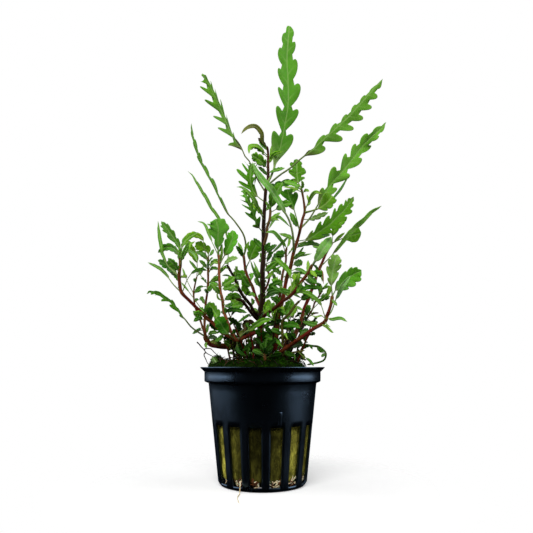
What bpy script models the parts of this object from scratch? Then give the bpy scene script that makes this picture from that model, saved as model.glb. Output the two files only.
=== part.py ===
"""Potted hygrophila pinnatifida: a stem plant with lobed leaves, rooted in rock wool in a slotted pot.

The pot stands on the XY plane with its axis on Z.  The side seen first faces -Y.
Stems and leaves are laid out on a front elevation in millimetres: (across, up, back).  Across is
counted from the pot's axis, up from the surface, and back is the depth away from the viewer.  The
elevation is drawn as an eye at the height of the rim sees it, and place() opens it out in depth.
"""
import itertools
import math
import random

import bmesh
import bpy
import numpy as np
from mathutils import Matrix, Vector

MM = 0.001

# Driving dimensions of the pot, in millimetres
RIM_DIAMETER = 55.6
RIM_HEIGHT = 52.5
LIP_THICKNESS = 0.5
COLLAR_DIAMETER = 52.0
COLLAR_TOP = 50.4
COLLAR_FOOT = 46.3
BODY_DIAMETER_TOP = 48.5
BODY_DIAMETER_FOOT = 40.0
BASE_RADIUS = 18.2
WALL = 0.95
SLOTS = 15
SLOT_SHARE = 0.6
SLOT_TOP = 27.5
SLOT_FOOT = 2.0
FIRST_RIB_TURN = 3.8
DRAIN_INNER_RADIUS = 6.0
DRAIN_OUTER_RADIUS = 14.0

# Rock wool and moss
GAP = 0.3
WOOL_TOP = 48.6
WOOL_CLEARANCE = 0.5
MOSS_RADIUS = 22.0
MOSS_OFFSET = -2.6
MOSS_EDGE = 51.6
MOSS_CROWN = 6.6
MOSS_STEPS = 24
WOOL_STEPS = 24

# The plant
EYE_DISTANCE = 250.0
STEM_SIDES = 5
RING_SPACING = 11.0
BUD_HALF_HEIGHT = 0.5
BUD_SPACING = 1.6
BUD_LENGTH = 0.4
HEADING_LENGTH = 3.0
LEAF_THICKNESS = 0.5
STALK_RADIUS = 0.34
CURVE_STEPS = 12
FINE_STEPS = 80
TRIM_STEPS = 300

# Places along a blade where its outline is set, from 0 at its foot to 1 at its tip
LOBE_PLACES = (0.0, 0.42, 0.85)
PLAIN_PLACES = [0.1, 0.35, 0.62, 0.86]
BLADE_PLACES = [0.3, 0.65]
SMALL_BLADE_PLACES = [0.45]
SMALL_BLADE = 1.75

# Each leaf form: share of the half width left between lobes, forward sweep of the lobes in degrees,
# place of the widest part along the blade, and bluntness of the two ends
FORMS = {
    "feather": (0.3, 40, 0.42, 0.5),
    "toothed": (0.66, 34, 0.45, 0.55),
    "oval": (0.86, 20, 0.5, 0.62),
    "strap": (1.0, 0, 0.45, 0.5),
}

# Colours, as linear red, green and blue
TONES = {
    "bright": (0.14, 0.37, 0.02),
    "mid": (0.07, 0.25, 0.02),
    "dark": (0.02, 0.11, 0.008),
    "pale": (0.15, 0.36, 0.09),
    "olive": (0.12, 0.14, 0.03),
    "brown": (0.03, 0.025, 0.008),
    "amber": (0.30, 0.12, 0.04),
}
BARKS = {
    "plum": (0.035, 0.008, 0.012),
    "red": (0.11, 0.014, 0.01),
    "brown": (0.12, 0.035, 0.02),
    "amber": (0.24, 0.07, 0.03),
    "tan": (0.22, 0.12, 0.06),
    "olive": (0.09, 0.08, 0.02),
    "green": (0.03, 0.09, 0.015),
}

# Stems: name, stem it springs from, bark, radius at its foot and at its tip, and its route.
# The depth of a route is counted from the foot, and a foot on another stem lies on that stem.
STEMS = [
    ("main_stem", "", "plum", 1.35, 0.45, [(-2, 59, 0), (-1, 69, 0), (-1, 77, 0), (0, 82.5, 0),
        (0, 89.5, 0), (0, 96, 0), (0.5, 103, 2), (0.5, 109.5, 2), (0.5, 116.5, 3.5), (1, 125.5, 3.5),
        (1.5, 132, 3.5), (2.5, 137.5, 5.5), (2.5, 143.5, 5.5), (2.5, 149, 5.5), (2, 152, 3.5)]),
    ("side_shoot", "main_stem", "tan", 0.7, 0.5, [(1, 107, 0), (2, 112, -3.5), (2, 115, -4.5),
        (3, 118, -5.5), (3.5, 121.5, -5.5), (3.5, 124, -5.5)]),
    ("right_stem", "", "red", 1.0, 0.4, [(5.5, 60, -7), (6.5, 69, -9), (7.5, 77, -11),
        (9, 82.5, -12.5), (11, 93, -14.5), (12.5, 97, -16), (14, 104, -18), (16, 110.5, -18),
        (17, 114.5, -20), (18, 119, -20), (19, 122.5, -20), (18.5, 127.5, -20), (17.5, 133, -20)]),
    ("thin_right_stem", "right_stem", "brown", 0.65, 0.45, [(7, 71.5, 0), (7, 77, 5.5), (8, 86, 9),
        (9, 94, 11), (10.5, 100, 12.5), (10.5, 104, 12.5), (11, 106.5, 12.5)]),
    ("far_right_stem", "", "red", 1.0, 0.58, [(12, 59.5, 7), (14.5, 66.5, 9), (17.5, 73.5, 12.5),
        (18.5, 78, 14.5), (21, 84, 16), (23, 89.5, 18), (24.5, 94, 20), (26, 97.5, 21.5),
        (27.5, 101, 23.5), (29, 104.5, 25), (31.5, 108.5, 25)]),
    ("low_right_branch", "", "red", 0.88, 0.62, [(7, 58.5, -9), (13.5, 63, -14.5), (18.5, 66.5, -20),
        (23.5, 70, -23.5), (27, 72, -25), (28.5, 73.5, -27), (29, 75.5, -27), (30, 78, -29),
        (31, 81.5, -29), (31.5, 85, -29)]),
    ("low_left_branch", "main_stem", "red", 0.9, 0.6, [(-1.5, 69, 0), (-5.5, 67, -7), (-9, 65.5, -11),
        (-11.5, 64.5, -12.5), (-14, 66, -12.5), (-17, 67.5, -12.5), (-22, 72, -12.5),
        (-25, 74.5, -13.5), (-28, 77.5, -14.5), (-32.5, 82, -16), (-36, 85.5, -18), (-37, 88, -18),
        (-37.5, 94, -18), (-37, 98.5, -18), (-37, 102.5, -18)]),
    ("amber_stem", "low_left_branch", "amber", 0.66, 0.48, [(-12, 64.5, 0), (-14, 68, -2.5),
        (-16, 73.5, -5.5), (-17.5, 78, -5.5), (-18, 82.5, -7), (-19, 87, -7), (-19.5, 94, -9),
        (-19.5, 100, -9), (-20, 104, -9)]),
    ("left_runner", "main_stem", "red", 1.5, 1.0, [(-2, 60.5, 0), (-7, 60.5, 5.5), (-13.5, 61.5, 7),
        (-19.5, 62, 7), (-23, 62.5, 9), (-25, 64.5, 9), (-26, 67, 9)]),
    ("left_stem", "left_runner", "brown", 0.6, 0.45, [(-25, 64.5, 0), (-26, 69, -2.5), (-26, 74.5, 0),
        (-25.5, 81.5, 2), (-25, 85, 2), (-24.5, 90, 3.5), (-24.5, 96, 4.5), (-24.5, 102.5, 4.5)]),
    ("left_inner_stem", "left_runner", "brown", 0.5, 0.38, [(-26, 66.5, 0), (-27, 70.5, 2.5),
        (-28, 73.5, 4.5), (-29.5, 77, 5.5), (-30.5, 80.5, 7), (-31, 85.5, 9), (-30.5, 89, 9),
        (-29.5, 93.5, 9)]),
    ("inner_left_stem", "main_stem", "red", 0.8, 0.55, [(-0.5, 79, 0), (-3, 84, 7), (-4.5, 88.5, 10),
        (-6, 91.5, 11), (-7.5, 95.5, 12.5), (-8, 98.5, 12.5), (-8.5, 103, 14.5)]),
    ("dark_left_stem", "main_stem", "plum", 0.8, 0.5, [(-1, 74.5, 0), (-4, 77.5, -5.5),
        (-5.5, 80.5, -7), (-8, 83.5, -10), (-10, 86.5, -11.5), (-12, 91, -13.5), (-13.5, 94, -14.5),
        (-16, 98.5, -16)]),
    ("broken_stub", "main_stem", "plum", 0.65, 0.65, [(-1, 72.5, 0), (-3.5, 75, -8),
        (-5.5, 77.5, -11.5), (-8, 81, -14.5), (-9.5, 82.5, -15.5), (-12, 83, -15.5)]),
    ("crossing_stem", "main_stem", "red", 0.85, 0.55, [(-1, 74, 0), (1.5, 76, -9), (5.5, 79, -18),
        (9, 82, -22.5), (12.5, 84.5, -25), (15.5, 88, -27), (18, 91.5, -28), (20, 94, -29),
        (21.5, 96.5, -29.5), (22.5, 99, -30.5)]),
    ("centre_shoot", "main_stem", "red", 0.55, 0.4, [(0, 85.5, 0), (2, 89, 5.5), (3, 92.5, 7),
        (2.5, 95.5, 9), (1.5, 99, 9)]),
    ("olive_branch", "low_right_branch", "olive", 0.6, 0.45, [(9.5, 60, 0), (9, 67, -2.5),
        (9, 73, -4.5), (12.5, 77, -9), (15, 80.5, -11), (17, 82.5, -11.5)]),
    ("right_tendril", "", "green", 0.48, 0.4, [(12, 57.5, 2), (12.5, 60.5, 0), (15, 62.5, -2),
        (19, 62.5, -3.5), (22.5, 62, -4.5), (25.5, 61.5, -5.5), (28, 59.5, -6.5), (28.5, 57.5, -7),
        (27.5, 55.5, -7), (25, 54.5, -7), (22.5, 54, -7), (20, 53.5, -7)]),
    ("right_twig", "", "olive", 0.36, 0.36, [(9, 57, -9), (10, 58.5, -11), (13.5, 59, -12.5),
        (16.5, 59.5, -14.5), (19, 60, -15.5)]),
    ("slender_right_stem", "far_right_stem", "brown", 0.5, 0.4, [(15, 67.5, 0), (18, 70, 3.5),
        (19.5, 73.5, 5.5), (22.5, 78.5, 5.5), (23.5, 81.5, 5.5), (25.5, 84.5, 7), (26.5, 86.5, 7)]),
]

# Leaves with a piece of their own: name, stem, form, lobes a side, half width, share of the length
# that is stalk, turn about the midrib, fold of the two halves, tone, and the line of the midrib
LEAVES = [
    ("top_leaf", "main_stem", "feather", 6, 5.9, 0.08, 8, 12, "mid", [(2.5, 135, 0), (4.5, 139.5, 0),
        (7.5, 149, -2), (9, 155.5, -2), (10.5, 163.5, -3.5), (11.5, 171, -5.5), (11.5, 180, -5.5),
        (11, 190.5, -5.5), (11.5, 199, -3.5), (12, 205.5, -2)]),
    ("upper_right_leaf", "main_stem", "feather", 7, 6.1, 0.3, 36, 34, "mid", [(2, 134, 0),
        (8, 139, -5.5), (12.5, 142, -7), (17, 146, -9), (21.5, 149.5, -11), (26.5, 154, -12.5),
        (32.5, 159.5, -16), (38.5, 165, -18), (44, 171, -20), (49, 176.5, -21.5), (54, 182, -23.5)]),
    ("right_feather_leaf", "right_stem", "feather", 6, 4.7, 0.22, 14, 16, "mid", [(17, 115, 0),
        (21, 119, 0), (23.5, 123, -2), (27, 129, -2), (31, 135, -2), (35, 139.5, -3.5),
        (38, 143, -3.5), (41.5, 147.5, -3.5), (45, 152, -3.5), (49.5, 156.5, -5.5), (53, 159.5, -5.5),
        (55.5, 162.5, -5.5)]),
    ("front_long_leaf", "right_stem", "strap", 1, 1.8, 0.42, 10, 20, "pale", [(14, 104, 0),
        (14, 107.5, -3.5), (13.5, 113, -7), (12, 118.5, -9), (9.5, 123, -11), (6, 129, -11),
        (3.5, 132.5, -12.5), (0, 136.5, -12.5), (-3, 141, -12.5), (-4.5, 144.5, -12.5)]),
    ("upper_left_leaf", "main_stem", "feather", 6, 5.9, 0.3, -52, 18, "mid", [(1.5, 131, 0),
        (-2, 136.5, 3.5), (-4, 140.5, 5.5), (-5.5, 144.5, 5.5), (-8, 147.5, 5.5), (-9.5, 151, 5.5),
        (-12, 154, 7), (-15, 160, 9), (-17.5, 166, 11), (-20.5, 172.5, 11), (-23.5, 179, 11),
        (-27, 184.5, 11)]),
    ("thin_left_leaf", "inner_left_stem", "toothed", 6, 2.7, 0.3, 64, 14, "mid", [(-8, 102.5, 0),
        (-7.5, 106.5, 0), (-8.5, 112, -2), (-12.5, 118, -3.5), (-16.5, 123, -3.5), (-22.5, 135, -5.5),
        (-28, 145, -5.5), (-31, 154, -7), (-32, 159, -7), (-32, 162, -7)]),
    ("lower_thin_left_leaf", "dark_left_stem", "toothed", 5, 1.6, 0.3, 50, 14, "mid", [(-15.5, 98, 0),
        (-15.5, 105, 5.5), (-16.5, 113, 9), (-19, 118, 11), (-22.5, 123, 12.5), (-26.5, 130, 12.5),
        (-29.5, 135, 12.5), (-31.5, 138.5, 12.5), (-33.5, 140.5, 12.5)]),
    ("narrow_right_leaf", "far_right_stem", "strap", 1, 2.0, 0.2, 55, 14, "mid", [(26, 97.5, 0),
        (30.5, 102, 0), (32.5, 104.5, 0), (37, 110.5, -2), (41.5, 115.5, -2), (45, 118.5, -3.5),
        (48.5, 122, -3.5), (53.5, 125, -3.5)]),
    ("toothed_right_leaf", "right_stem", "toothed", 5, 4.3, 0.16, 18, 16, "mid", [(15, 107.5, 0),
        (19, 109, 2), (21.5, 110.5, 3.5), (27, 114.5, 3.5), (30.5, 117, 3.5), (34, 120.5, 3.5),
        (37, 123.5, 3.5), (39.5, 127, 3.5), (41, 129, 3.5)]),
    ("lower_left_toothed_leaf", "left_runner", "toothed", 5, 2.5, 0.36, -35, 16, "dark", [(-26, 66, 0),
        (-31.5, 70, -3.5), (-34.5, 73.5, -5.5), (-36.5, 76, -5.5), (-40.5, 81.5, -5.5),
        (-43.5, 83.5, -5.5), (-46, 85.5, -5.5), (-50.5, 86.5, -5.5), (-52, 85.5, -5.5)]),
    ("round_right_leaf", "right_stem", "oval", 2, 3.8, 0.3, -8, 12, "bright", [(19, 122, 0),
        (22.5, 123, -5.5), (26.5, 124.5, -7), (29.5, 127, -9), (31.5, 129.5, -9)]),
    ("far_right_round_leaf", "far_right_stem", "oval", 2, 3.6, 0.12, 14, 12, "mid", [(31.5, 108, 0),
        (34, 109.5, 2), (37.5, 111, 3.5), (41, 112, 5.5), (44.5, 113, 5.5)]),
    ("right_front_leaf", "crossing_stem", "toothed", 3, 4.3, 0.12, -10, 16, "pale", [(22.5, 98.5, 0),
        (25, 102, -2), (27, 105, -3.5), (29.5, 108.5, -3.5), (31, 111, -5.5)]),
    ("right_lobed_leaf", "low_right_branch", "toothed", 3, 3.6, 0.25, 8, 10, "pale", [(31.5, 84.5, 0),
        (31, 90, -2), (31.5, 95, -2), (32.5, 100, -3.5), (34, 103, -3.5)]),
    ("right_broad_leaf", "low_right_branch", "oval", 2, 3.8, 0.2, 24, 18, "mid", [(31.5, 84.5, 0),
        (33.5, 88, 3.5), (36.5, 91, 5.5), (40.5, 94, 7), (44.5, 96, 7)]),
    ("folded_right_leaf", "low_right_branch", "strap", 1, 1.6, 0.45, 30, 30, "pale", [(29, 74.5, 0),
        (31, 77.5, 2), (32.5, 81.5, 2), (34, 85.5, 0), (36, 89.5, -2), (39.5, 93.5, -2)]),
    ("left_round_leaf", "amber_stem", "oval", 2, 5.0, 0.12, 6, 10, "mid", [(-20, 103, 0),
        (-20, 106.5, -2), (-20, 111.5, -3.5), (-20, 115, -5.5), (-21, 119, -5.5)]),
    ("left_oval_leaf", "amber_stem", "oval", 2, 3.4, 0.32, -18, 14, "mid", [(-19.5, 98, 0),
        (-17.5, 102, 2), (-15, 106.5, 0), (-13.5, 110.5, 0), (-13.5, 114, 0)]),
    ("centre_round_leaf", "inner_left_stem", "oval", 2, 3.6, 0.35, 16, 10, "mid", [(-7.5, 96.5, 0),
        (-6, 100, -3.5), (-4.5, 104, -3.5), (-3, 107, -3.5), (-1.5, 109.5, -3.5)]),
    ("upright_left_leaf", "low_left_branch", "strap", 1, 1.4, 0.3, 20, 20, "mid", [(-37.5, 93, 0),
        (-39.5, 95, 0), (-42.5, 98, 2), (-45, 103, 3.5), (-45.5, 106, 3.5), (-46.5, 112, 5.5),
        (-47, 118, 5.5)]),
    ("left_tip_leaf", "low_left_branch", "toothed", 3, 2.9, 0.15, 24, 16, "mid", [(-37, 102, 0),
        (-37, 105.5, 0), (-40, 110.5, -2), (-42.5, 114, -3.5), (-45.5, 118, -5.5)]),
    ("level_left_leaf", "low_left_branch", "oval", 2, 2.0, 0.2, -28, 20, "mid", [(-37, 101, 0),
        (-39.5, 105.5, 5.5), (-43.5, 106.5, 9), (-47, 104, 11)]),
    ("left_narrow_leaf", "low_left_branch", "strap", 1, 1.6, 0.25, 30, 18, "mid", [(-36, 86, 0),
        (-40, 89.5, 0), (-43, 93.5, 2), (-46, 96.5, 2), (-51.5, 99.5, 3.5)]),
    ("dark_left_leaf", "low_left_branch", "toothed", 3, 2.2, 0.2, -20, 14, "dark", [(-37.5, 93, 0),
        (-40.5, 96.5, 6.5), (-44, 99, 9), (-47, 100.5, 11)]),
    ("bright_left_leaf", "left_stem", "oval", 2, 2.9, 0.18, -30, 14, "bright", [(-24.5, 101.5, 0),
        (-24.5, 104.5, 0), (-27, 106.5, -2), (-30, 108.5, -3.5)]),
    ("low_front_leaf", "low_left_branch", "oval", 2, 3.4, 0.42, 12, 14, "dark", [(-12.5, 64.5, 0),
        (-15, 67, -5.5), (-17.5, 70, -7), (-19, 72.5, -9), (-21, 74.5, -9)]),
    ("low_left_leaf", "low_left_branch", "oval", 2, 2.9, 0.25, -20, 14, "mid", [(-21.5, 72, 0),
        (-20.5, 75, 3.5), (-22, 78, 5.5), (-24.5, 81.5, 5.5)]),
    ("pale_strap_leaf", "low_left_branch", "strap", 1, 1.5, 0.45, 14, 20, "mid", [(-11, 64.5, 0),
        (-8, 68, -7), (-5.5, 69.5, -9), (-3, 71.5, -11), (0.5, 73.5, -12.5), (4.5, 74, -12.5)]),
    ("lobed_centre_leaf", "main_stem", "feather", 5, 5.6, 0.25, -12, 14, "mid", [(1, 127, 0),
        (-2.5, 129.5, 2.5), (-4.5, 132.5, 2), (-5.5, 137.5, 0), (-5, 144, 0)]),
    ("feathery_centre_leaf", "main_stem", "feather", 5, 4.0, 0.2, -24, 18, "mid", [(0.5, 113, 0),
        (-2, 116, -5.5), (-4, 121.5, -9), (-5.5, 125.5, -11), (-7, 128.5, -12.5), (-9, 132, -12.5)]),
    ("dark_lobed_leaf", "right_stem", "feather", 3, 4.3, 0.3, 8, 12, "mid", [(17.5, 132.5, 0),
        (16, 136, 11), (15.5, 140, 20), (15.5, 146, 25)]),
    ("dark_three_lobed_leaf", "right_stem", "feather", 2, 4.3, 0.55, 6, 12, "dark", [(17, 113.5, 0),
        (15, 120.5, 7), (13.5, 125.5, 11), (12, 129, 12.5), (11, 132.5, 14.5)]),
    ("inner_right_leaf", "side_shoot", "oval", 2, 2.7, 0.15, -14, 14, "mid", [(3.5, 123, 0),
        (4.5, 127.5, -5.5), (6.5, 131.5, -9), (9, 135.5, -11)]),
]

# Young and small leaves, grown in one with their stem: form, half width, share of stalk, turn,
# fold, tone, and the line of the midrib
YOUNG_LEAVES = {
    "main_stem": [
        ("strap", 1.2, 0.1, 0, 20, "olive", [(2, 150.5, 0), (0, 154, -3.5), (-0.5, 157.5, -5.5),
            (-3, 160.5, -7), (-7, 160, -11), (-9.5, 157.5, -12.5)]),
        ("strap", 1.2, 0.15, 20, 20, "bright", [(2.5, 147.5, 0), (-2, 151.5, -5.5), (-5.5, 151.5, -9),
            (-6, 148.5, -11)]),
        ("strap", 1.0, 0.2, 0, 20, "bright", [(2.5, 143, 0), (4, 147, 3.5), (4, 152, 3.5)]),
        ("oval", 1.0, 0.2, 30, 20, "bright", [(2.5, 145, 0), (5.5, 148.5, -5.5), (9, 149.5, -7)]),
        ("toothed", 2.5, 0.2, -15, 14, "mid", [(2.5, 141.5, 0), (0, 144.5, -5.5), (-2.5, 146.5, -7),
            (-5, 148, -9)]),
        ("oval", 1.1, 0.1, 10, 10, "dark", [(2, 138.5, 0), (0, 141, -3.5), (-2, 142.5, -5.5)]),
        ("oval", 1.2, 0.1, 10, 10, "dark", [(2, 149.5, 0), (0.5, 152, 5.5), (-1.5, 154, 9)]),
        ("oval", 1.4, 0.2, 0, 14, "bright", [(1, 120, 0), (-2, 123.5, -5.5), (-5, 126, -7)]),
        ("strap", 1.3, 0.3, 20, 16, "mid", [(0.5, 119, 0), (-2.5, 125, -18), (-5.5, 130, -21.5),
            (-9, 133, -23.5), (-11.5, 133.5, -23.5)]),
        ("oval", 1.5, 0.2, -10, 14, "mid", [(1, 121.5, 0), (3.5, 125, 5.5), (6, 128.5, 9)]),
        ("oval", 1.0, 0.3, 20, 14, "bright", [(0.5, 116, 0), (4.5, 119.5, 7), (8, 122, 11)]),
        ("strap", 0.7, 0.3, 20, 20, "mid", [(0.5, 109.5, 0), (4, 117, 7), (7, 120, 11), (10, 118, 7),
            (12.5, 115.5, 5.5)]),
        ("strap", 0.7, 0.4, 20, 20, "dark", [(0.5, 100, 0), (5.5, 105, 9), (12.5, 112, 16)]),
        ("oval", 1.2, 0.3, 0, 10, "dark", [(0.5, 102.5, 0), (3.5, 105.5, -5.5), (6, 107, -9)]),
        ("oval", 2.2, 0.45, 20, 10, "dark", [(0.5, 98, 0), (4, 100, 7), (7, 102.5, 11),
            (10, 104.5, 12.5)]),
        ("oval", 1.1, 0.3, 0, 10, "dark", [(0.5, 105, 0), (-2, 108, 2), (-4, 110.5, 2)]),
        ("oval", 1.2, 0.35, 0, 10, "mid", [(0, 91, 0), (-2, 94, -5.5), (-3.5, 97.5, -7)]),
        ("oval", 1.6, 0.3, 8, 12, "bright", [(-1, 76.5, 0), (1.5, 79, -3.5), (3, 83, -5.5)]),
        ("oval", 0.9, 0.4, 10, 12, "mid", [(-1, 76, 0), (-3, 78, 5.5), (-4.5, 79, 7)]),
        ("oval", 1.6, 0.3, 10, -10, "brown", [(-1, 70.5, 0), (-4.5, 72.5, -5.5), (-7.5, 72, -9),
            (-8, 68.5, -11)]),
        ("oval", 1.2, 0.3, 0, 12, "dark", [(0, 88, 0), (-2, 90, 7), (-3.5, 92.5, 11)]),
        ("oval", 2.2, 0.35, 10, 12, "dark", [(-1.5, 65.5, 0), (1.5, 64.5, -5.5), (0, 67, -9),
            (-3.5, 69, -11)]),
        ("strap", 1.1, 0.2, 10, 24, "dark", [(-1, 68, 0), (2.5, 67.5, 5.5), (6, 64.5, 7), (8, 60, 5.5)]),
    ],
    "side_shoot": [
        ("oval", 0.7, 0.2, 10, 20, "bright", [(3.5, 123.5, 0), (2.5, 125, -2), (1.5, 127, -3.5)]),
        ("oval", 2.2, 0.3, -12, 12, "mid", [(3.5, 122, 0), (7, 124, -3.5), (9.5, 125.5, -5.5),
            (13, 126, -7)]),
        ("oval", 0.7, 0.2, 10, 20, "bright", [(3, 117.5, 0), (5, 119, -3.5), (7.5, 118.5, -5.5)]),
    ],
    "right_stem": [
        ("oval", 0.9, 0.2, 0, 20, "mid", [(17.5, 132.5, 0), (15.5, 133, -3.5), (13.5, 131, -5.5)]),
        ("oval", 0.9, 0.2, 10, 20, "dark", [(17.5, 132, 0), (18, 134.5, -3.5), (17.5, 136.5, -5.5)]),
        ("oval", 0.8, 0.2, 10, 20, "mid", [(18, 130.5, 0), (19.5, 132, -2), (21, 131.5, -3.5)]),
        ("strap", 1.0, 0.3, 14, 20, "bright", [(19, 122.5, 0), (21, 127.5, -3.5), (23.5, 131, -7),
            (26.5, 130.5, -9)]),
        ("strap", 0.8, 0.2, 0, 20, "bright", [(19, 124, 0), (21, 126.5, 3.5), (20, 130, 5.5)]),
        ("oval", 1.5, 0.3, 0, 14, "mid", [(17, 114, 0), (14.5, 118, -5.5), (12.5, 122, -7)]),
        ("toothed", 1.6, 0.3, -16, 14, "pale", [(18, 119, 0), (22, 119, 5.5), (26, 120.5, 7),
            (29.5, 122, 7)]),
        ("strap", 0.7, 0.6, 30, 14, "dark", [(19, 121.5, 0), (27, 124.5, 14.5), (33.5, 130.5, 21.5),
            (38.5, 138, 25)]),
        ("oval", 1.5, 0.25, 0, 14, "mid", [(17.5, 131.5, 0), (14.5, 134.5, 7), (9.5, 136, 11)]),
        ("strap", 0.7, 0.25, 0, 14, "bright", [(18, 131, 0), (13.5, 133, -11), (9.5, 133.5, -14.5)]),
        ("oval", 1.2, 0.25, 20, 14, "mid", [(15.5, 108.5, 0), (12, 111, 5.5), (7.5, 112.5, 7)]),
        ("oval", 1.4, 0.15, -20, 14, "dark", [(14.5, 106, 0), (18.5, 107.5, 5.5), (22.5, 108, 7),
            (26.5, 107, 9)]),
        ("oval", 1.6, 0.3, 10, 14, "dark", [(15.5, 109, 0), (20.5, 110, 7), (25, 111.5, 11),
            (30.5, 112, 14.5)]),
        ("strap", 0.5, 0.3, 20, 20, "mid", [(13.5, 102.5, 0), (17, 102.5, -3.5), (22, 103.5, -7)]),
        ("strap", 0.6, 0.5, 20, 20, "dark", [(13, 99.5, 0), (15.5, 102.5, 5.5), (18.5, 106.5, 7)]),
        ("oval", 1.9, 0.35, 10, 12, "dark", [(12.5, 98, 0), (15.5, 99, 5.5), (18, 100, 7)]),
        ("strap", 0.7, 0.3, 30, 20, "dark", [(11, 93.5, 0), (14.5, 95, 3.5), (19.5, 94.5, 7)]),
        ("strap", 0.6, 0.3, 30, 20, "dark", [(11, 92.5, 0), (14.5, 93, -5.5), (18.5, 92.5, -9)]),
        ("oval", 2.5, 0.36, 0, 12, "mid", [(7, 73, 0), (9.5, 76, 2.5), (11.5, 79, 2.5), (13, 82.5, 2.5)]),
        ("strap", 0.7, 0.3, 10, 20, "bright", [(6.5, 71, 0), (5, 75, -5.5), (4, 77.5, -7)]),
        ("oval", 1.2, 0.25, 0, 16, "bright", [(7, 73, 0), (6, 76.5, -7), (7, 79.5, -9)]),
        ("oval", 0.9, 0.3, 0, 16, "pale", [(6.5, 69, 0), (5, 69, 5.5), (4.5, 67, 7)]),
        ("oval", 1.8, 0.35, 20, 14, "dark", [(6.5, 67, 0), (9, 69, 0), (12, 71.5, 2), (15.5, 72, 3.5)]),
    ],
    "thin_right_stem": [
        ("oval", 0.8, 0.2, 0, 20, "bright", [(11, 106, 0), (9.5, 108, -3.5), (9, 110, -5.5)]),
        ("strap", 0.7, 0.2, 0, 20, "bright", [(11, 105.5, 0), (12, 108.5, 2), (12, 111, 3.5)]),
        ("strap", 1.0, 0.4, 10, 20, "mid", [(10.5, 103.5, 0), (8.5, 109, -9), (5, 113, -12.5),
            (1.5, 113, -14.5)]),
        ("oval", 1.1, 0.3, 10, 14, "mid", [(10, 96.5, 0), (8, 100, 3.5), (5, 101.5, 5.5)]),
        ("oval", 1.0, 0.3, 10, 14, "dark", [(8.5, 89.5, 0), (6, 91.5, 5.5), (4.5, 95, 9)]),
    ],
    "far_right_stem": [
        ("oval", 2.1, 0.25, -8, 14, "bright", [(31.5, 108, 0), (32, 113, -3.5), (34.5, 117, -5.5),
            (38, 119.5, -7)]),
        ("strap", 0.8, 0.3, 10, 20, "bright", [(31, 107, 0), (34, 110.5, -5.5), (37, 113, -9)]),
        ("strap", 0.7, 0.2, 30, 14, "pale", [(25, 94.5, 0), (26.5, 93.5, -5.5), (27, 91, -7)]),
        ("strap", 0.4, 0.4, 30, 14, "amber", [(25.5, 97, 0), (27, 95, -9), (27.5, 90, -11)]),
        ("oval", 1.4, 0.3, 0, 14, "mid", [(29, 104, 0), (26.5, 106.5, 7), (22.5, 107, 11)]),
        ("oval", 1.4, 0.3, 10, 14, "dark", [(24, 91.5, 0), (21.5, 94, 9), (18, 95, 14.5)]),
        ("strap", 1.2, 0.8, 20, 20, "bright", [(17.5, 74, 0), (22, 78, -9), (26, 82, -12.5),
            (29, 85, -14.5), (30.5, 89, -16)]),
        ("strap", 0.6, 0.7, 20, 20, "mid", [(17, 73, 0), (16, 77, 7), (14, 81, 12.5), (11.5, 84, 16)]),
        ("oval", 0.8, 0.3, 0, 14, "mid", [(18, 75, 0), (19.5, 76.5, 5.5), (20, 78.5, 7)]),
        ("oval", 1.4, 0.3, 20, 14, "dark", [(15.5, 69, 0), (18, 71.5, 7), (21, 73, 12.5)]),
    ],
    "low_right_branch": [
        ("strap", 1.1, 0.35, -10, 20, "mid", [(28.5, 73.5, 0), (27.5, 77, -2), (26, 81, -2),
            (23, 84, -2), (19.5, 86, -2), (15.5, 86.5, -2)]),
        ("strap", 0.9, 0.15, 10, 20, "mid", [(28.5, 74.5, 0), (31.5, 74, -3.5), (35, 74.5, -5.5),
            (38, 73, -7)]),
        ("strap", 0.7, 0.1, 20, 20, "bright", [(26.5, 72, 0), (29, 70.5, -5.5), (31, 68.5, -7),
            (32, 68, -9)]),
        ("oval", 1.4, 0.15, 10, 14, "mid", [(25.5, 71, 0), (22.5, 71.5, 7), (18, 73, 11)]),
        ("strap", 0.5, 0.35, 20, 20, "bright", [(28.5, 74, 0), (26.5, 75.5, -7), (24, 75, -11),
            (21.5, 76, -12.5)]),
        ("strap", 0.4, 0.2, 0, 20, "mid", [(28, 73, 0), (29, 71.5, -7), (30.5, 70.5, -11)]),
        ("oval", 2.1, 0.2, 0, 14, "dark", [(11.5, 61.5, 0), (14.5, 62.5, 3.5), (18, 63.5, 5.5)]),
        ("oval", 1.6, 0.2, 0, 14, "dark", [(14, 63, 0), (13, 65.5, -5.5), (11, 68, -9)]),
        ("oval", 0.9, 0.2, 0, 14, "mid", [(31, 83, 0), (32, 82, -3.5), (33.5, 80, -7)]),
    ],
    "low_left_branch": [
        ("oval", 1.3, 0.3, 0, 16, "mid", [(-37, 98, 0), (-35.5, 103, -9), (-34, 106.5, -12.5),
            (-33, 109.5, -14.5)]),
        ("oval", 1.4, 0.25, -14, 16, "bright", [(-37, 101, 0), (-34.5, 104.5, 12.5),
            (-32.5, 107.5, 16), (-30.5, 109, 18)]),
        ("toothed", 1.7, 0.3, -14, 16, "mid", [(-37, 101.5, 0), (-35.5, 108, 3.5), (-32.5, 111, 5.5),
            (-29, 113, 7)]),
        ("strap", 0.8, 0.2, 20, 20, "pale", [(-37, 100, 0), (-34, 104.5, -2), (-31, 103.5, -3.5),
            (-29, 99.5, -5.5)]),
        ("oval", 1.9, 0.25, 0, 14, "mid", [(-37.5, 95, 0), (-39.5, 98, -7), (-42.5, 101.5, -11)]),
        ("oval", 1.3, 0.2, 20, 14, "dark", [(-37, 90, 0), (-39, 93.5, 7), (-42, 96, 11)]),
        ("strap", 0.9, 0.6, 30, 20, "dark", [(-36, 86, 0), (-34, 91.5, 5.5), (-31.5, 95, 9),
            (-28, 96.5, 11), (-25, 96, 12.5)]),
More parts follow.
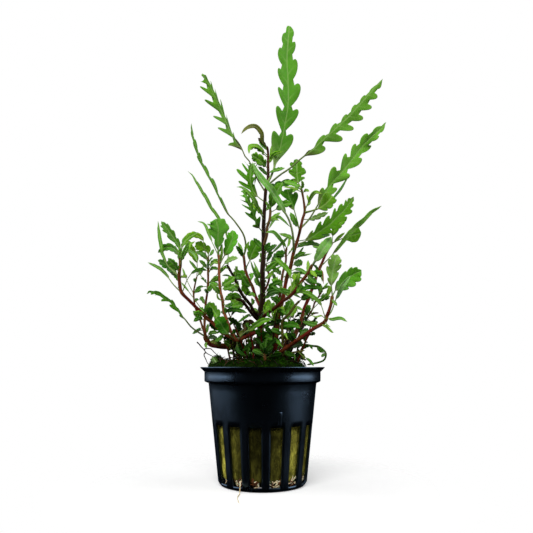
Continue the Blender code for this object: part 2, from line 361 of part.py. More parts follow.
        ("oval", 1.2, 0.3, 0, 14, "dark", [(-18, 68, 0), (-19, 65.5, -5.5), (-21.5, 64, -7)]),
        ("oval", 1.4, 0.25, 0, 14, "olive", [(-10, 65, 0), (-9.5, 67.5, 3.5), (-7, 68.5, 5.5)]),
        ("oval", 1.1, 0.25, 20, 14, "dark", [(-11.5, 64, 0), (-11, 60, -3.5), (-7.5, 57.5, -5.5)]),
        ("strap", 0.7, 0.3, 0, 14, "dark", [(-27, 76, 0), (-25.5, 79, -5.5), (-23.5, 82, -7)]),
    ],
    "amber_stem": [
        ("strap", 0.7, 0.2, 0, 20, "bright", [(-19.5, 98.5, 0), (-18.5, 102.5, -3.5), (-18, 106.5, -5.5)]),
        ("oval", 1.4, 0.4, -14, 16, "pale", [(-19.5, 95.5, 0), (-17, 99, -3.5), (-14, 101, -5.5),
            (-11, 101.5, -7)]),
        ("oval", 1.4, 0.35, 10, 14, "mid", [(-18.5, 84, 0), (-20.5, 87, -5.5), (-23, 90, -7)]),
        ("strap", 0.5, 0.2, 10, 20, "bright", [(-18, 82, 0), (-20, 83.5, -3.5), (-20.5, 86, -5.5)]),
        ("toothed", 2.0, 0.25, 0, 14, "mid", [(-19.5, 88, 0), (-17.5, 89.5, -3.5), (-15, 91, -5.5),
            (-12.5, 93, -7)]),
        ("strap", 0.8, 0.4, 20, 20, "mid", [(-20, 102.5, 0), (-23.5, 110.5, 7), (-26, 116.5, 11),
            (-29, 118, 12.5)]),
        ("oval", 1.4, 0.1, 30, 14, "dark", [(-17, 77.5, 0), (-13.5, 78.5, -5.5), (-10, 78, -7),
            (-7, 77, -9)]),
        ("oval", 1.2, 0.3, 0, 14, "dark", [(-18, 81, 0), (-15.5, 80, -5.5), (-13, 81.5, -9)]),
    ],
    "left_stem": [
        ("oval", 1.0, 0.2, 0, 16, "mid", [(-24.5, 96, 0), (-26.5, 99, -2), (-28.5, 100.5, -3.5)]),
        ("oval", 1.0, 0.3, 10, 16, "mid", [(-24.5, 95.5, 0), (-22.5, 99.5, 2), (-20, 101, 3.5)]),
        ("oval", 0.9, 0.3, 10, 16, "dark", [(-24.5, 94.5, 0), (-22.5, 97, -3.5), (-19.5, 96.5, -5.5)]),
        ("strap", 0.8, 0.5, 30, 16, "mid", [(-24.5, 89.5, 0), (-28, 94, 3.5), (-31, 98, 5.5),
            (-33, 100.5, 7)]),
        ("strap", 0.8, 0.5, 30, 16, "mid", [(-24.5, 90, 0), (-20.5, 94, -3.5), (-18, 96.5, -5.5),
            (-16, 98.5, -7)]),
        ("strap", 0.8, 0.3, 20, 16, "dark", [(-24.5, 88.5, 0), (-28, 88.5, -3.5), (-30.5, 86, -5.5)]),
        ("oval", 1.5, 0.2, 20, 14, "dark", [(-24.5, 100, 0), (-27, 103, 7), (-30, 104.5, 11)]),
        ("oval", 0.8, 0.2, 0, 14, "mid", [(-24.5, 102, 0), (-23, 103.5, 2), (-22, 105.5, 3.5)]),
        ("strap", 0.5, 0.7, 20, 14, "mid", [(-26, 76, 0), (-28.5, 80, 2), (-32.5, 85.5, 2),
            (-36.5, 90.5, 3.5)]),
    ],
    "left_inner_stem": [
        ("oval", 1.0, 0.35, 0, 16, "pale", [(-28.5, 74, 0), (-29.5, 75.5, -3.5), (-31, 77.5, -5.5)]),
        ("strap", 0.5, 0.6, 10, 16, "mid", [(-31, 85.5, 0), (-34, 91.5, 3.5), (-36, 97, 5.5)]),
        ("oval", 0.9, 0.2, 10, 16, "mid", [(-29.5, 93, 0), (-28, 95, 3.5), (-26.5, 98, 5.5)]),
        ("oval", 0.9, 0.2, 10, 16, "dark", [(-27, 70.5, 0), (-29, 69, 5.5), (-31.5, 67.5, 9)]),
    ],
    "left_runner": [
        ("oval", 1.1, 0.3, 10, 16, "mid", [(-25.5, 65.5, 0), (-23, 68, -3.5), (-20, 68, -5.5)]),
        ("oval", 0.8, 0.3, 10, 16, "mid", [(-26, 66, 0), (-25, 69, 3.5), (-24.5, 72, 5.5)]),
        ("oval", 1.6, 0.2, 10, 16, "olive", [(-18, 62, 0), (-20.5, 63.5, -5.5), (-23.5, 64, -7)]),
        ("oval", 0.8, 0.2, 10, 16, "mid", [(-25, 64, 0), (-25.5, 62.5, -3.5), (-25, 61, -5.5)]),
        ("strap", 0.6, 0.3, 10, 16, "bright", [(-6.5, 60.5, 0), (-6, 64, -5.5), (-7, 66, -7)]),
    ],
    "inner_left_stem": [
        ("strap", 0.7, 0.3, 0, 20, "mid", [(-8, 102, 0), (-9.5, 105.5, 3.5), (-11, 108.5, 5.5)]),
        ("oval", 0.8, 0.3, 0, 20, "bright", [(-8, 102.5, 0), (-7.5, 106, -3.5), (-6, 109, -5.5)]),
        ("oval", 1.2, 0.3, 0, 16, "dark", [(-8, 100, 0), (-10, 104.5, -5.5), (-12, 107, -9)]),
        ("oval", 1.7, 0.3, 10, 14, "mid", [(-7.5, 95, 0), (-10, 93, -3.5), (-13.5, 93, -7)]),
        ("oval", 1.9, 0.25, 10, 14, "mid", [(-4.5, 88.5, 0), (-7, 90, -5.5), (-9.5, 94, -9)]),
    ],
    "dark_left_stem": [
        ("oval", 1.5, 0.25, 10, 14, "mid", [(-12, 90.5, 0), (-14.5, 89, -2), (-17.5, 87.5, -3.5)]),
        ("oval", 1.7, 0.25, 10, 14, "mid", [(-10, 86.5, 0), (-12, 87.5, 5.5), (-15, 87.5, 9)]),
        ("strap", 0.8, 0.3, 20, 14, "dark", [(-4, 77.5, 0), (-7.5, 75, -5.5), (-11, 72.5, -7)]),
        ("oval", 2.1, 0.2, 14, 14, "bright", [(-7.5, 83, 0), (-10.5, 82, 5.5), (-15, 84, 9)]),
    ],
    "crossing_stem": [
        ("toothed", 1.5, 0.45, 10, 16, "mid", [(12.5, 84.5, 0), (13, 90, 3.5), (12, 95, 5.5),
            (9, 98.5, 5.5), (5.5, 101.5, 5.5)]),
        ("oval", 1.7, 0.2, 0, 14, "bright", [(17, 90, 0), (15.5, 91.5, 3.5), (14, 94.5, 5.5)]),
        ("oval", 1.0, 0.2, 20, 14, "dark", [(12, 84, 0), (8.5, 86.5, -3.5), (4, 89, -5.5)]),
        ("oval", 1.5, 0.2, 10, 14, "dark", [(20, 94, 0), (22, 92, -3.5), (24.5, 90, -5.5)]),
        ("oval", 1.1, 0.2, 10, 14, "bright", [(21.5, 96.5, 0), (22.5, 95, -3.5), (24.5, 93, -5.5)]),
        ("oval", 0.9, 0.2, 0, 14, "bright", [(20, 94, 0), (20.5, 97.5, 3.5), (20.5, 100.5, 5.5)]),
        ("oval", 1.0, 0.2, 20, 14, "dark", [(18, 91.5, 0), (20.5, 89, 3.5), (24.5, 87.5, 5.5)]),
        ("oval", 1.1, 0.2, 20, 14, "dark", [(18, 91, 0), (16.5, 88, -3.5), (15.5, 86, -5.5)]),
        ("oval", 0.8, 0.2, 0, 14, "dark", [(22.5, 98.5, 0), (24, 97.5, 3.5), (25, 95.5, 5.5)]),
    ],
    "centre_shoot": [
        ("oval", 1.9, 0.2, 0, 14, "mid", [(2.5, 96, 0), (4.5, 98, 3.5), (8, 101, 5.5)]),
        ("strap", 0.6, 0.3, 0, 14, "mid", [(3, 92.5, 0), (5, 95.5, -3.5), (8.5, 98, -5.5)]),
        ("oval", 0.8, 0.3, 0, 14, "bright", [(1.5, 98.5, 0), (0, 101, 3.5), (-1, 104, 5.5)]),
    ],
    "olive_branch": [
        ("oval", 2.1, 0.15, -14, 14, "dark", [(16.5, 82.5, 0), (19, 84, -2), (22.5, 86, -3.5)]),
        ("oval", 1.3, 0.3, 0, 14, "bright", [(10.5, 75, 0), (13, 76, 3.5), (15.5, 80, 5.5)]),
        ("oval", 1.0, 0.25, 0, 14, "bright", [(9, 73, 0), (9, 77, 0), (9, 80, 2)]),
        ("strap", 0.7, 0.2, 0, 14, "mid", [(15, 80, 0), (16.5, 79, -3.5), (18, 78, -5.5)]),
        ("strap", 0.7, 0.25, 0, 14, "bright", [(9, 67.5, 0), (10.5, 67, -5.5), (11.5, 65, -9)]),
    ],
    "right_tendril": [
        ("strap", 0.6, 0.2, 10, 14, "dark", [(20, 62.5, 0), (21.5, 62, -2), (22.5, 60.5, -3.5)]),
        ("strap", 0.9, 0.2, 10, 14, "dark", [(24, 62, 0), (25.5, 60.5, -2), (27.5, 59, -3.5)]),
        ("oval", 0.8, 0.2, 10, 14, "bright", [(28.5, 58.5, 0), (27.5, 58, -2), (26.5, 57, -3.5)]),
    ],
    "right_twig": [
        ("strap", 0.7, 0.5, 10, 14, "dark", [(16, 59.5, 0), (18, 57.5, -2), (20.5, 56, -3.5),
            (22, 54.5, -4.5), (23, 53, -5.5)]),
        ("oval", 0.9, 0.25, 10, 14, "olive", [(17, 59.5, 0), (18, 58, 2), (19, 56, 2)]),
        ("strap", 0.4, 0.3, 10, 14, "dark", [(14, 59, 0), (14.5, 57.5, 0), (14.5, 55.5, 0)]),
    ],
    "slender_right_stem": [
        ("strap", 0.7, 0.3, 20, 14, "mid", [(26, 85.5, 0), (27.5, 88, -4.5), (30.5, 89, -9)]),
        ("strap", 0.5, 0.4, 10, 14, "mid", [(26.5, 86.5, 0), (27.5, 88, 4.5), (29.5, 90.5, 8)]),
        ("oval", 0.9, 0.4, 10, 14, "mid", [(20, 74, 0), (22, 73, 3.5), (25, 72.5, 7)]),
        ("oval", 0.9, 0.3, 10, 14, "dark", [(17.5, 69.5, 0), (19, 68.5, -3.5), (21, 67.5, -5.5)]),
    ],
}

# Low tufts on the moss, grown by rule: foot across and back, height, leaves, reach and seed
TUFTS = [
    ("left_undergrowth", -11.0, -4.0, 5.0, 9, 8.5, 3),
    ("middle_undergrowth", 1.0, -17.0, 4.5, 12, 7.5, 5),
    ("right_undergrowth", 4.5, 13.5, 9.0, 12, 8.5, 8),
]
TUFT_TURN = 137.5
TUFT_STUMP_RADIUS = 0.7
TUFT_TONES = ("dark", "mid", "dark")

# The root that comes out of a slot and lies along the surface: (x, y, z)
ROOT_RADIUS = 0.24
ROOT_ROUTE = [(-9.2, -16.9, 4.6), (-9.3, -18.6, 3.2), (-9.4, -20.0, 1.6), (-9.5, -21.2, 0.5),
    (-9.6, -23.5, 0.3), (-10.0, -28.0, 0.3), (-9.6, -33.0, 0.3), (-8.9, -37.0, 0.3)]
ROOT_RINGS = 14


def clear_scene():
    """Removes whatever the scene holds."""
    for thing in list(bpy.data.objects):
        bpy.data.objects.remove(thing, do_unlink=True)


def finish(name, colour, roughness):
    """A plain material, made once."""
    material = bpy.data.materials.get(name)
    if material is None:
        material = bpy.data.materials.new(name)
        material.use_nodes = True
        shader = material.node_tree.nodes["Principled BSDF"]
        shader.inputs["Base Color"].default_value = (*colour, 1.0)
        shader.inputs["Roughness"].default_value = roughness
        shader.inputs["Metallic"].default_value = 0.0
    return material


def add_object(name, bm, origin, material, parent):
    """Turns a mesh in millimetres into a named object with its origin at a natural point."""
    origin = Vector(origin)
    bmesh.ops.recalc_face_normals(bm, faces=bm.faces)
    bmesh.ops.translate(bm, verts=bm.verts, vec=-origin)
    bmesh.ops.scale(bm, verts=bm.verts, vec=(MM, MM, MM))
    mesh = bpy.data.meshes.new(name)
    bm.to_mesh(mesh)
    bm.free()
    mesh.shade_smooth()
    mesh.set_sharp_from_angle(angle=math.radians(40))
    mesh.materials.append(material)
    thing = bpy.data.objects.new(name, mesh)
    thing.location = origin * MM
    thing.parent = parent
    bpy.context.scene.collection.objects.link(thing)


# Lines in space

def place(line):
    """Opens a line on the elevation out in depth, so that it still looks the same from the eye."""
    line = np.asarray(line, float)
    spread = 1.0 + line[:, 2] / EYE_DISTANCE
    up = RIM_HEIGHT + (line[:, 1] - RIM_HEIGHT) * spread
    return np.stack([line[:, 0] * spread, line[:, 2], up], axis=1)


def smooth_line(points):
    """Catmull-Rom curve through the points, with CURVE_STEPS steps between two of them."""
    points = np.asarray(points, float)
    ends = np.vstack([2 * points[0] - points[1], points, 2 * points[-1] - points[-2]])
    step = np.linspace(0.0, 1.0, CURVE_STEPS, endpoint=False)[:, None]
    parts = []
    for a, b, c, d in zip(ends, ends[1:], ends[2:], ends[3:]):
        bend = (2 * a - 5 * b + 4 * c - d) * step**2 + (3 * b - a - 3 * c + d) * step**3
        parts.append(b + 0.5 * ((c - a) * step + bend))
    return np.vstack(parts + [points[-1:]])


def run_lengths(line):
    """Length along the line up to each of its points."""
    return np.concatenate([[0.0], np.cumsum(np.linalg.norm(np.diff(line, axis=0), axis=1))])


def read_line(line, lengths):
    """Points of the line at the given lengths from its start."""
    run = run_lengths(line)
    return np.stack([np.interp(lengths, run, line[:, axis]) for axis in range(3)], axis=1)


def grown_from(parent, route):
    """Elevation line of a route whose foot is laid on its parent, with depths counted from there."""
    route = np.array(route, float)
    if parent is not None:
        nearest = np.argmin(np.linalg.norm(parent["elevation"][:, :2] - route[0, :2], axis=1))
        route[:, 2] += parent["elevation"][nearest, 2] - route[0, 2]
        route[0] = parent["elevation"][nearest]
    return smooth_line(route)


def even_line(line, count=FINE_STEPS):
    """The line again, with its points evenly spaced."""
    return read_line(line, np.linspace(0.0, run_lengths(line)[-1], count))


def start_where(line, clear):
    """The line from the last place where it isn't clear of what it grows from."""
    fine = even_line(line, TRIM_STEPS)
    blocked = np.nonzero(~clear(fine))[0]
    return fine[blocked[-1] + 1:] if len(blocked) else fine


def clear_of_stem(parent, radius):
    """Test for points that stand off a stem by GAP, for something of the given radius."""
    total = run_lengths(parent["line"])[-1]
    reach = thickness_at(parent, run_lengths(parent["line"]), total) + radius + GAP

    def clear(points):
        apart = np.linalg.norm(points[:, None, :] - parent["line"][None, :, :], axis=2)
        return np.all(apart > reach, axis=1)
    return clear


def thickness_at(stem, lengths, total):
    """Radius of a stem at the given lengths from its foot."""
    return stem["foot"] + (stem["tip"] - stem["foot"]) * np.clip(np.asarray(lengths) / total, 0.0, 1.0)


def moss_height(x, y):
    """Height of the moss: a low dome with a few soft lumps."""
    away = np.hypot(x - MOSS_OFFSET, y) / MOSS_RADIUS
    dome = MOSS_EDGE + MOSS_CROWN * np.clip(1.0 - away**2, 0.0, 1.0) ** 0.6
    lumps = np.sin(0.55 * x + 1.3) * np.cos(0.5 * y + 0.4) + 0.6 * np.sin(0.9 * y - 0.4 * x)
    return dome + 0.8 * lumps * np.clip(1.0 - away, 0.0, 1.0)


# The plant's records

def leaf_record(parent, form, lobes, width, stalk, turn, fold, tone, route):
    return {"line": place(grown_from(parent, route)), "form": form, "lobes": lobes, "width": width,
        "stalk": stalk, "turn": turn, "fold": fold, "tone": tone}


def stem_records():
    """All stems by name, each with its elevation, its line in space and its young leaves."""
    stems = {}
    for name, on, bark, foot, tip, route in STEMS:
        stem = {"bark": bark, "foot": foot, "tip": tip, "on": on,
            "elevation": grown_from(stems.get(on), route)}
        stem["line"] = place(stem["elevation"])
        rows = YOUNG_LEAVES.get(name, [])
        stem["young"] = [leaf_record(stem, form, 1, *rest) for form, *rest in rows]
        stems[name] = stem
    return stems


def tuft_record(across, back, height, leaves, reach, seed):
    """A short stump with leaves set round it by a steady turn, the upper ones steeper."""
    chance = random.Random(seed)
    ground = float(moss_height(across, back))
    line = smooth_line([(across, back, ground - 1.0), (across, back, ground + 0.5 * height),
        (across, back, ground + height)])
    young = []
    for number in range(leaves):
        share = (number + 0.5) / leaves
        heading = math.radians(TUFT_TURN * number)
        rise = math.radians(12 + 60 * share + chance.uniform(-8, 8))
        length = reach * chance.uniform(0.65, 1.1)
        foot = np.array([across, back, ground + 0.8 + share * (height - 1.2)])
        level = np.array([math.cos(heading), math.sin(heading), 0.0])
        up = np.array([0.0, 0.0, 1.0])
        middle = foot + length * (0.5 * math.cos(rise) * level + 0.6 * math.sin(rise) * up)
        tip = foot + length * (math.cos(rise) * level + 0.95 * math.sin(rise) * up)
        young.append({"line": smooth_line([foot, middle, tip]), "form": "oval", "lobes": 1,
            "width": chance.uniform(1.0, 1.7), "stalk": 0.25, "turn": chance.uniform(-40, 40), "fold": 12,
            "tone": TUFT_TONES[number % len(TUFT_TONES)]})
    return {"bark": "olive", "foot": TUFT_STUMP_RADIUS, "tip": 0.5 * TUFT_STUMP_RADIUS, "on": "",
        "line": line, "young": young}


# Leaves

def crossways(line):
    """Unit vectors along, to the side of and out of a line; out leans to the viewer."""
    along = np.gradient(line, axis=0)
    along /= np.linalg.norm(along, axis=1)[:, None]
    side = np.cross(np.array([0.0, 1.0, 0.0]), along)
    side /= np.maximum(np.linalg.norm(side, axis=1), 1e-6)[:, None]
    return along, side, np.cross(side, along)


def blade_places(form, lobes):
    """Places along the blade that its outline needs: three for each lobe, or four in a plain blade."""
    if form in ("feather", "toothed") and lobes > 1:
        return [(lobe + part) / lobes for lobe in range(lobes) for part in LOBE_PLACES][1:]
    return PLAIN_PLACES


def half_width(form, lobes, share):
    """Half width along the blade from 0 to 1: rounded ends times the swing of the lobes."""
    between, _, widest, bluntness = FORMS[form]
    skewed = share ** (math.log(0.5) / math.log(widest))
    envelope = (4.0 * skewed * (1.0 - skewed)) ** bluntness
    if lobes == 1:
        return envelope
    rise = math.sin(0.5 * math.pi * min((share * lobes) % 1.0 / 0.8, 1.0))
    return envelope * (between + (1.0 - between) * rise)


def leaf_sections(leaf, line, shares):
    """Four-cornered sections of a leaf from its foot, as right edge, face, left edge and back.

    Each half of the blade leans out by the fold, and both turn about the midrib.  The lobes are
    swept forward along it."""
    fine = even_line(line)
    along, side, out = crossways(fine)
    turn, fold = math.radians(leaf["turn"]), math.radians(leaf["fold"])
    side, out = math.cos(turn) * side - math.sin(turn) * out, math.cos(turn) * out + math.sin(turn) * side
    right = math.cos(fold) * side + math.sin(fold) * out
    left = math.sin(fold) * out - math.cos(fold) * side
    sweep = math.radians(FORMS[leaf["form"]][1])
    sections = []
    for share in [None, None] + shares:
        place_along = leaf["stalk"] * len(sections)
        if share is not None:
            place_along = leaf["stalk"] + (1 - leaf["stalk"]) * share
        step = step_at(place_along)
        middle = fine[step]
        wide = STALK_RADIUS if share is None else max(
            STALK_RADIUS, leaf["width"] * half_width(leaf["form"], leaf["lobes"], share))
        wide *= 1.0 + middle[1] / EYE_DISTANCE
        lean = 0.0 if share is None else sweep
        ahead = wide * math.sin(lean) * along[step]
        thick = 0.5 * LEAF_THICKNESS * out[step]
        sections.append([middle + wide * math.cos(lean) * right[step] + ahead, middle + thick,
            middle + wide * math.cos(lean) * left[step] + ahead, middle - thick])
    return sections, fine[-1]


def step_at(share):
    """Index of the point at a share of an even line."""
    return min(int(round(share * (FINE_STEPS - 1))), FINE_STEPS - 1)


def corner_order(loop, section):
    """Order in which a section's corners follow on from a face: same way round, nearest first."""
    order = [0, 1, 2, 3]
    start, middle = np.mean(loop, axis=0), np.mean(section, axis=0)
    if np.dot(np.cross(section[0] - section[2], section[1] - section[3]), middle - start) < 0.0:
        order.reverse()

    def strain(turn):
        corners = [section[order[(step + turn) % 4]] for step in range(4)]
        return sum(np.linalg.norm((corner - middle) - (old - start)) for corner, old in zip(corners, loop))
    best = min(range(4), key=strain)
    return order[best:] + order[:best]


def draw_out(bm, face, sections, tip):
    """Draws a leaf out of a face, one extrusion to each section and a last one to its point."""
    order = corner_order([np.array(corner.co) for corner in face.verts], sections[0])
    for section in sections:
        face = bmesh.ops.extrude_discrete_faces(bm, faces=[face])["faces"][0]
        for corner, number in zip(face.verts, order):
            corner.co = section[number]
    close_to_point(bm, face, tip)


def close_to_point(bm, face, tip):
    """Draws a face out to a single point."""
    face = bmesh.ops.extrude_discrete_faces(bm, faces=[face])["faces"][0]
    bmesh.ops.pointmerge(bm, verts=list(face.verts), merge_co=tip)


def join_rings(bm, rings):
    """Closed skin over a row of rings of equal count, capped at both ends."""
    count = len(rings[0])
    for lower, upper in zip(rings, rings[1:]):
        for corner in range(count):
            after = (corner + 1) % count
            bm.faces.new((lower[corner], lower[after], upper[after], upper[corner]))
    bm.faces.new(rings[0][::-1])
    return bm.faces.new(rings[-1])


def leaf_mesh(leaf, parent):
    """A leaf on its own: clear of its stem by GAP, drawn out from its stalk."""
    line = start_where(leaf["line"], clear_of_stem(parent, STALK_RADIUS))
    sections, tip = leaf_sections(leaf, line, blade_places(leaf["form"], leaf["lobes"]))
    bm = bmesh.new()
    end = join_rings(bm, [[bm.verts.new(corner) for corner in section] for section in sections])
    close_to_point(bm, end, tip)
    return bm, line[0]


# Stems

def bud_groups(line, leaves):
    """Places along a stem where leaves grow; leaves close together share one, round the stem."""
    run = run_lengths(line)
    low, high = 2 * BUD_HALF_HEIGHT, run[-1] - 2 * BUD_HALF_HEIGHT
    wanted = [(run[np.argmin(np.linalg.norm(line - leaf["line"][0], axis=1))], number)
        for number, leaf in enumerate(leaves)]
    groups = []
    for where, number in sorted(wanted):
        where = min(max(where, low), high)
        if groups and where - groups[-1][0] < BUD_SPACING:
            if len(groups[-1][1]) < STEM_SIDES - 1:
                groups[-1][1].append(leaves[number])
                continue
            where = groups[-1][0] + BUD_SPACING
        groups.append((where, [leaves[number]]))
    return groups


def stem_rings(stem, line, groups):
    """Rings of corners along a stem, with a pair of close ones wherever leaves grow."""
    total = run_lengths(line)[-1]
    buds = [where + half for where, _ in groups for half in (-BUD_HALF_HEIGHT, BUD_HALF_HEIGHT)]
    plain = np.linspace(0.0, total, max(3, int(total / RING_SPACING) + 2))
    cuts = sorted(buds + [cut for cut in plain if all(abs(cut - bud) > BUD_HALF_HEIGHT for bud in buds)])
    centre = read_line(line, cuts)
    along, side, _ = crossways(even_line(line))
    across = [side[0]]
    for forward in along[1:]:
        flat = across[-1] - np.dot(across[-1], forward) * forward
        across.append(flat / np.linalg.norm(flat))
    rings = []
    for cut, middle, radius in zip(cuts, centre, thickness_at(stem, cuts, total)):
        step = step_at(cut / total)
        other = np.cross(along[step], across[step])
        angles = [2.0 * math.pi * corner / STEM_SIDES for corner in range(STEM_SIDES)]
        rings.append([middle + radius * (math.cos(a) * across[step] + math.sin(a) * other) for a in angles])
    return cuts, rings


def stem_mesh(stem, line):
    """A tapering stem whose young leaves are drawn out of its sides."""
    groups = bud_groups(line, stem["young"])
    cuts, corners = stem_rings(stem, line, groups)
    bm = bmesh.new()
    join_rings(bm, [[bm.verts.new(corner) for corner in ring] for ring in corners])
    bm.normal_update()
    bm.faces.ensure_lookup_table()
    walls = list(bm.faces)
    sprouts = []
    for where, leaves in groups:
        first = cuts.index(where - BUD_HALF_HEIGHT) * STEM_SIDES
        free = walls[first:first + STEM_SIDES]
        node = read_line(line, [where])[0]
        headings = [Vector(read_line(leaf["line"], [HEADING_LENGTH])[0] - leaf["line"][0]).normalized()
            for leaf in leaves]
        chosen = max(itertools.permutations(free, len(leaves)),
            key=lambda faces: sum(face.normal.dot(heading) for face, heading in zip(faces, headings)))
        sprouts += [(face, leaf, young_leaf_line(leaf, node, stem["foot"]))
            for face, leaf in zip(chosen, leaves)]
    for face, leaf, path in sprouts:
        places = SMALL_BLADE_PLACES if leaf["width"] < SMALL_BLADE else BLADE_PLACES
        sections, tip = leaf_sections(leaf, path, places)
        draw_out(bm, face, sections[1:], tip)
    return bm


def young_leaf_line(leaf, node, radius):
    """The leaf's line, moved at its foot to the node that it shares and begun outside the stem."""
    line = even_line(leaf["line"])
    line = line + (node - line[0]) * np.linspace(1.0, 0.0, len(line))[:, None] ** 2
    total = run_lengths(line)[-1]
    return read_line(line, np.linspace(min(radius + BUD_LENGTH, 0.3 * total), total, FINE_STEPS))


# The pot and what fills it

def turned(profile, steps):
    """Closed body turned round the Z axis from an outline that starts and ends on it."""
    bm = bmesh.new()
    corners = [bm.verts.new((radius, 0.0, height)) for radius, height in profile]
    edges = [bm.edges.new(pair) for pair in zip(corners, corners[1:])]
    bmesh.ops.spin(bm, geom=corners + edges, cent=(0, 0, 0), axis=(0, 0, 1), angle=2.0 * math.pi,
        steps=steps, use_merge=True)
    bmesh.ops.remove_doubles(bm, verts=bm.verts, dist=1e-4)
    return bm


def wall_radius(height):
    """Outer radius of the pot's body, which tapers evenly to its foot."""
    share = (height - SLOT_FOOT) / (COLLAR_FOOT - SLOT_FOOT)
    return 0.5 * (BODY_DIAMETER_FOOT + (BODY_DIAMETER_TOP - BODY_DIAMETER_FOOT) * share)


def pot_profile():
    """Half section of the pot, up the outside from the middle of its underside and down the inside."""
    rim, collar = 0.5 * RIM_DIAMETER, 0.5 * COLLAR_DIAMETER
    shoulder = COLLAR_FOOT - 0.9
    outside = [(0.0, 0.0), (DRAIN_INNER_RADIUS, 0.0), (DRAIN_OUTER_RADIUS, 0.0), (BASE_RADIUS, 0.0),
        (wall_radius(0.6) - 0.5, 0.6), (wall_radius(SLOT_FOOT), SLOT_FOOT), (wall_radius(SLOT_TOP), SLOT_TOP),
        (wall_radius(shoulder), shoulder), (collar, COLLAR_FOOT), (collar, COLLAR_TOP),
        (rim, RIM_HEIGHT - LIP_THICKNESS), (rim, RIM_HEIGHT)]
    inside = [(collar - WALL, RIM_HEIGHT), (collar - WALL, COLLAR_FOOT + 0.5),
        (wall_radius(shoulder) - WALL, shoulder - 0.4), (wall_radius(SLOT_TOP) - WALL, SLOT_TOP),
        (wall_radius(SLOT_FOOT) - WALL, SLOT_FOOT), (BASE_RADIUS - WALL, WALL), (DRAIN_OUTER_RADIUS, WALL),
        (DRAIN_INNER_RADIUS, WALL), (0.0, WALL)]
    return outside + inside


def pierce(bm, is_hole):
    """Opens the slots: takes out the faces of each hole and walls it through from skin to skin."""
    pitch = 2.0 * math.pi / SLOTS
    holes = {}
    for face in bm.faces:
        middle = face.calc_center_median()
        turn = math.atan2(middle.y, middle.x) % (2.0 * math.pi)
        if turn % pitch < SLOT_SHARE * pitch and is_hole(middle):
            holes.setdefault(int(turn // pitch), []).append(face)
    for faces in holes.values():
        inside = set(faces)
        rims = [edge for edge in {edge for face in faces for edge in face.edges}
            if sum(1 for face in edge.link_faces if face in inside) == 1]
        bmesh.ops.delete(bm, geom=faces, context="FACES")
        bmesh.ops.bridge_loops(bm, edges=rims)


def pot_mesh():
    """The pot: turned, its meridians set to the slots' edges, and pierced in its wall and its floor."""
    bm = turned(pot_profile(), 3 * SLOTS)
    pitch = 2.0 * math.pi / SLOTS
    for corner in bm.verts:
        turn = math.atan2(corner.co.y, corner.co.x) % (2.0 * math.pi)
        number = int(round(turn / (pitch / 3.0)))
        shift = (number % 3) * (0.5 * SLOT_SHARE - 1.0 / 3.0) * pitch
        corner.co = Matrix.Rotation(shift, 3, "Z") @ corner.co
    pierce(bm, lambda middle: SLOT_FOOT < middle.z < SLOT_TOP and middle.xy.length > DRAIN_OUTER_RADIUS)
    pierce(bm, lambda middle: middle.z < SLOT_FOOT and DRAIN_INNER_RADIUS * 0.98 < middle.xy.length
        < DRAIN_OUTER_RADIUS)
    rib_middle = (0.5 + 0.5 * SLOT_SHARE) * pitch
    facing = math.radians(FIRST_RIB_TURN - 90.0)
    bmesh.ops.rotate(bm, verts=bm.verts, cent=(0, 0, 0), matrix=Matrix.Rotation(facing - rib_middle, 3, "Z"))
    return bm


def wool_mesh():
    """The rock wool plug: it follows the inside of the pot, with a rounded foot and an uneven skin."""
    def inner(height):
        return wall_radius(min(height, COLLAR_FOOT - 1.5)) - WALL - WOOL_CLEARANCE
    floor = WALL + GAP
    profile = [(0.0, floor), (0.55 * BASE_RADIUS, floor), (BASE_RADIUS - 2.6, floor + 0.2),
        (inner(5.0) - 0.5, 5.0), (inner(10.0), 10.0), (inner(19.0), 19.0), (inner(SLOT_TOP), SLOT_TOP),
        (inner(38.0), 38.0), (inner(44.0), 44.0), (inner(44.0) - 1.0, WOOL_TOP), (0.0, WOOL_TOP)]
    bm = turned(profile, WOOL_STEPS)
    for corner in bm.verts:
        turn = math.atan2(corner.co.y, corner.co.x)
        swell = math.sin(5.0 * turn + 0.6 * corner.co.z) * math.cos(3.0 * turn - 0.3 * corner.co.z)
        dent = 0.4 * (1.0 + swell)
        reach = corner.co.xy.length
        if reach > 1.0 and GAP + WALL < corner.co.z < WOOL_TOP:
            corner.co.xy *= (reach - dent) / reach
    return bm


def moss_mesh():
    """The moss on the wool: a lumpy dome on a flat underside, set a little to the left."""
    bm = bmesh.new()
    foot = WOOL_TOP + GAP
    turns = [2.0 * math.pi * step / MOSS_STEPS for step in range(MOSS_STEPS)]
    rings = []
    for share, raised in [(0.5, False), (1.0, False), (1.0, True), (0.84, True), (0.6, True), (0.32, True)]:
        reach = share * MOSS_RADIUS
        spots = [(MOSS_OFFSET + reach * math.cos(turn), reach * math.sin(turn)) for turn in turns]
        rings.append([bm.verts.new((x, y, moss_height(x, y) if raised else foot)) for x, y in spots])
    end = join_rings(bm, rings)
    bmesh.ops.poke(bm, faces=[end])
    return bm


def root_mesh():
    """The root: a thin thread of even thickness with a fine tip."""
    line = smooth_line(ROOT_ROUTE)
    stem = {"foot": ROOT_RADIUS, "tip": 0.6 * ROOT_RADIUS}
    total = run_lengths(line)[-1]
    centre = read_line(line, np.linspace(0.0, total, ROOT_RINGS))
    along, _, _ = crossways(centre)
    bm = bmesh.new()
    rings = []
    for middle, forward, radius in zip(centre, along, thickness_at(stem, run_lengths(centre), total)):
        side = np.cross(forward, (1.0, 0.0, 0.0))
        side /= np.linalg.norm(side)
        other = np.cross(forward, side)
        angles = [2.0 * math.pi * corner / STEM_SIDES for corner in range(STEM_SIDES)]
        rings.append([bm.verts.new(middle + radius * (math.cos(a) * side + math.sin(a) * other))
            for a in angles])
    join_rings(bm, rings)
    return bm


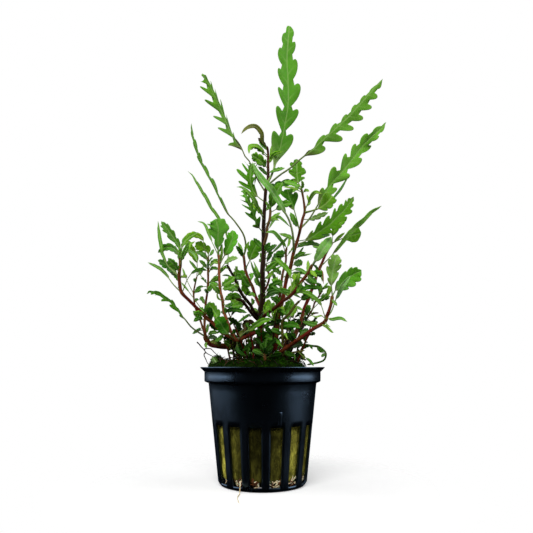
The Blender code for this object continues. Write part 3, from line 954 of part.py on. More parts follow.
def build():
    clear_scene()
    whole = bpy.data.objects.new("potted_hygrophila", None)
    bpy.context.scene.collection.objects.link(whole)
    add_object("pot", pot_mesh(), (0, 0, 0), finish("pot_plastic", (0.008, 0.010, 0.014), 0.35), whole)
    wool_look = finish("rock_wool", (0.13, 0.12, 0.03), 0.95)
    add_object("rock_wool", wool_mesh(), (0, 0, WALL + GAP), wool_look, whole)
    moss_middle = (MOSS_OFFSET, 0, WOOL_TOP + GAP)
    add_object("moss", moss_mesh(), moss_middle, finish("moss", (0.012, 0.035, 0.006), 0.95), whole)
    add_object("trailing_root", root_mesh(), ROOT_ROUTE[0], finish("root", (0.55, 0.48, 0.33), 0.7), whole)
    stems = stem_records()
    for name, *tuft in TUFTS:
        stems[name] = tuft_record(*tuft)
    for name, stem in stems.items():
        if stem["on"]:
            parent = stems[stem["on"]]
            line = start_where(stem["line"], clear_of_stem(parent, stem["foot"]))
        else:
            line = start_where(stem["line"], lambda p: p[:, 2] > moss_height(p[:, 0], p[:, 1]) + GAP + 0.3)
        bark = finish("stem_" + stem["bark"], BARKS[stem["bark"]], 0.45)
        add_object(name, stem_mesh(stem, line), line[0], bark, whole)
    for name, on, *rest in LEAVES:
        leaf = leaf_record(stems[on], *rest)
        bm, foot = leaf_mesh(leaf, stems[on])
        add_object(name, bm, foot, finish("leaf_" + leaf["tone"], TONES[leaf["tone"]], 0.5), whole)


build()
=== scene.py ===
"""Looks of a potted hygrophila pinnatifida: lobed leaves on plum and red stems, rooted in rock wool in a
slotted pot.

Shapes are worked out in millimetres, with the pot's axis on Z and the side seen first facing -Y, and go
into the meshes in metres.  Stems and leaves are laid out on a front elevation, (across, up, back), as an
eye at the height of the rim sees it, and place() opens it out in depth.
"""
import math
import random

import bpy
import numpy as np
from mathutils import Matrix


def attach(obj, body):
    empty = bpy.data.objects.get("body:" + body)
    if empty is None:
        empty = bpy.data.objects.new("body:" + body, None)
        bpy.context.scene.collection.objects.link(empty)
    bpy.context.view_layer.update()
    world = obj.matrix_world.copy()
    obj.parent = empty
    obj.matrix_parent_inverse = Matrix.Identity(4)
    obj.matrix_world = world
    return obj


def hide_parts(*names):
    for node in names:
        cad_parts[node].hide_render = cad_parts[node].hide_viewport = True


MM = 0.001

# The pot, in millimetres
BODY_DIAMETER_TOP = 48.5
BODY_DIAMETER_FOOT = 40.0
RIM_HEIGHT = 52.5
COLLAR_FOOT = 46.3
WALL = 0.95
SLOTS = 15
SLOT_SHARE = 0.6
SLOT_TOP = 27.5
SLOT_FOOT = 2.0
FIRST_RIB_TURN = 3.8
DRAIN_RADII = (6.0, 14.0)

# The pot's section: the turn at the foot, and the collar with its lip, each outside and inside, as
# (radius, height); the innermost radius; heights of the wall's rows over the slots, and of the last one
# outside and inside; rows in a drain and in a slot; columns in a slot and in the rib beside it
FOOT_OUTSIDE = [(16.5, 0.0), (18.1, 0.0), (18.8, 0.22), (19.35, 0.85)]
FOOT_INSIDE = [(15.5, WALL), (16.6, WALL), (17.6, 1.05), (18.3, 1.4)]
LIP_OUTSIDE = [(24.3, 45.45), (25.55, 45.9), (25.92, 46.15), (26.0, 46.5), (26.02, 48.4), (26.0, 50.2),
    (26.12, 50.5), (27.5, 51.85), (27.78, 52.1), (27.8, 52.35), (27.7, 52.5)]
LIP_INSIDE = [(23.4, 45.3), (24.5, 46.1), (24.9, 46.4), (25.05, 46.8), (25.05, 48.4), (25.05, 50.2),
    (25.05, 50.8), (25.05, 51.9), (25.1, 52.25), (25.25, 52.42), (25.5, 52.5)]
POT_MIDDLE = 1.5
WALL_ROWS = [30.0, 36.0, 42.0]
WALL_TOP_OUTSIDE, WALL_TOP_INSIDE = 45.1, 44.6
DRAIN_ROWS, SLOT_ROWS = 5, 9
SLOT_COLUMNS, RIB_COLUMNS = 6, 4

# The moulded strip: middle height, half height, turn and half turn in degrees, how far it stands proud
# and how deep its edge is sunk
STRIP_MIDDLE, STRIP_HALF_HEIGHT = 30.9, 3.1
STRIP_TURN, STRIP_HALF_TURN = 18.6, 2.1
STRIP_PROUD, STRIP_SUNK = 0.3, 0.08

# The rock wool: its top, the heights at which its section follows the wall and the gap to the wall,
# columns round it, how far it is pressed out in a slot, and the dent at the right, by turn in degrees,
# breadth and depth; loose fibres on its side, with their heights, lengths and radius
WOOL_TOP = 48.6
WOOL_HEIGHTS = np.array([5.0, 8.0, 12.0, 16.0, 20.0, 24.0, 27.5, 31.0, 35.0, 40.0, 43.0])
WOOL_GAP = 0.45
WOOL_COLUMNS = 360
WOOL_CUSHION = 0.95
DENT_TURN, DENT_BREADTH, DENT_DEPTH = -22.0, 20.0, 1.5
WOOL_FIBRES = 1500
FIBRE_HEIGHTS, FIBRE_LENGTHS, FIBRE_RADIUS = (3.0, 29.0), (1.5, 5.0), 0.045

# Painted light on the wool at places round the pot, by the turn from the front in degrees: a factor on
# its colour, darker in front and lighter towards the sides, as the side lamps light it
WOOL_TURNS = (-180, -110, -78, -54, -31, -7, 17, 41, 65, 110, 180)
WOOL_PAINTED_LIGHT = (1.2, 1.4, 1.9, 2.6, 0.5, 0.22, 0.62, 2.6, 2.0, 1.3, 1.2)

# The moss: radius, place of its middle across, height of its edge, of the crown over the edge, and how
# far it is sunken at the left; the lump there, across, back, height and spread; and small things on it
MOSS_RADIUS = 22.0
MOSS_OFFSET = -2.6
MOSS_EDGE = 51.6
MOSS_CROWN = 6.6
MOSS_SINK = 2.2
LUMP_ACROSS, LUMP_BACK, LUMP_HEIGHT, LUMP_SPREAD = -20.0, -2.0, 3.4, 2.3
MOSS_COLUMNS, MOSS_ROWS = 120, 44
MOSS_SHOOTS = 5200
STRAND_LENGTHS = (0.8, 2.3)
STRAND_PROFILE = [0.10, 0.13, 0.11, 0.07, 0.03]
LITTER = 240
LITTER_LENGTHS = (1.2, 5.0)
LITTER_COLOURS = [[0.022, 0.010, 0.003], [0.048, 0.022, 0.006], [0.008, 0.005, 0.002]]

# Root ends and husks in the slots: how many to a slot, lengths, the share that are husks, and radius
# and colour of each kind; then radius and colour of the root on the surface and of those in the air
ROOT_ENDS_PER_SLOT = 14
ROOT_END_LENGTHS = (2.5, 6.5)
HUSK_SHARE, HUSK_RADIUS, ROOT_END_RADIUS = 0.45, 0.42, 0.3
HUSK_COLOUR, ROOT_END_COLOUR = (0.10, 0.035, 0.008), (0.72, 0.64, 0.42)
ROOT_RADIUS, ROOT_COLOUR = 0.24, (0.85, 0.78, 0.55)
AIR_ROOT_RADIUS, AIR_ROOT_COLOUR = 0.3, (0.03, 0.02, 0.012)

# Colours of the wool and of its fibres, and of the moss and of its shoots, dark and light
WOOL_COLOUR, FIBRE_COLOUR = (0.16, 0.15, 0.022), (0.22, 0.205, 0.045)
MOSS_COLOURS = (0.003, 0.006, 0.001), (0.008, 0.020, 0.001)
STRAND_COLOURS = (0.006, 0.022, 0.001), (0.030, 0.110, 0.004)

# The eye's distance, and the frame of the view: its side, the scale, the column of the pot's axis and
# the row at the height of the rim
EYE_DISTANCE = 250.0
FRAME_PIXELS = 533
MM_PER_PIXEL = 0.45
AXIS_COLUMN = 262.5
EYE_ROW = 367.0

# The stage, in metres: light boxes by name, spot, size and power, the point they aim at, the light of
# the room, and the floor's rings
BOXES = [
    ("left_box", (-0.6, 0.1, 0.42), (1.1, 1.0), 3.7),
    ("right_box", (0.63, -0.06, 0.42), (0.8, 1.0), 3.3),
    ("front_box", (-0.12, -0.6, 0.54), (0.6, 0.4), 5.9),
]
BOX_AIM = (0.0, 0.0, 0.09)
ROOM_LIGHT = 0.05
FLOOR_RADII = (0.02, 0.04, 0.06, 0.09, 0.12)
FLOOR_COLUMNS = 96

# Steps between two points of a route, and points along a leaf's midrib
CURVE_STEPS = 12
FINE_STEPS = 160

# Each leaf form: share of the half width left between lobes near the foot and near the tip, forward
# sweep of the lobes in degrees, place of the widest part along the blade, bluntness of the two ends,
# and share of the pitch open between two lobes
FORMS = {
    "feather": (0.14, 0.62, 45, 0.3, 0.48, 0.2),
    "toothed": (0.42, 0.72, 40, 0.42, 0.52, 0.1),
    "oval": (0.6, 0.8, 32, 0.42, 0.52, 0.08),
    "strap": (0.86, 0.92, 30, 0.45, 0.5, 0.03),
}

# Blades: how much closer the lobes stand towards the tip, how much more pointed the tip is than the
# foot, half the thickness, the waving of the edge, the least half width, and the half width below which
# a blade thins out
LOBE_CROWDING = 1.2
TIP_POINT = 0.22
HALF_THICKNESS = 0.17
EDGE_WAVE = 0.25
LEAST_WIDTH = 0.1
NARROW = 0.6

# Rows and columns of a blade's skin, by the size of the leaf; a column is a share of the half width
ROWS_PER_LOBE = {"large": 13, "young": 7, "small": 4}
STALK_ROWS = {"large": 9, "young": 5, "small": 2}
HALF_COLUMNS = {"large": [1.0, 0.93, 0.76, 0.5, 0.24, 0.0, 0.0], "young": [1.0, 0.62, 0.0, 0.0],
    "small": [1.0, 0.0, 0.0]}

# Lobes a side: the fewest on a leaf with a piece of its own, and those of a leaf grown with its stem
FEWEST_LOBES = {"feather": 2, "toothed": 4, "oval": 4, "strap": 4}
YOUNG_LOBES = {"feather": 4, "toothed": 4, "oval": 4, "strap": 3}

# Colours, as linear red, green and blue: of blades, of stems, of their joints and of the youngest wood,
# of stalks and of worn tips, and how an underside differs from the face
TONES = {
    "bright": (0.14, 0.36, 0.010),
    "mid": (0.085, 0.29, 0.012),
    "dark": (0.030, 0.150, 0.004),
    # "deep" is painted shade: the green of leaves low in the plant, darkened for the shade they stand in
    "deep": (0.011, 0.052, 0.002),
    "pale": (0.14, 0.33, 0.055),
    "olive": (0.12, 0.14, 0.02),
    "brown": (0.05, 0.030, 0.008),
    "amber": (0.28, 0.11, 0.03),
}
BARKS = {
    "plum": (0.021, 0.006, 0.005),
    "red": (0.105, 0.009, 0.005),
    "brown": (0.105, 0.028, 0.009),
    "amber": (0.33, 0.095, 0.04),
    "tan": (0.20, 0.10, 0.04),
    "olive": (0.085, 0.075, 0.015),
    "green": (0.03, 0.10, 0.010),
}
NODE_GREEN = (0.13, 0.12, 0.025)
NEW_WOOD = (0.085, 0.020, 0.009)
STALKS = {
    "pale": (0.26, 0.38, 0.12),
    "green": (0.12, 0.24, 0.05),
    "olive": (0.10, 0.11, 0.03),
    "plum": (0.07, 0.030, 0.022),
    "red": (0.11, 0.035, 0.02),
}
WORN_TIP = (0.09, 0.02, 0.01)
UNDERSIDE = (1.35, 1.15, 2.2)

# Colour of the veins and roughness of the leaves of each tone, and roughness of the stems
VEINS = {
    "bright": ((0.34, 0.52, 0.12), 0.42),
    "mid": ((0.30, 0.48, 0.14), 0.42),
    "dark": ((0.16, 0.32, 0.06), 0.4),
    "deep": ((0.03, 0.09, 0.01), 0.45),
    "pale": ((0.36, 0.52, 0.22), 0.46),
    "olive": ((0.26, 0.30, 0.10), 0.46),
    "brown": ((0.16, 0.12, 0.05), 0.6),
    "amber": ((0.42, 0.28, 0.12), 0.5),
}
BARK_ROUGHNESS = 0.42

# Small leaves past the count of the solids: forms and tones, and the darker tones of leaves painted in
# shade; then for those on the stems the heights between which they grow, the spacing of the pairs, the share
# that is there and the least and greatest length, the stems that bear none, the height below which leaves
# are painted darker as shade, and the factor on the colour of the leaves of low shoots and tufts, as painted
# shade
SMALL_FORMS = ("toothed", "feather", "oval")
SMALL_TONES = ("mid", "dark", "dark", "mid", "bright")
SHADE_TONES = ("deep", "deep", "brown", "deep", "dark")
AXIL_HEIGHTS = (55.0, 106.0)
AXIL_SPACING, AXIL_SHARE, AXIL_LENGTHS = 5.2, 0.5, (3.5, 8.5)
BARE_STEMS = ("left_runner", "broken_stub", "right_tendril", "right_twig")
SHADE_HEIGHT = 72.0
SHADE_LIGHT = 0.6

# Short shoots about the foot of the plant: number, middle of their round and its breadth and depth for
# a radius of one, least radius and spread, heights, leans in degrees, radii at foot and tip, barks, and
# their leaves as above
LOW_SHOOTS = 24
SHOOT_MIDDLE, SHOOT_ROUND = (1.5, -1.0), (1.15, 0.8)
SHOOT_NEAR, SHOOT_SPREAD = 2.5, 12.0
SHOOT_HEIGHTS, SHOOT_LEANS = (9.0, 26.0), (4, 32)
SHOOT_FOOT, SHOOT_TIP = 0.46, 0.22
SHOOT_BARKS = ("plum", "plum", "red", "brown")
SHOOT_SPACING, SHOOT_SHARE, SHOOT_LENGTHS = 3.8, 0.52, (2.5, 6.0)

# Stems: name, stem it springs from, bark, radius at its foot and at its tip, and its route.
# The depth of a route is counted from the foot, and a foot on another stem lies on that stem.
STEMS = [
    ("main_stem", "", "plum", 1.35, 0.45, [(-2, 59, 0), (-1, 69, 0), (-1, 77, 0), (0, 82.5, 0),
        (0, 89.5, 0), (0, 96, 0), (0.5, 103, 2), (0.5, 109.5, 2), (0.5, 116.5, 3.5), (1, 125.5, 3.5),
        (1.5, 132, 3.5), (2.5, 137.5, 5.5), (2.5, 143.5, 5.5), (2.5, 149, 5.5), (2, 152, 3.5)]),
    ("side_shoot", "main_stem", "tan", 0.7, 0.5, [(1, 107, 0), (2, 112, -3.5), (2, 115, -4.5),
        (3, 118, -5.5), (3.5, 121.5, -5.5), (3.5, 124, -5.5)]),
    ("right_stem", "", "red", 1.0, 0.4, [(5.5, 60, -7), (6.5, 69, -9), (7.5, 77, -11), (9, 82.5, -12.5),
        (11, 93, -14.5), (12.5, 97, -16), (14, 104, -18), (16, 110.5, -18), (17, 114.5, -20),
        (18, 119, -20), (19, 122.5, -20), (18.5, 127.5, -20), (17.5, 133, -20)]),
    ("thin_right_stem", "right_stem", "brown", 0.65, 0.45, [(7, 71.5, 0), (7, 77, 5.5), (8, 86, 9),
        (9, 94, 11), (10.5, 100, 12.5), (10.5, 104, 12.5), (11, 106.5, 12.5)]),
    ("far_right_stem", "", "red", 1.0, 0.58, [(12, 59.5, 7), (14.5, 66.5, 9), (17.5, 73.5, 12.5),
        (18.5, 78, 14.5), (21, 84, 16), (23, 89.5, 18), (24.5, 94, 20), (26, 97.5, 21.5),
        (27.5, 101, 23.5), (29, 104.5, 25), (31.5, 108.5, 25)]),
    ("low_right_branch", "", "red", 0.88, 0.62, [(7, 58.5, -9), (13.5, 63, -14.5), (18.5, 66.5, -20),
        (23.5, 70, -23.5), (27, 72, -25), (28.5, 73.5, -27), (29, 75.5, -27), (30, 78, -29),
        (31, 81.5, -29), (31.5, 85, -29)]),
    ("low_left_branch", "main_stem", "red", 0.9, 0.6, [(-1.5, 69, 0), (-5.5, 67, -7), (-9, 65.5, -11),
        (-11.5, 64.5, -12.5), (-14, 66, -12.5), (-17, 67.5, -12.5), (-22, 72, -12.5), (-25, 74.5, -13.5),
        (-28, 77.5, -14.5), (-32.5, 82, -16), (-36, 85.5, -18), (-37, 88, -18), (-37.5, 94, -18),
        (-37, 98.5, -18), (-37, 102.5, -18)]),
    ("amber_stem", "low_left_branch", "amber", 0.66, 0.48, [(-12, 64.5, 0), (-14, 68, -2.5),
        (-16, 73.5, -5.5), (-17.5, 78, -5.5), (-18, 82.5, -7), (-19, 87, -7), (-19.5, 94, -9),
        (-19.5, 100, -9), (-20, 104, -9)]),
    ("left_runner", "main_stem", "red", 1.5, 1.0, [(-2, 60.5, 0), (-7, 60.5, 5.5), (-13.5, 61.5, 7),
        (-19.5, 62, 7), (-23, 62.5, 9), (-25, 64.5, 9), (-26, 67, 9)]),
    ("left_stem", "left_runner", "brown", 0.6, 0.45, [(-25, 64.5, 0), (-26, 69, -2.5), (-26, 74.5, 0),
        (-25.5, 81.5, 2), (-25, 85, 2), (-24.5, 90, 3.5), (-24.5, 96, 4.5), (-24.5, 102.5, 4.5)]),
    ("left_inner_stem", "left_runner", "brown", 0.5, 0.38, [(-26, 66.5, 0), (-27, 70.5, 2.5),
        (-28, 73.5, 4.5), (-29.5, 77, 5.5), (-30.5, 80.5, 7), (-31, 85.5, 9), (-30.5, 89, 9),
        (-29.5, 93.5, 9)]),
    ("inner_left_stem", "main_stem", "red", 0.8, 0.55, [(-0.5, 79, 0), (-3, 84, 7), (-4.5, 88.5, 10),
        (-6, 91.5, 11), (-7.5, 95.5, 12.5), (-8, 98.5, 12.5), (-8.5, 103, 14.5)]),
    ("dark_left_stem", "main_stem", "plum", 0.8, 0.5, [(-1, 74.5, 0), (-4, 77.5, -5.5), (-5.5, 80.5, -7),
        (-8, 83.5, -10), (-10, 86.5, -11.5), (-12, 91, -13.5), (-13.5, 94, -14.5), (-16, 98.5, -16)]),
    ("broken_stub", "main_stem", "plum", 0.65, 0.65, [(-1, 72.5, 0), (-3.5, 75, -8), (-5.5, 77.5, -11.5),
        (-8, 81, -14.5), (-9.5, 82.5, -15.5), (-12, 83, -15.5)]),
    ("crossing_stem", "main_stem", "red", 0.85, 0.55, [(-1, 74, 0), (1.5, 76, -9), (5.5, 79, -18),
        (9, 82, -22.5), (12.5, 84.5, -25), (15.5, 88, -27), (18, 91.5, -28), (20, 94, -29),
        (21.5, 96.5, -29.5), (22.5, 99, -30.5)]),
    ("centre_shoot", "main_stem", "red", 0.55, 0.4, [(0, 85.5, 0), (2, 89, 5.5), (3, 92.5, 7),
        (2.5, 95.5, 9), (1.5, 99, 9)]),
    ("olive_branch", "low_right_branch", "olive", 0.6, 0.45, [(9.5, 60, 0), (9, 67, -2.5), (9, 73, -4.5),
        (12.5, 77, -9), (15, 80.5, -11), (17, 82.5, -11.5)]),
    ("right_tendril", "", "green", 0.48, 0.4, [(12, 57.5, 2), (12.5, 60.5, 0), (15, 62.5, -2),
        (19, 62.5, -3.5), (22.5, 62, -4.5), (25.5, 61.5, -5.5), (28, 59.5, -6.5), (28.5, 57.5, -7),
        (27.5, 55.5, -7), (25, 54.5, -7), (22.5, 54, -7), (20, 53.5, -7)]),
    ("right_twig", "", "olive", 0.36, 0.36, [(9, 57, -9), (10, 58.5, -11), (13.5, 59, -12.5),
        (16.5, 59.5, -14.5), (19, 60, -15.5)]),
    ("slender_right_stem", "far_right_stem", "brown", 0.5, 0.4, [(15, 67.5, 0), (18, 70, 3.5),
        (19.5, 73.5, 5.5), (22.5, 78.5, 5.5), (23.5, 81.5, 5.5), (25.5, 84.5, 7), (26.5, 86.5, 7)]),
]

# Leaves with a piece of their own: name, stem, form, lobes a side, half width, share of the length
# that is stalk, turn about the midrib, fold of the two halves, tone, and the line of the midrib
LEAVES = [
    ("top_leaf", "main_stem", "feather", 6, 5.9, 0.08, 8, 12, "mid", [(2.5, 135, 0), (4.5, 139.5, 0),
        (7.5, 149, -2), (9, 155.5, -2), (10.5, 163.5, -3.5), (11.5, 171, -5.5), (11.5, 180, -5.5),
        (11, 190.5, -5.5), (11.5, 199, -3.5), (12, 205.5, -2)]),
    ("upper_right_leaf", "main_stem", "feather", 7, 6.1, 0.3, 36, 34, "mid", [(2, 134, 0), (8, 139, -5.5),
        (12.5, 142, -7), (17, 146, -9), (21.5, 149.5, -11), (26.5, 154, -12.5), (32.5, 159.5, -16),
        (38.5, 165, -18), (44, 171, -20), (49, 176.5, -21.5), (54, 182, -23.5)]),
    ("right_feather_leaf", "right_stem", "feather", 6, 4.7, 0.22, 14, 16, "mid", [(17, 115, 0),
        (21, 119, 0), (23.5, 123, -2), (27, 129, -2), (31, 135, -2), (35, 139.5, -3.5), (38, 143, -3.5),
        (41.5, 147.5, -3.5), (45, 152, -3.5), (49.5, 156.5, -5.5), (53, 159.5, -5.5),
        (55.5, 162.5, -5.5)]),
    ("front_long_leaf", "right_stem", "strap", 1, 1.8, 0.42, 10, 20, "pale", [(14, 104, 0),
        (14, 107.5, -3.5), (13.5, 113, -7), (12, 118.5, -9), (9.5, 123, -11), (6, 129, -11),
        (3.5, 132.5, -12.5), (0, 136.5, -12.5), (-3, 141, -12.5), (-4.5, 144.5, -12.5)]),
    ("upper_left_leaf", "main_stem", "feather", 6, 5.9, 0.3, -52, 18, "mid", [(1.5, 131, 0),
        (-2, 136.5, 3.5), (-4, 140.5, 5.5), (-5.5, 144.5, 5.5), (-8, 147.5, 5.5), (-9.5, 151, 5.5),
        (-12, 154, 7), (-15, 160, 9), (-17.5, 166, 11), (-20.5, 172.5, 11), (-23.5, 179, 11),
        (-27, 184.5, 11)]),
    ("thin_left_leaf", "inner_left_stem", "toothed", 6, 2.7, 0.3, 64, 14, "mid", [(-8, 102.5, 0),
        (-7.5, 106.5, 0), (-8.5, 112, -2), (-12.5, 118, -3.5), (-16.5, 123, -3.5), (-22.5, 135, -5.5),
        (-28, 145, -5.5), (-31, 154, -7), (-32, 159, -7), (-32, 162, -7)]),
    ("lower_thin_left_leaf", "dark_left_stem", "toothed", 5, 1.6, 0.3, 50, 14, "mid", [(-15.5, 98, 0),
        (-15.5, 105, 5.5), (-16.5, 113, 9), (-19, 118, 11), (-22.5, 123, 12.5), (-26.5, 130, 12.5),
        (-29.5, 135, 12.5), (-31.5, 138.5, 12.5), (-33.5, 140.5, 12.5)]),
    ("narrow_right_leaf", "far_right_stem", "strap", 1, 2.0, 0.2, 55, 14, "mid", [(26, 97.5, 0),
        (30.5, 102, 0), (32.5, 104.5, 0), (37, 110.5, -2), (41.5, 115.5, -2), (45, 118.5, -3.5),
        (48.5, 122, -3.5), (53.5, 125, -3.5)]),
    ("toothed_right_leaf", "right_stem", "toothed", 5, 4.3, 0.16, 18, 16, "mid", [(15, 107.5, 0),
        (19, 109, 2), (21.5, 110.5, 3.5), (27, 114.5, 3.5), (30.5, 117, 3.5), (34, 120.5, 3.5),
        (37, 123.5, 3.5), (39.5, 127, 3.5), (41, 129, 3.5)]),
    ("lower_left_toothed_leaf", "left_runner", "toothed", 5, 2.5, 0.36, -35, 16, "dark", [(-26, 66, 0),
        (-31.5, 70, -3.5), (-34.5, 73.5, -5.5), (-36.5, 76, -5.5), (-40.5, 81.5, -5.5),
        (-43.5, 83.5, -5.5), (-46, 85.5, -5.5), (-50.5, 86.5, -5.5), (-52, 85.5, -5.5)]),
    ("round_right_leaf", "right_stem", "oval", 2, 3.8, 0.3, -8, 12, "bright", [(19, 122, 0),
        (22.5, 123, -5.5), (26.5, 124.5, -7), (29.5, 127, -9), (31.5, 129.5, -9)]),
    ("far_right_round_leaf", "far_right_stem", "oval", 2, 3.6, 0.12, 14, 12, "mid", [(31.5, 108, 0),
        (34, 109.5, 2), (37.5, 111, 3.5), (41, 112, 5.5), (44.5, 113, 5.5)]),
    ("right_front_leaf", "crossing_stem", "toothed", 3, 4.3, 0.12, -10, 16, "pale", [(22.5, 98.5, 0),
        (25, 102, -2), (27, 105, -3.5), (29.5, 108.5, -3.5), (31, 111, -5.5)]),
    ("right_lobed_leaf", "low_right_branch", "toothed", 3, 3.6, 0.25, 8, 10, "pale", [(31.5, 84.5, 0),
        (31, 90, -2), (31.5, 95, -2), (32.5, 100, -3.5), (34, 103, -3.5)]),
    ("right_broad_leaf", "low_right_branch", "oval", 2, 3.8, 0.2, 24, 18, "mid", [(31.5, 84.5, 0),
        (33.5, 88, 3.5), (36.5, 91, 5.5), (40.5, 94, 7), (44.5, 96, 7)]),
    ("folded_right_leaf", "low_right_branch", "strap", 1, 1.6, 0.45, 30, 30, "pale", [(29, 74.5, 0),
        (31, 77.5, 2), (32.5, 81.5, 2), (34, 85.5, 0), (36, 89.5, -2), (39.5, 93.5, -2)]),
    ("left_round_leaf", "amber_stem", "oval", 2, 5.0, 0.12, 6, 10, "mid", [(-20, 103, 0), (-20, 106.5, -2),
        (-20, 111.5, -3.5), (-20, 115, -5.5), (-21, 119, -5.5)]),
    ("left_oval_leaf", "amber_stem", "oval", 2, 3.4, 0.32, -18, 14, "mid", [(-19.5, 98, 0),
        (-17.5, 102, 2), (-15, 106.5, 0), (-13.5, 110.5, 0), (-13.5, 114, 0)]),
    ("centre_round_leaf", "inner_left_stem", "oval", 2, 3.6, 0.35, 16, 10, "mid", [(-7.5, 96.5, 0),
        (-6, 100, -3.5), (-4.5, 104, -3.5), (-3, 107, -3.5), (-1.5, 109.5, -3.5)]),
    ("upright_left_leaf", "low_left_branch", "strap", 1, 1.4, 0.3, 20, 20, "mid", [(-37.5, 93, 0),
        (-39.5, 95, 0), (-42.5, 98, 2), (-45, 103, 3.5), (-45.5, 106, 3.5), (-46.5, 112, 5.5),
        (-47, 118, 5.5)]),
    ("left_tip_leaf", "low_left_branch", "toothed", 3, 2.9, 0.15, 24, 16, "mid", [(-37, 102, 0),
        (-37, 105.5, 0), (-40, 110.5, -2), (-42.5, 114, -3.5), (-45.5, 118, -5.5)]),
    ("level_left_leaf", "low_left_branch", "oval", 2, 2.0, 0.2, -28, 20, "mid", [(-37, 101, 0),
        (-39.5, 105.5, 5.5), (-43.5, 106.5, 9), (-47, 104, 11)]),
    ("left_narrow_leaf", "low_left_branch", "strap", 1, 1.6, 0.25, 30, 18, "mid", [(-36, 86, 0),
        (-40, 89.5, 0), (-43, 93.5, 2), (-46, 96.5, 2), (-51.5, 99.5, 3.5)]),
    ("dark_left_leaf", "low_left_branch", "toothed", 3, 2.2, 0.2, -20, 14, "dark", [(-37.5, 93, 0),
        (-40.5, 96.5, 6.5), (-44, 99, 9), (-47, 100.5, 11)]),
    ("bright_left_leaf", "left_stem", "oval", 2, 2.9, 0.18, -30, 14, "bright", [(-24.5, 101.5, 0),
        (-24.5, 104.5, 0), (-27, 106.5, -2), (-30, 108.5, -3.5)]),
    ("low_front_leaf", "low_left_branch", "oval", 2, 3.4, 0.42, 12, 14, "dark", [(-12.5, 64.5, 0),
        (-15, 67, -5.5), (-17.5, 70, -7), (-19, 72.5, -9), (-21, 74.5, -9)]),
    ("low_left_leaf", "low_left_branch", "oval", 2, 2.9, 0.25, -20, 14, "mid", [(-21.5, 72, 0),
        (-20.5, 75, 3.5), (-22, 78, 5.5), (-24.5, 81.5, 5.5)]),
    ("pale_strap_leaf", "low_left_branch", "strap", 1, 1.5, 0.45, 14, 20, "mid", [(-11, 64.5, 0),
        (-8, 68, -7), (-5.5, 69.5, -9), (-3, 71.5, -11), (0.5, 73.5, -12.5), (4.5, 74, -12.5)]),
    ("lobed_centre_leaf", "main_stem", "feather", 5, 5.6, 0.25, -12, 14, "mid", [(1, 127, 0),
        (-2.5, 129.5, 2.5), (-4.5, 132.5, 2), (-5.5, 137.5, 0), (-5, 144, 0)]),
    ("feathery_centre_leaf", "main_stem", "feather", 5, 4.0, 0.2, -24, 18, "mid", [(0.5, 113, 0),
        (-2, 116, -5.5), (-4, 121.5, -9), (-5.5, 125.5, -11), (-7, 128.5, -12.5), (-9, 132, -12.5)]),
    ("dark_lobed_leaf", "right_stem", "feather", 3, 4.3, 0.3, 8, 12, "mid", [(17.5, 132.5, 0),
        (16, 136, 11), (15.5, 140, 20), (15.5, 146, 25)]),
    ("dark_three_lobed_leaf", "right_stem", "feather", 2, 4.3, 0.55, 6, 12, "dark", [(17, 113.5, 0),
        (15, 120.5, 7), (13.5, 125.5, 11), (12, 129, 12.5), (11, 132.5, 14.5)]),
    ("inner_right_leaf", "side_shoot", "oval", 2, 2.7, 0.15, -14, 14, "mid", [(3.5, 123, 0),
        (4.5, 127.5, -5.5), (6.5, 131.5, -9), (9, 135.5, -11)]),
]
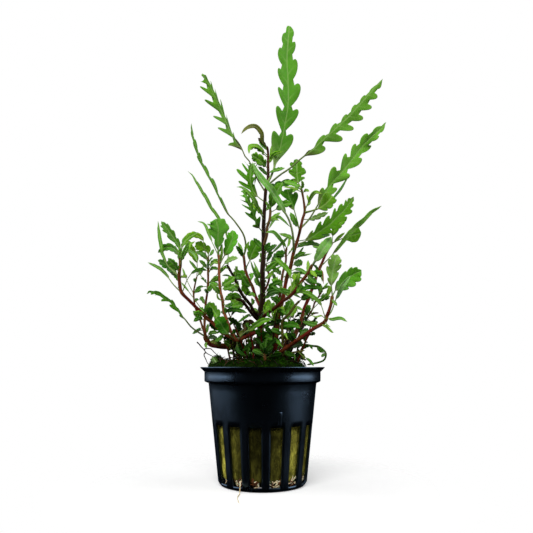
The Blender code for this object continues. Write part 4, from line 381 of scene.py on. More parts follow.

# What sets single leaves apart: "petiole" is the colour of the stalk, "thick" its radius and "stalk" its
# share of the length; "light" is a factor on the tone, partly the leaf's own paler or bluer colour and
# partly painted light that makes a leaf brighter or darker as if it were lit more or less; "lobes" is a
# number a side and "shape" a form as in FORMS; "reach" is a factor on the right and left half width, "lift"
# the degrees each half is folded up by, "offset" the part of a lobe by which the left edge runs ahead at
# foot and tip; "turn", "fold" and "wave" are as on any leaf; an "even_lean" eases the depth along the
# leaf, and "worn" browns the tip
LEAF_TRAITS = {
    "top_leaf": {"petiole": "pale", "thick": 0.62, "light": (0.98, 0.86, 1.6), "offset": (0.0, 0.55),
        "even_lean": True, "shape": (0.04, 0.6, 47, 0.24, 0.24, 0.28)},
    "upper_right_leaf": {"petiole": "plum", "light": (1.5, 1.15, 2.6), "thick": 0.44, "stalk": 0.33,
        "reach": (1.05, 0.36), "lift": (0, -80), "shape": (0.1, 0.45, 36, 0.4, 0.55, 0.36)},
    "upper_left_leaf": {"petiole": "plum", "thick": 0.38, "stalk": 0.36, "reach": (0.6, 1.0),
        "shape": (0.04, 0.3, 58, 0.45, 0.36, 0.6)},
    "right_feather_leaf": {"light": (1.65, 1.25, 2.7), "thick": 0.4,
        "shape": (0.12, 0.5, 45, 0.35, 0.5, 0.3)},
    "front_long_leaf": {"thick": 0.5},
    "thin_left_leaf": {"thick": 0.46, "shape": (0.15, 0.5, 48, 0.45, 0.5, 0.3)},
    "lower_thin_left_leaf": {"petiole": "green", "thick": 0.28},
    "toothed_right_leaf": {"worn": True, "lobes": 7, "light": (1.15, 1.05, 1.0),
        "shape": (0.34, 0.6, 48, 0.36, 0.5, 0.22)},
    "lobed_centre_leaf": {"shape": (0.12, 0.2, 50, 0.4, 0.35, 0.55)},
    "feathery_centre_leaf": {"shape": (0.1, 0.16, 48, 0.45, 0.32, 0.62)},
    "dark_lobed_leaf": {"light": 0.85, "shape": (0.25, 0.6, 30, 0.45, 0.45, 0.25)},
    "narrow_right_leaf": {"light": (3.2, 2.0, 6.0)},
    "round_right_leaf": {"stalk": 0.52, "light": (0.7, 0.8, 1.0)},
    "left_round_leaf": {"petiole": "green", "thick": 0.5, "light": (1.35, 1.2, 2.7), "even_lean": True,
        "lobes": 3, "shape": (0.45, 0.85, 28, 0.62, 0.62, 0.3)},
    "lower_left_toothed_leaf": {"light": (3.0, 2.1, 2.6), "reach": (0.55, 1.0), "thick": 0.42,
        "shape": (0.25, 0.5, 50, 0.45, 0.5, 0.35)},
    "left_oval_leaf": {"petiole": "red", "light": 1.25},
    "bright_left_leaf": {"light": (1.7, 1.5, 1.6), "even_lean": True},
    "upright_left_leaf": {"reach": (0.7, 0.7)},
    "left_narrow_leaf": {"reach": (0.62, 0.62), "stalk": 0.42, "light": (0.8, 0.8, 1.5)},
    "left_tip_leaf": {"light": (0.9, 0.9, 1.6), "reach": (0.72, 1.0),
        "shape": (0.45, 0.8, 50, 0.45, 0.55, 0.3)},
    "folded_right_leaf": {"petiole": "green", "light": (1.5, 1.35, 2.4)},
    "far_right_round_leaf": {"stalk": 0.42, "light": (1.5, 1.4, 1.3), "turn": 30, "fold": 4, "wave": 0.1,
        "even_lean": True, "shape": (0.95, 1.0, 8, 0.6, 0.6, 0.1)},
    "right_front_leaf": {"reach": (0.62, 0.62), "light": (1.2, 1.15, 1.5),
        "shape": (0.85, 0.95, 14, 0.5, 0.5, 0.15)},
    "right_broad_leaf": {"reach": (1.35, 1.15), "light": (1.3, 1.2, 1.4)},
}

# Young and small leaves, grown in one with their stem: form, half width, share of stalk, turn,
# fold, tone, and the line of the midrib
YOUNG_LEAVES = {"main_stem": [
    ("strap", 1.2, 0.1, 0, 20, "olive", [(2, 150.5, 0), (0, 154, -3.5), (-0.5, 157.5, -5.5),
        (-3, 160.5, -7), (-7, 160, -11), (-9.5, 157.5, -12.5)]),
    ("strap", 1.2, 0.15, 20, 20, "bright", [(2.5, 147.5, 0), (-2, 151.5, -5.5), (-5.5, 151.5, -9),
        (-6, 148.5, -11)]),
    ("strap", 1.0, 0.2, 0, 20, "bright", [(2.5, 143, 0), (4, 147, 3.5), (4, 152, 3.5)]),
    ("oval", 1.0, 0.2, 30, 20, "bright", [(2.5, 145, 0), (5.5, 148.5, -5.5), (9, 149.5, -7)]),
    ("toothed", 2.5, 0.2, -15, 14, "mid", [(2.5, 141.5, 0), (0, 144.5, -5.5), (-2.5, 146.5, -7),
        (-5, 148, -9)]),
    ("oval", 1.1, 0.1, 10, 10, "dark", [(2, 138.5, 0), (0, 141, -3.5), (-2, 142.5, -5.5)]),
    ("oval", 1.2, 0.1, 10, 10, "dark", [(2, 149.5, 0), (0.5, 152, 5.5), (-1.5, 154, 9)]),
    ("oval", 1.4, 0.2, 0, 14, "bright", [(1, 120, 0), (-2, 123.5, -5.5), (-5, 126, -7)]),
    ("strap", 1.3, 0.3, 20, 16, "mid", [(0.5, 119, 0), (-2.5, 125, -18), (-5.5, 130, -21.5),
        (-9, 133, -23.5), (-11.5, 133.5, -23.5)]),
    ("oval", 1.5, 0.2, -10, 14, "mid", [(1, 121.5, 0), (3.5, 125, 5.5), (6, 128.5, 9)]),
    ("oval", 1.0, 0.3, 20, 14, "bright", [(0.5, 116, 0), (4.5, 119.5, 7), (8, 122, 11)]),
    ("strap", 0.7, 0.3, 20, 20, "mid", [(0.5, 109.5, 0), (4, 117, 7), (7, 120, 11), (10, 118, 7),
        (12.5, 115.5, 5.5)]),
    ("strap", 0.7, 0.4, 20, 20, "dark", [(0.5, 100, 0), (5.5, 105, 9), (12.5, 112, 16)]),
    ("oval", 1.2, 0.3, 0, 10, "dark", [(0.5, 102.5, 0), (3.5, 105.5, -5.5), (6, 107, -9)]),
    ("oval", 2.2, 0.45, 20, 10, "dark", [(0.5, 98, 0), (4, 100, 7), (7, 102.5, 11), (10, 104.5, 12.5)]),
    ("oval", 1.1, 0.3, 0, 10, "dark", [(0.5, 105, 0), (-2, 108, 2), (-4, 110.5, 2)]),
    ("oval", 1.2, 0.35, 0, 10, "mid", [(0, 91, 0), (-2, 94, -5.5), (-3.5, 97.5, -7)]),
    ("oval", 1.6, 0.3, 8, 12, "bright", [(-1, 76.5, 0), (1.5, 79, -3.5), (3, 83, -5.5)]),
    ("oval", 0.9, 0.4, 10, 12, "mid", [(-1, 76, 0), (-3, 78, 5.5), (-4.5, 79, 7)]),
    ("oval", 1.6, 0.3, 10, -10, "brown", [(-1, 70.5, 0), (-4.5, 72.5, -5.5), (-7.5, 72, -9),
        (-8, 68.5, -11)]),
    ("oval", 1.2, 0.3, 0, 12, "dark", [(0, 88, 0), (-2, 90, 7), (-3.5, 92.5, 11)]),
    ("oval", 2.2, 0.35, 10, 12, "deep", [(-1.5, 65.5, 0), (1.5, 64.5, -5.5), (0, 67, -9),
        (-3.5, 69, -11)]),
    ("strap", 1.1, 0.2, 10, 24, "dark", [(-1, 68, 0), (2.5, 67.5, 5.5), (6, 64.5, 7), (8, 60, 5.5)]),
    ("oval", 1.2, 0.2, 0, 14, "dark", [(0.5, 104, 0), (2, 106.5, -3.5), (3.5, 108.5, -5.5)]),
    ("oval", 1.1, 0.2, 10, 14, "dark", [(0.5, 104, 0), (3.5, 106, 3.5), (6.5, 107.5, 5.5)]),
    ("oval", 1.6, 0.2, 10, 14, "mid", [(0.5, 95, 0), (3, 97, -3.5), (6.5, 100, -7)]),
    ("oval", 1.0, 0.2, 10, 14, "bright", [(0, 91.5, 0), (3, 93.5, 3.5), (5, 96, 5.5)]),
    ("toothed", 1.5, 0.3, 0, 14, "dark", [(0, 84.5, 0), (2.5, 87, -5.5), (5.5, 90, -9), (9.5, 91, -11)]),
    ("strap", 1.2, 0.2, 10, 20, "dark", [(0, 83, 0), (3.5, 86, -11), (8.5, 87, -18), (13, 86, -21.5),
        (17.5, 83.5, -23.5)]),
    ("toothed", 1.4, 0.2, 0, 14, "dark", [(0, 82, 0), (2.5, 84.5, 9), (6, 86, 14.5), (9, 84, 18)]),
    ("strap", 0.7, 0.2, 20, 20, "dark", [(-0.5, 84.5, 0), (-2, 91, -5.5), (-4, 96, -9),
        (-5.5, 100.5, -11)]),
    ("strap", 0.6, 0.2, 20, 20, "mid", [(0, 90, 0), (-2, 95, 7), (-4, 100, 11)]),
    ("toothed", 1.6, 0.2, 0, 14, "deep", [(-1, 69, 0), (2.5, 71.5, -7), (6.5, 73, -11),
        (10.5, 73, -12.5)]),
    ("toothed", 1.5, 0.2, 0, 14, "deep", [(-1.5, 66.5, 0), (-4.5, 68.5, 5.5), (-9, 69.5, 9)]),
    ("toothed", 1.4, 0.2, 0, 14, "dark", [(-1.5, 67.5, 0), (2.5, 66, -11), (6.5, 64, -14.5),
        (9, 61.5, -16)]),
    ("oval", 1.4, 0.2, 0, 14, "deep", [(-1.5, 64.5, 0), (1.5, 62.5, -11), (4.5, 59, -12.5)]),
    ("oval", 1.4, 0.2, 0, 14, "deep", [(-1.5, 64, 0), (-5.5, 62.5, -7), (-9, 59.5, -11)]),
    ("oval", 1.4, 0.1, -20, 10, "mid", [(2.5, 140, 0), (6, 141, -5.5), (10, 142, -7)]),
    ("toothed", 2.7, 0.15, -30, 14, "dark", [(2, 133.5, 0), (6, 134, 7), (11, 135, 11),
        (17.5, 136.5, 12.5)]),
    ("oval", 1.1, 0.2, 0, 10, "brown", [(2, 150, 0), (0, 153.5, -2), (-2, 155.5, -3.5)]),
    ("feather", 1.2, 0.2, 0, 10, "bright", [(2.5, 146.5, 0), (-0.5, 149.5, -3.5), (-3.5, 151.5, -5.5),
        (-6, 150, -5.5)]),
], "side_shoot": [
    ("oval", 0.7, 0.2, 10, 20, "bright", [(3.5, 123.5, 0), (2.5, 125, -2), (1.5, 127, -3.5)]),
    ("oval", 2.2, 0.3, -12, 12, "mid", [(3.5, 122, 0), (7, 124, -3.5), (9.5, 125.5, -5.5), (13, 126, -7)]),
    ("oval", 0.7, 0.2, 10, 20, "bright", [(3, 117.5, 0), (5, 119, -3.5), (7.5, 118.5, -5.5)]),
], "right_stem": [
    ("oval", 0.9, 0.2, 0, 20, "mid", [(17.5, 132.5, 0), (15.5, 133, -3.5), (13.5, 131, -5.5)]),
    ("oval", 0.9, 0.2, 10, 20, "bright", [(17.5, 132, 0), (18, 134.5, -3.5), (17.5, 136.5, -5.5)]),
    ("oval", 0.8, 0.2, 10, 20, "bright", [(18, 130.5, 0), (19.5, 132, -2), (21, 131.5, -3.5)]),
    ("strap", 1.0, 0.3, 14, 20, "bright", [(19, 122.5, 0), (21, 127.5, -3.5), (23.5, 131, -7),
        (26.5, 130.5, -9)]),
    ("strap", 0.8, 0.2, 0, 20, "bright", [(19, 124, 0), (21, 126.5, 3.5), (20, 130, 5.5)]),
    ("oval", 1.5, 0.3, 0, 14, "mid", [(17, 114, 0), (14.5, 118, -5.5), (12.5, 122, -7)]),
    ("toothed", 1.6, 0.3, -16, 14, "pale", [(18, 119, 0), (22, 119, 5.5), (26, 120.5, 7), (29.5, 122, 7)]),
    ("strap", 0.7, 0.6, 30, 14, "dark", [(19, 121.5, 0), (27, 124.5, 14.5), (33.5, 130.5, 21.5),
        (38.5, 138, 25)]),
    ("oval", 1.5, 0.25, 0, 14, "mid", [(17.5, 131.5, 0), (14.5, 134.5, 7), (9.5, 136, 11)]),
    ("strap", 0.7, 0.25, 0, 14, "bright", [(18, 131, 0), (13.5, 133, -11), (9.5, 133.5, -14.5)]),
    ("oval", 1.2, 0.25, 20, 14, "mid", [(15.5, 108.5, 0), (12, 111, 5.5), (7.5, 112.5, 7)]),
    ("oval", 1.4, 0.15, -20, 14, "dark", [(14.5, 106, 0), (18.5, 107.5, 5.5), (22.5, 108, 7),
        (26.5, 107, 9)]),
    ("oval", 1.6, 0.3, 10, 14, "dark", [(15.5, 109, 0), (20.5, 110, 7), (25, 111.5, 11),
        (30.5, 112, 14.5)]),
    ("strap", 0.5, 0.3, 20, 20, "mid", [(13.5, 102.5, 0), (17, 102.5, -3.5), (22, 103.5, -7)]),
    ("strap", 0.6, 0.5, 20, 20, "dark", [(13, 99.5, 0), (15.5, 102.5, 5.5), (18.5, 106.5, 7)]),
    ("oval", 1.9, 0.35, 10, 12, "dark", [(12.5, 98, 0), (15.5, 99, 5.5), (18, 100, 7)]),
    ("strap", 0.7, 0.3, 30, 20, "dark", [(11, 93.5, 0), (14.5, 95, 3.5), (19.5, 94.5, 7)]),
    ("strap", 0.6, 0.3, 30, 20, "dark", [(11, 92.5, 0), (14.5, 93, -5.5), (18.5, 92.5, -9)]),
    ("oval", 2.5, 0.36, 0, 12, "mid", [(7, 73, 0), (9.5, 76, 2.5), (11.5, 79, 2.5), (13, 82.5, 2.5)]),
    ("strap", 0.7, 0.3, 10, 20, "bright", [(6.5, 71, 0), (5, 75, -5.5), (4, 77.5, -7)]),
    ("oval", 1.2, 0.25, 0, 16, "bright", [(7, 73, 0), (6, 76.5, -7), (7, 79.5, -9)]),
    ("oval", 0.9, 0.3, 0, 16, "pale", [(6.5, 69, 0), (5, 69, 5.5), (4.5, 67, 7)]),
    ("oval", 1.8, 0.35, 20, 14, "dark", [(6.5, 67, 0), (9, 69, 0), (12, 71.5, 2), (15.5, 72, 3.5)]),
    ("toothed", 1.8, 0.2, 0, 14, "dark", [(6.5, 68.5, 0), (9.5, 71, -5.5), (13.5, 71.5, -9),
        (17, 70, -11)]),
    ("toothed", 1.5, 0.2, 0, 14, "deep", [(6, 64, 0), (9, 66, -3.5), (12.5, 66.5, -5.5),
        (15.5, 65.5, -7)]),
    ("toothed", 1.5, 0.2, 0, 14, "deep", [(6.5, 66, 0), (3.5, 68.5, -5.5), (1, 70, -7)]),
    ("oval", 1.4, 0.2, 0, 14, "dark", [(8, 80, 0), (6, 82.5, -7), (3.5, 84, -11)]),
    ("toothed", 1.4, 0.2, 0, 14, "mid", [(7.5, 77, 0), (4.5, 78.5, -5.5), (3.5, 81.5, -7)]),
    ("oval", 1.7, 0.25, 0, 14, "bright", [(9, 83.5, 0), (12, 86, 9), (15, 90.5, 12.5), (17, 95, 14.5)]),
    ("strap", 0.9, 0.3, 20, 20, "mid", [(12, 95.5, 0), (15.5, 96.5, -5.5), (18.5, 95.5, -9),
        (21, 93, -11)]),
    ("toothed", 1.4, 0.2, 0, 14, "mid", [(9.5, 87, 0), (7, 90.5, 7), (4, 92, 11)]),
    ("oval", 1.2, 0.2, 0, 14, "dark", [(13.5, 100.5, 0), (16.5, 103, -5.5), (19.5, 104, -7)]),
], "thin_right_stem": [
    ("oval", 0.8, 0.2, 0, 20, "bright", [(11, 106, 0), (9.5, 108, -3.5), (9, 110, -5.5)]),
    ("strap", 0.7, 0.2, 0, 20, "bright", [(11, 105.5, 0), (12, 108.5, 2), (12, 111, 3.5)]),
    ("strap", 1.0, 0.4, 10, 20, "mid", [(10.5, 103.5, 0), (8.5, 109, -9), (5, 113, -12.5),
        (1.5, 113, -14.5)]),
    ("oval", 1.1, 0.3, 10, 14, "mid", [(10, 96.5, 0), (8, 100, 3.5), (5, 101.5, 5.5)]),
    ("oval", 1.0, 0.3, 10, 14, "dark", [(8.5, 89.5, 0), (6, 91.5, 5.5), (4.5, 95, 9)]),
    ("oval", 1.4, 0.2, 0, 14, "dark", [(8, 86, 0), (5.5, 88, -5.5), (2.5, 89.5, -7)]),
    ("toothed", 1.4, 0.2, 0, 14, "mid", [(9, 93.5, 0), (7, 95.5, -3.5), (4.5, 97, -5.5)]),
], "far_right_stem": [
    ("oval", 2.1, 0.25, -8, 14, "bright", [(31.5, 108, 0), (32, 113, -3.5), (34.5, 117, -5.5),
        (38, 119.5, -7)]),
    ("strap", 0.8, 0.3, 10, 20, "bright", [(31, 107, 0), (34, 110.5, -5.5), (37, 113, -9)]),
    ("strap", 0.7, 0.2, 30, 14, "pale", [(25, 94.5, 0), (26.5, 93.5, -5.5), (27, 91, -7)]),
    ("strap", 0.4, 0.4, 30, 14, "amber", [(25.5, 97, 0), (27, 95, -9), (27.5, 90, -11)]),
    ("oval", 1.4, 0.3, 0, 14, "mid", [(29, 104, 0), (26.5, 106.5, 7), (22.5, 107, 11)]),
    ("oval", 1.4, 0.3, 10, 14, "dark", [(24, 91.5, 0), (21.5, 94, 9), (18, 95, 14.5)]),
    ("strap", 1.2, 0.8, 20, 20, "bright", [(17.5, 74, 0), (22, 78, -9), (26, 82, -12.5), (29, 85, -14.5),
        (30.5, 89, -16)]),
    ("strap", 0.6, 0.7, 20, 20, "mid", [(17, 73, 0), (16, 77, 7), (14, 81, 12.5), (11.5, 84, 16)]),
    ("oval", 0.8, 0.3, 0, 14, "mid", [(18, 75, 0), (19.5, 76.5, 5.5), (20, 78.5, 7)]),
    ("oval", 1.4, 0.3, 20, 14, "dark", [(15.5, 69, 0), (18, 71.5, 7), (21, 73, 12.5)]),
    ("toothed", 1.4, 0.2, 0, 14, "dark", [(21, 84, 0), (18.5, 86.5, -5.5), (17, 90, -7)]),
    ("oval", 1.5, 0.2, 0, 14, "dark", [(23.5, 91, 0), (25.5, 88.5, 7), (26.5, 85.5, 11)]),
    ("oval", 1.4, 0.2, 0, 14, "dark", [(14.5, 67, 0), (12.5, 69.5, 9), (9.5, 70.5, 12.5)]),
], "low_right_branch": [
    ("strap", 1.1, 0.35, -10, 20, "mid", [(28.5, 73.5, 0), (27.5, 77, -2), (26, 81, -2), (23, 84, -2),
        (19.5, 86, -2), (15.5, 86.5, -2)]),
    ("strap", 0.9, 0.15, 10, 20, "mid", [(28.5, 74.5, 0), (31.5, 74, -3.5), (35, 74.5, -5.5),
        (38, 73, -7)]),
    ("strap", 0.7, 0.1, 20, 20, "bright", [(26.5, 72, 0), (29, 70.5, -5.5), (31, 68.5, -7), (32, 68, -9)]),
    ("oval", 1.4, 0.15, 10, 14, "mid", [(25.5, 71, 0), (22.5, 71.5, 7), (18, 73, 11)]),
    ("strap", 0.5, 0.35, 20, 20, "bright", [(28.5, 74, 0), (26.5, 75.5, -7), (24, 75, -11),
        (21.5, 76, -12.5)]),
    ("strap", 0.4, 0.2, 0, 20, "mid", [(28, 73, 0), (29, 71.5, -7), (30.5, 70.5, -11)]),
    ("oval", 2.1, 0.2, 0, 14, "deep", [(11.5, 61.5, 0), (14.5, 62.5, 3.5), (18, 63.5, 5.5)]),
    ("oval", 1.6, 0.2, 0, 14, "deep", [(14, 63, 0), (13, 65.5, -5.5), (11, 68, -9)]),
    ("oval", 0.9, 0.2, 0, 14, "mid", [(31, 83, 0), (32, 82, -3.5), (33.5, 80, -7)]),
    ("toothed", 1.5, 0.2, 0, 14, "dark", [(17, 65.5, 0), (18, 68, 3.5), (21, 69, 5.5)]),
    ("oval", 1.4, 0.2, 0, 14, "deep", [(9, 60, 0), (11.5, 58.5, -3.5), (14, 57.5, -5.5)]),
], "low_left_branch": [
    ("oval", 1.3, 0.3, 0, 16, "mid", [(-37, 98, 0), (-35.5, 103, -9), (-34, 106.5, -12.5),
        (-33, 109.5, -14.5)]),
    ("oval", 1.4, 0.25, -14, 16, "bright", [(-37, 101, 0), (-34.5, 104.5, 12.5), (-32.5, 107.5, 16),
        (-30.5, 109, 18)]),
    ("toothed", 1.7, 0.3, -14, 16, "mid", [(-37, 101.5, 0), (-35.5, 108, 3.5), (-32.5, 111, 5.5),
        (-29, 113, 7)]),
    ("strap", 0.8, 0.2, 20, 20, "pale", [(-37, 100, 0), (-34, 104.5, -2), (-31, 103.5, -3.5),
        (-29, 99.5, -5.5)]),
    ("oval", 1.9, 0.25, 0, 14, "mid", [(-37.5, 95, 0), (-39.5, 98, -7), (-42.5, 101.5, -11)]),
    ("oval", 1.3, 0.2, 20, 14, "dark", [(-37, 90, 0), (-39, 93.5, 7), (-42, 96, 11)]),
    ("strap", 0.9, 0.6, 30, 20, "dark", [(-36, 86, 0), (-34, 91.5, 5.5), (-31.5, 95, 9), (-28, 96.5, 11),
        (-25, 96, 12.5)]),
    ("oval", 1.2, 0.3, 0, 14, "dark", [(-18, 68, 0), (-19, 65.5, -5.5), (-21.5, 64, -7)]),
    ("oval", 1.4, 0.25, 0, 14, "olive", [(-10, 65, 0), (-9.5, 67.5, 3.5), (-7, 68.5, 5.5)]),
    ("oval", 1.1, 0.25, 20, 14, "deep", [(-11.5, 64, 0), (-11, 60, -3.5), (-7.5, 57.5, -5.5)]),
    ("strap", 0.7, 0.3, 0, 14, "dark", [(-27, 76, 0), (-25.5, 79, -5.5), (-23.5, 82, -7)]),
    ("toothed", 1.4, 0.2, 0, 14, "deep", [(-15, 66, 0), (-12.5, 68.5, 5.5), (-9, 70, 9)]),
    ("oval", 1.2, 0.2, 0, 14, "deep", [(-24.5, 74, 0), (-22.5, 71, 3.5), (-20, 69, 5.5)]),
], "amber_stem": [
    ("strap", 0.7, 0.2, 0, 20, "bright", [(-19.5, 98.5, 0), (-18.5, 102.5, -3.5), (-18, 106.5, -5.5)]),
    ("oval", 1.4, 0.4, -14, 16, "pale", [(-19.5, 95.5, 0), (-17, 99, -3.5), (-14, 101, -5.5),
        (-11, 101.5, -7)]),
    ("oval", 1.4, 0.35, 10, 14, "mid", [(-18.5, 84, 0), (-20.5, 87, -5.5), (-23, 90, -7)]),
    ("strap", 0.5, 0.2, 10, 20, "bright", [(-18, 82, 0), (-20, 83.5, -3.5), (-20.5, 86, -5.5)]),
    ("toothed", 2.0, 0.25, 0, 14, "mid", [(-19.5, 88, 0), (-17.5, 89.5, -3.5), (-15, 91, -5.5),
        (-12.5, 93, -7)]),
    ("strap", 0.8, 0.4, 20, 20, "mid", [(-20, 102.5, 0), (-23.5, 110.5, 7), (-26, 116.5, 11),
        (-29, 118, 12.5)]),
    ("oval", 1.4, 0.1, 30, 14, "dark", [(-17, 77.5, 0), (-13.5, 78.5, -5.5), (-10, 78, -7), (-7, 77, -9)]),
    ("oval", 1.2, 0.3, 0, 14, "dark", [(-18, 81, 0), (-15.5, 80, -5.5), (-13, 81.5, -9)]),
    ("toothed", 1.5, 0.2, 0, 14, "mid", [(-19.5, 90, 0), (-22.5, 89, 5.5), (-24.5, 86.5, 9)]),
    ("oval", 1.4, 0.25, 0, 14, "mid", [(-18, 82, 0), (-15.5, 83.5, 5.5), (-13.5, 86, 9)]),
    ("toothed", 1.5, 0.2, 0, 14, "deep", [(-16.5, 75, 0), (-13.5, 73.5, 7), (-10.5, 71.5, 11)]),
], "left_stem": [
    ("oval", 1.0, 0.2, 0, 16, "mid", [(-24.5, 96, 0), (-26.5, 99, -2), (-28.5, 100.5, -3.5)]),
    ("oval", 1.0, 0.3, 10, 16, "mid", [(-24.5, 95.5, 0), (-22.5, 99.5, 2), (-20, 101, 3.5)]),
    ("oval", 0.9, 0.3, 10, 16, "dark", [(-24.5, 94.5, 0), (-22.5, 97, -3.5), (-19.5, 96.5, -5.5)]),
    ("strap", 0.8, 0.5, 30, 16, "mid", [(-24.5, 89.5, 0), (-28, 94, 3.5), (-31, 98, 5.5),
        (-33, 100.5, 7)]),
    ("strap", 0.8, 0.5, 30, 16, "mid", [(-24.5, 90, 0), (-20.5, 94, -3.5), (-18, 96.5, -5.5),
        (-16, 98.5, -7)]),
    ("strap", 0.8, 0.3, 20, 16, "dark", [(-24.5, 88.5, 0), (-28, 88.5, -3.5), (-30.5, 86, -5.5)]),
    ("oval", 1.5, 0.2, 20, 14, "dark", [(-24.5, 100, 0), (-27, 103, 7), (-30, 104.5, 11)]),
    ("oval", 0.8, 0.2, 0, 14, "mid", [(-24.5, 102, 0), (-23, 103.5, 2), (-22, 105.5, 3.5)]),
    ("strap", 0.5, 0.7, 20, 14, "mid", [(-26, 76, 0), (-28.5, 80, 2), (-32.5, 85.5, 2),
        (-36.5, 90.5, 3.5)]),
    ("oval", 1.2, 0.2, 0, 14, "dark", [(-26, 73.5, 0), (-28.5, 74.5, -3.5), (-31, 73, -5.5)]),
    ("oval", 1.5, 0.5, 0, 14, "bright", [(-24.5, 100, 0), (-26, 105, -3.5), (-27, 110, -5.5),
        (-31, 112, -7), (-35.5, 110.5, -7)]),
], "left_inner_stem": [
    ("oval", 1.0, 0.35, 0, 16, "pale", [(-28.5, 74, 0), (-29.5, 75.5, -3.5), (-31, 77.5, -5.5)]),
    ("strap", 0.5, 0.6, 10, 16, "mid", [(-31, 85.5, 0), (-34, 91.5, 3.5), (-36, 97, 5.5)]),
    ("oval", 0.9, 0.2, 10, 16, "mid", [(-29.5, 93, 0), (-28, 95, 3.5), (-26.5, 98, 5.5)]),
    ("oval", 0.9, 0.2, 10, 16, "dark", [(-27, 70.5, 0), (-29, 69, 5.5), (-31.5, 67.5, 9)]),
    ("oval", 2.0, 0.34, 0, 14, "bright", [(-29.5, 93.5, 0), (-29.5, 99.5, -3.5), (-31.5, 104, -5.5),
        (-33, 107, -7), (-35, 110, -7)]),
], "left_runner": [
    ("oval", 1.1, 0.3, 10, 16, "mid", [(-25.5, 65.5, 0), (-23, 68, -3.5), (-20, 68, -5.5)]),
    ("oval", 0.8, 0.3, 10, 16, "mid", [(-26, 66, 0), (-25, 69, 3.5), (-24.5, 72, 5.5)]),
    ("oval", 1.6, 0.2, 10, 16, "olive", [(-18, 62, 0), (-20.5, 63.5, -5.5), (-23.5, 64, -7)]),
    ("oval", 0.8, 0.2, 10, 16, "mid", [(-25, 64, 0), (-25.5, 62.5, -3.5), (-25, 61, -5.5)]),
    ("strap", 0.6, 0.3, 10, 16, "bright", [(-6.5, 60.5, 0), (-6, 64, -5.5), (-7, 66, -7)]),
    ("oval", 1.2, 0.2, 0, 14, "deep", [(-25.5, 65.5, 0), (-22.5, 66, -7), (-20, 65, -11)]),
    ("toothed", 1.3, 0.2, 0, 14, "deep", [(-12, 61.5, 0), (-14, 64, -5.5), (-16.5, 64.5, -7)]),
    ("oval", 1.4, 0.2, 0, 14, "deep", [(-7, 60.5, 0), (-9.5, 58.5, -3.5), (-13, 57, -5.5)]),
], "inner_left_stem": [
    ("strap", 0.7, 0.3, 0, 20, "mid", [(-8, 102, 0), (-9.5, 105.5, 3.5), (-11, 108.5, 5.5)]),
    ("oval", 0.8, 0.3, 0, 20, "bright", [(-8, 102.5, 0), (-7.5, 106, -3.5), (-6, 109, -5.5)]),
    ("oval", 1.2, 0.3, 0, 16, "dark", [(-8, 100, 0), (-10, 104.5, -5.5), (-12, 107, -9)]),
    ("oval", 1.7, 0.3, 10, 14, "mid", [(-7.5, 95, 0), (-10, 93, -3.5), (-13.5, 93, -7)]),
    ("oval", 1.9, 0.25, 10, 14, "mid", [(-4.5, 88.5, 0), (-7, 90, -5.5), (-9.5, 94, -9)]),
    ("toothed", 1.9, 0.3, 0, 14, "mid", [(-5, 89.5, 0), (-8, 92, -5.5), (-10, 94.5, -7),
        (-13.5, 94.5, -9)]),
    ("oval", 1.8, 0.25, 0, 14, "bright", [(-6.5, 93, 0), (-8, 90.5, 5.5), (-7.5, 87, 9), (-5, 84.5, 9)]),
], "dark_left_stem": [
    ("oval", 1.5, 0.25, 10, 14, "mid", [(-12, 90.5, 0), (-14.5, 89, -2), (-17.5, 87.5, -3.5)]),
    ("oval", 1.7, 0.25, 10, 14, "mid", [(-10, 86.5, 0), (-12, 87.5, 5.5), (-15, 87.5, 9)]),
    ("strap", 0.8, 0.3, 20, 14, "dark", [(-4, 77.5, 0), (-7.5, 75, -5.5), (-11, 72.5, -7)]),
    ("oval", 2.1, 0.2, 14, 14, "bright", [(-7.5, 83, 0), (-10.5, 82, 5.5), (-15, 84, 9)]),
    ("toothed", 1.6, 0.2, 0, 14, "mid", [(-11.5, 90, 0), (-14, 88.5, -5.5), (-18, 87.5, -7)]),
    ("toothed", 1.4, 0.2, 0, 14, "dark", [(-9.5, 86, 0), (-12, 87.5, 7), (-14, 86.5, 11)]),
    ("oval", 1.8, 0.3, 0, 14, "mid", [(-7, 82.5, 0), (-10, 80.5, -5.5), (-14, 79.5, -9)]),
], "crossing_stem": [
    ("toothed", 1.5, 0.45, 10, 16, "mid", [(12.5, 84.5, 0), (13, 90, 3.5), (12, 95, 5.5), (9, 98.5, 5.5),
        (5.5, 101.5, 5.5)]),
    ("oval", 1.7, 0.2, 0, 14, "bright", [(17, 90, 0), (15.5, 91.5, 3.5), (14, 94.5, 5.5)]),
    ("oval", 1.0, 0.2, 20, 14, "dark", [(12, 84, 0), (8.5, 86.5, -3.5), (4, 89, -5.5)]),
    ("oval", 1.5, 0.2, 10, 14, "dark", [(20, 94, 0), (22, 92, -3.5), (24.5, 90, -5.5)]),
    ("oval", 1.1, 0.2, 10, 14, "bright", [(21.5, 96.5, 0), (22.5, 95, -3.5), (24.5, 93, -5.5)]),
    ("oval", 0.9, 0.2, 0, 14, "bright", [(20, 94, 0), (20.5, 97.5, 3.5), (20.5, 100.5, 5.5)]),
    ("oval", 1.0, 0.2, 20, 14, "dark", [(18, 91.5, 0), (20.5, 89, 3.5), (24.5, 87.5, 5.5)]),
    ("oval", 1.1, 0.2, 20, 14, "dark", [(18, 91, 0), (16.5, 88, -3.5), (15.5, 86, -5.5)]),
    ("oval", 0.8, 0.2, 0, 14, "dark", [(22.5, 98.5, 0), (24, 97.5, 3.5), (25, 95.5, 5.5)]),
    ("strap", 1.1, 0.2, 0, 20, "dark", [(11.5, 83.5, 0), (15.5, 86, -2), (19.5, 88, -3.5),
        (23, 88.5, -3.5), (27, 87.5, -5.5)]),
    ("toothed", 1.4, 0.2, 0, 14, "dark", [(18.5, 92, 0), (21, 91, 7), (23, 89.5, 11)]),
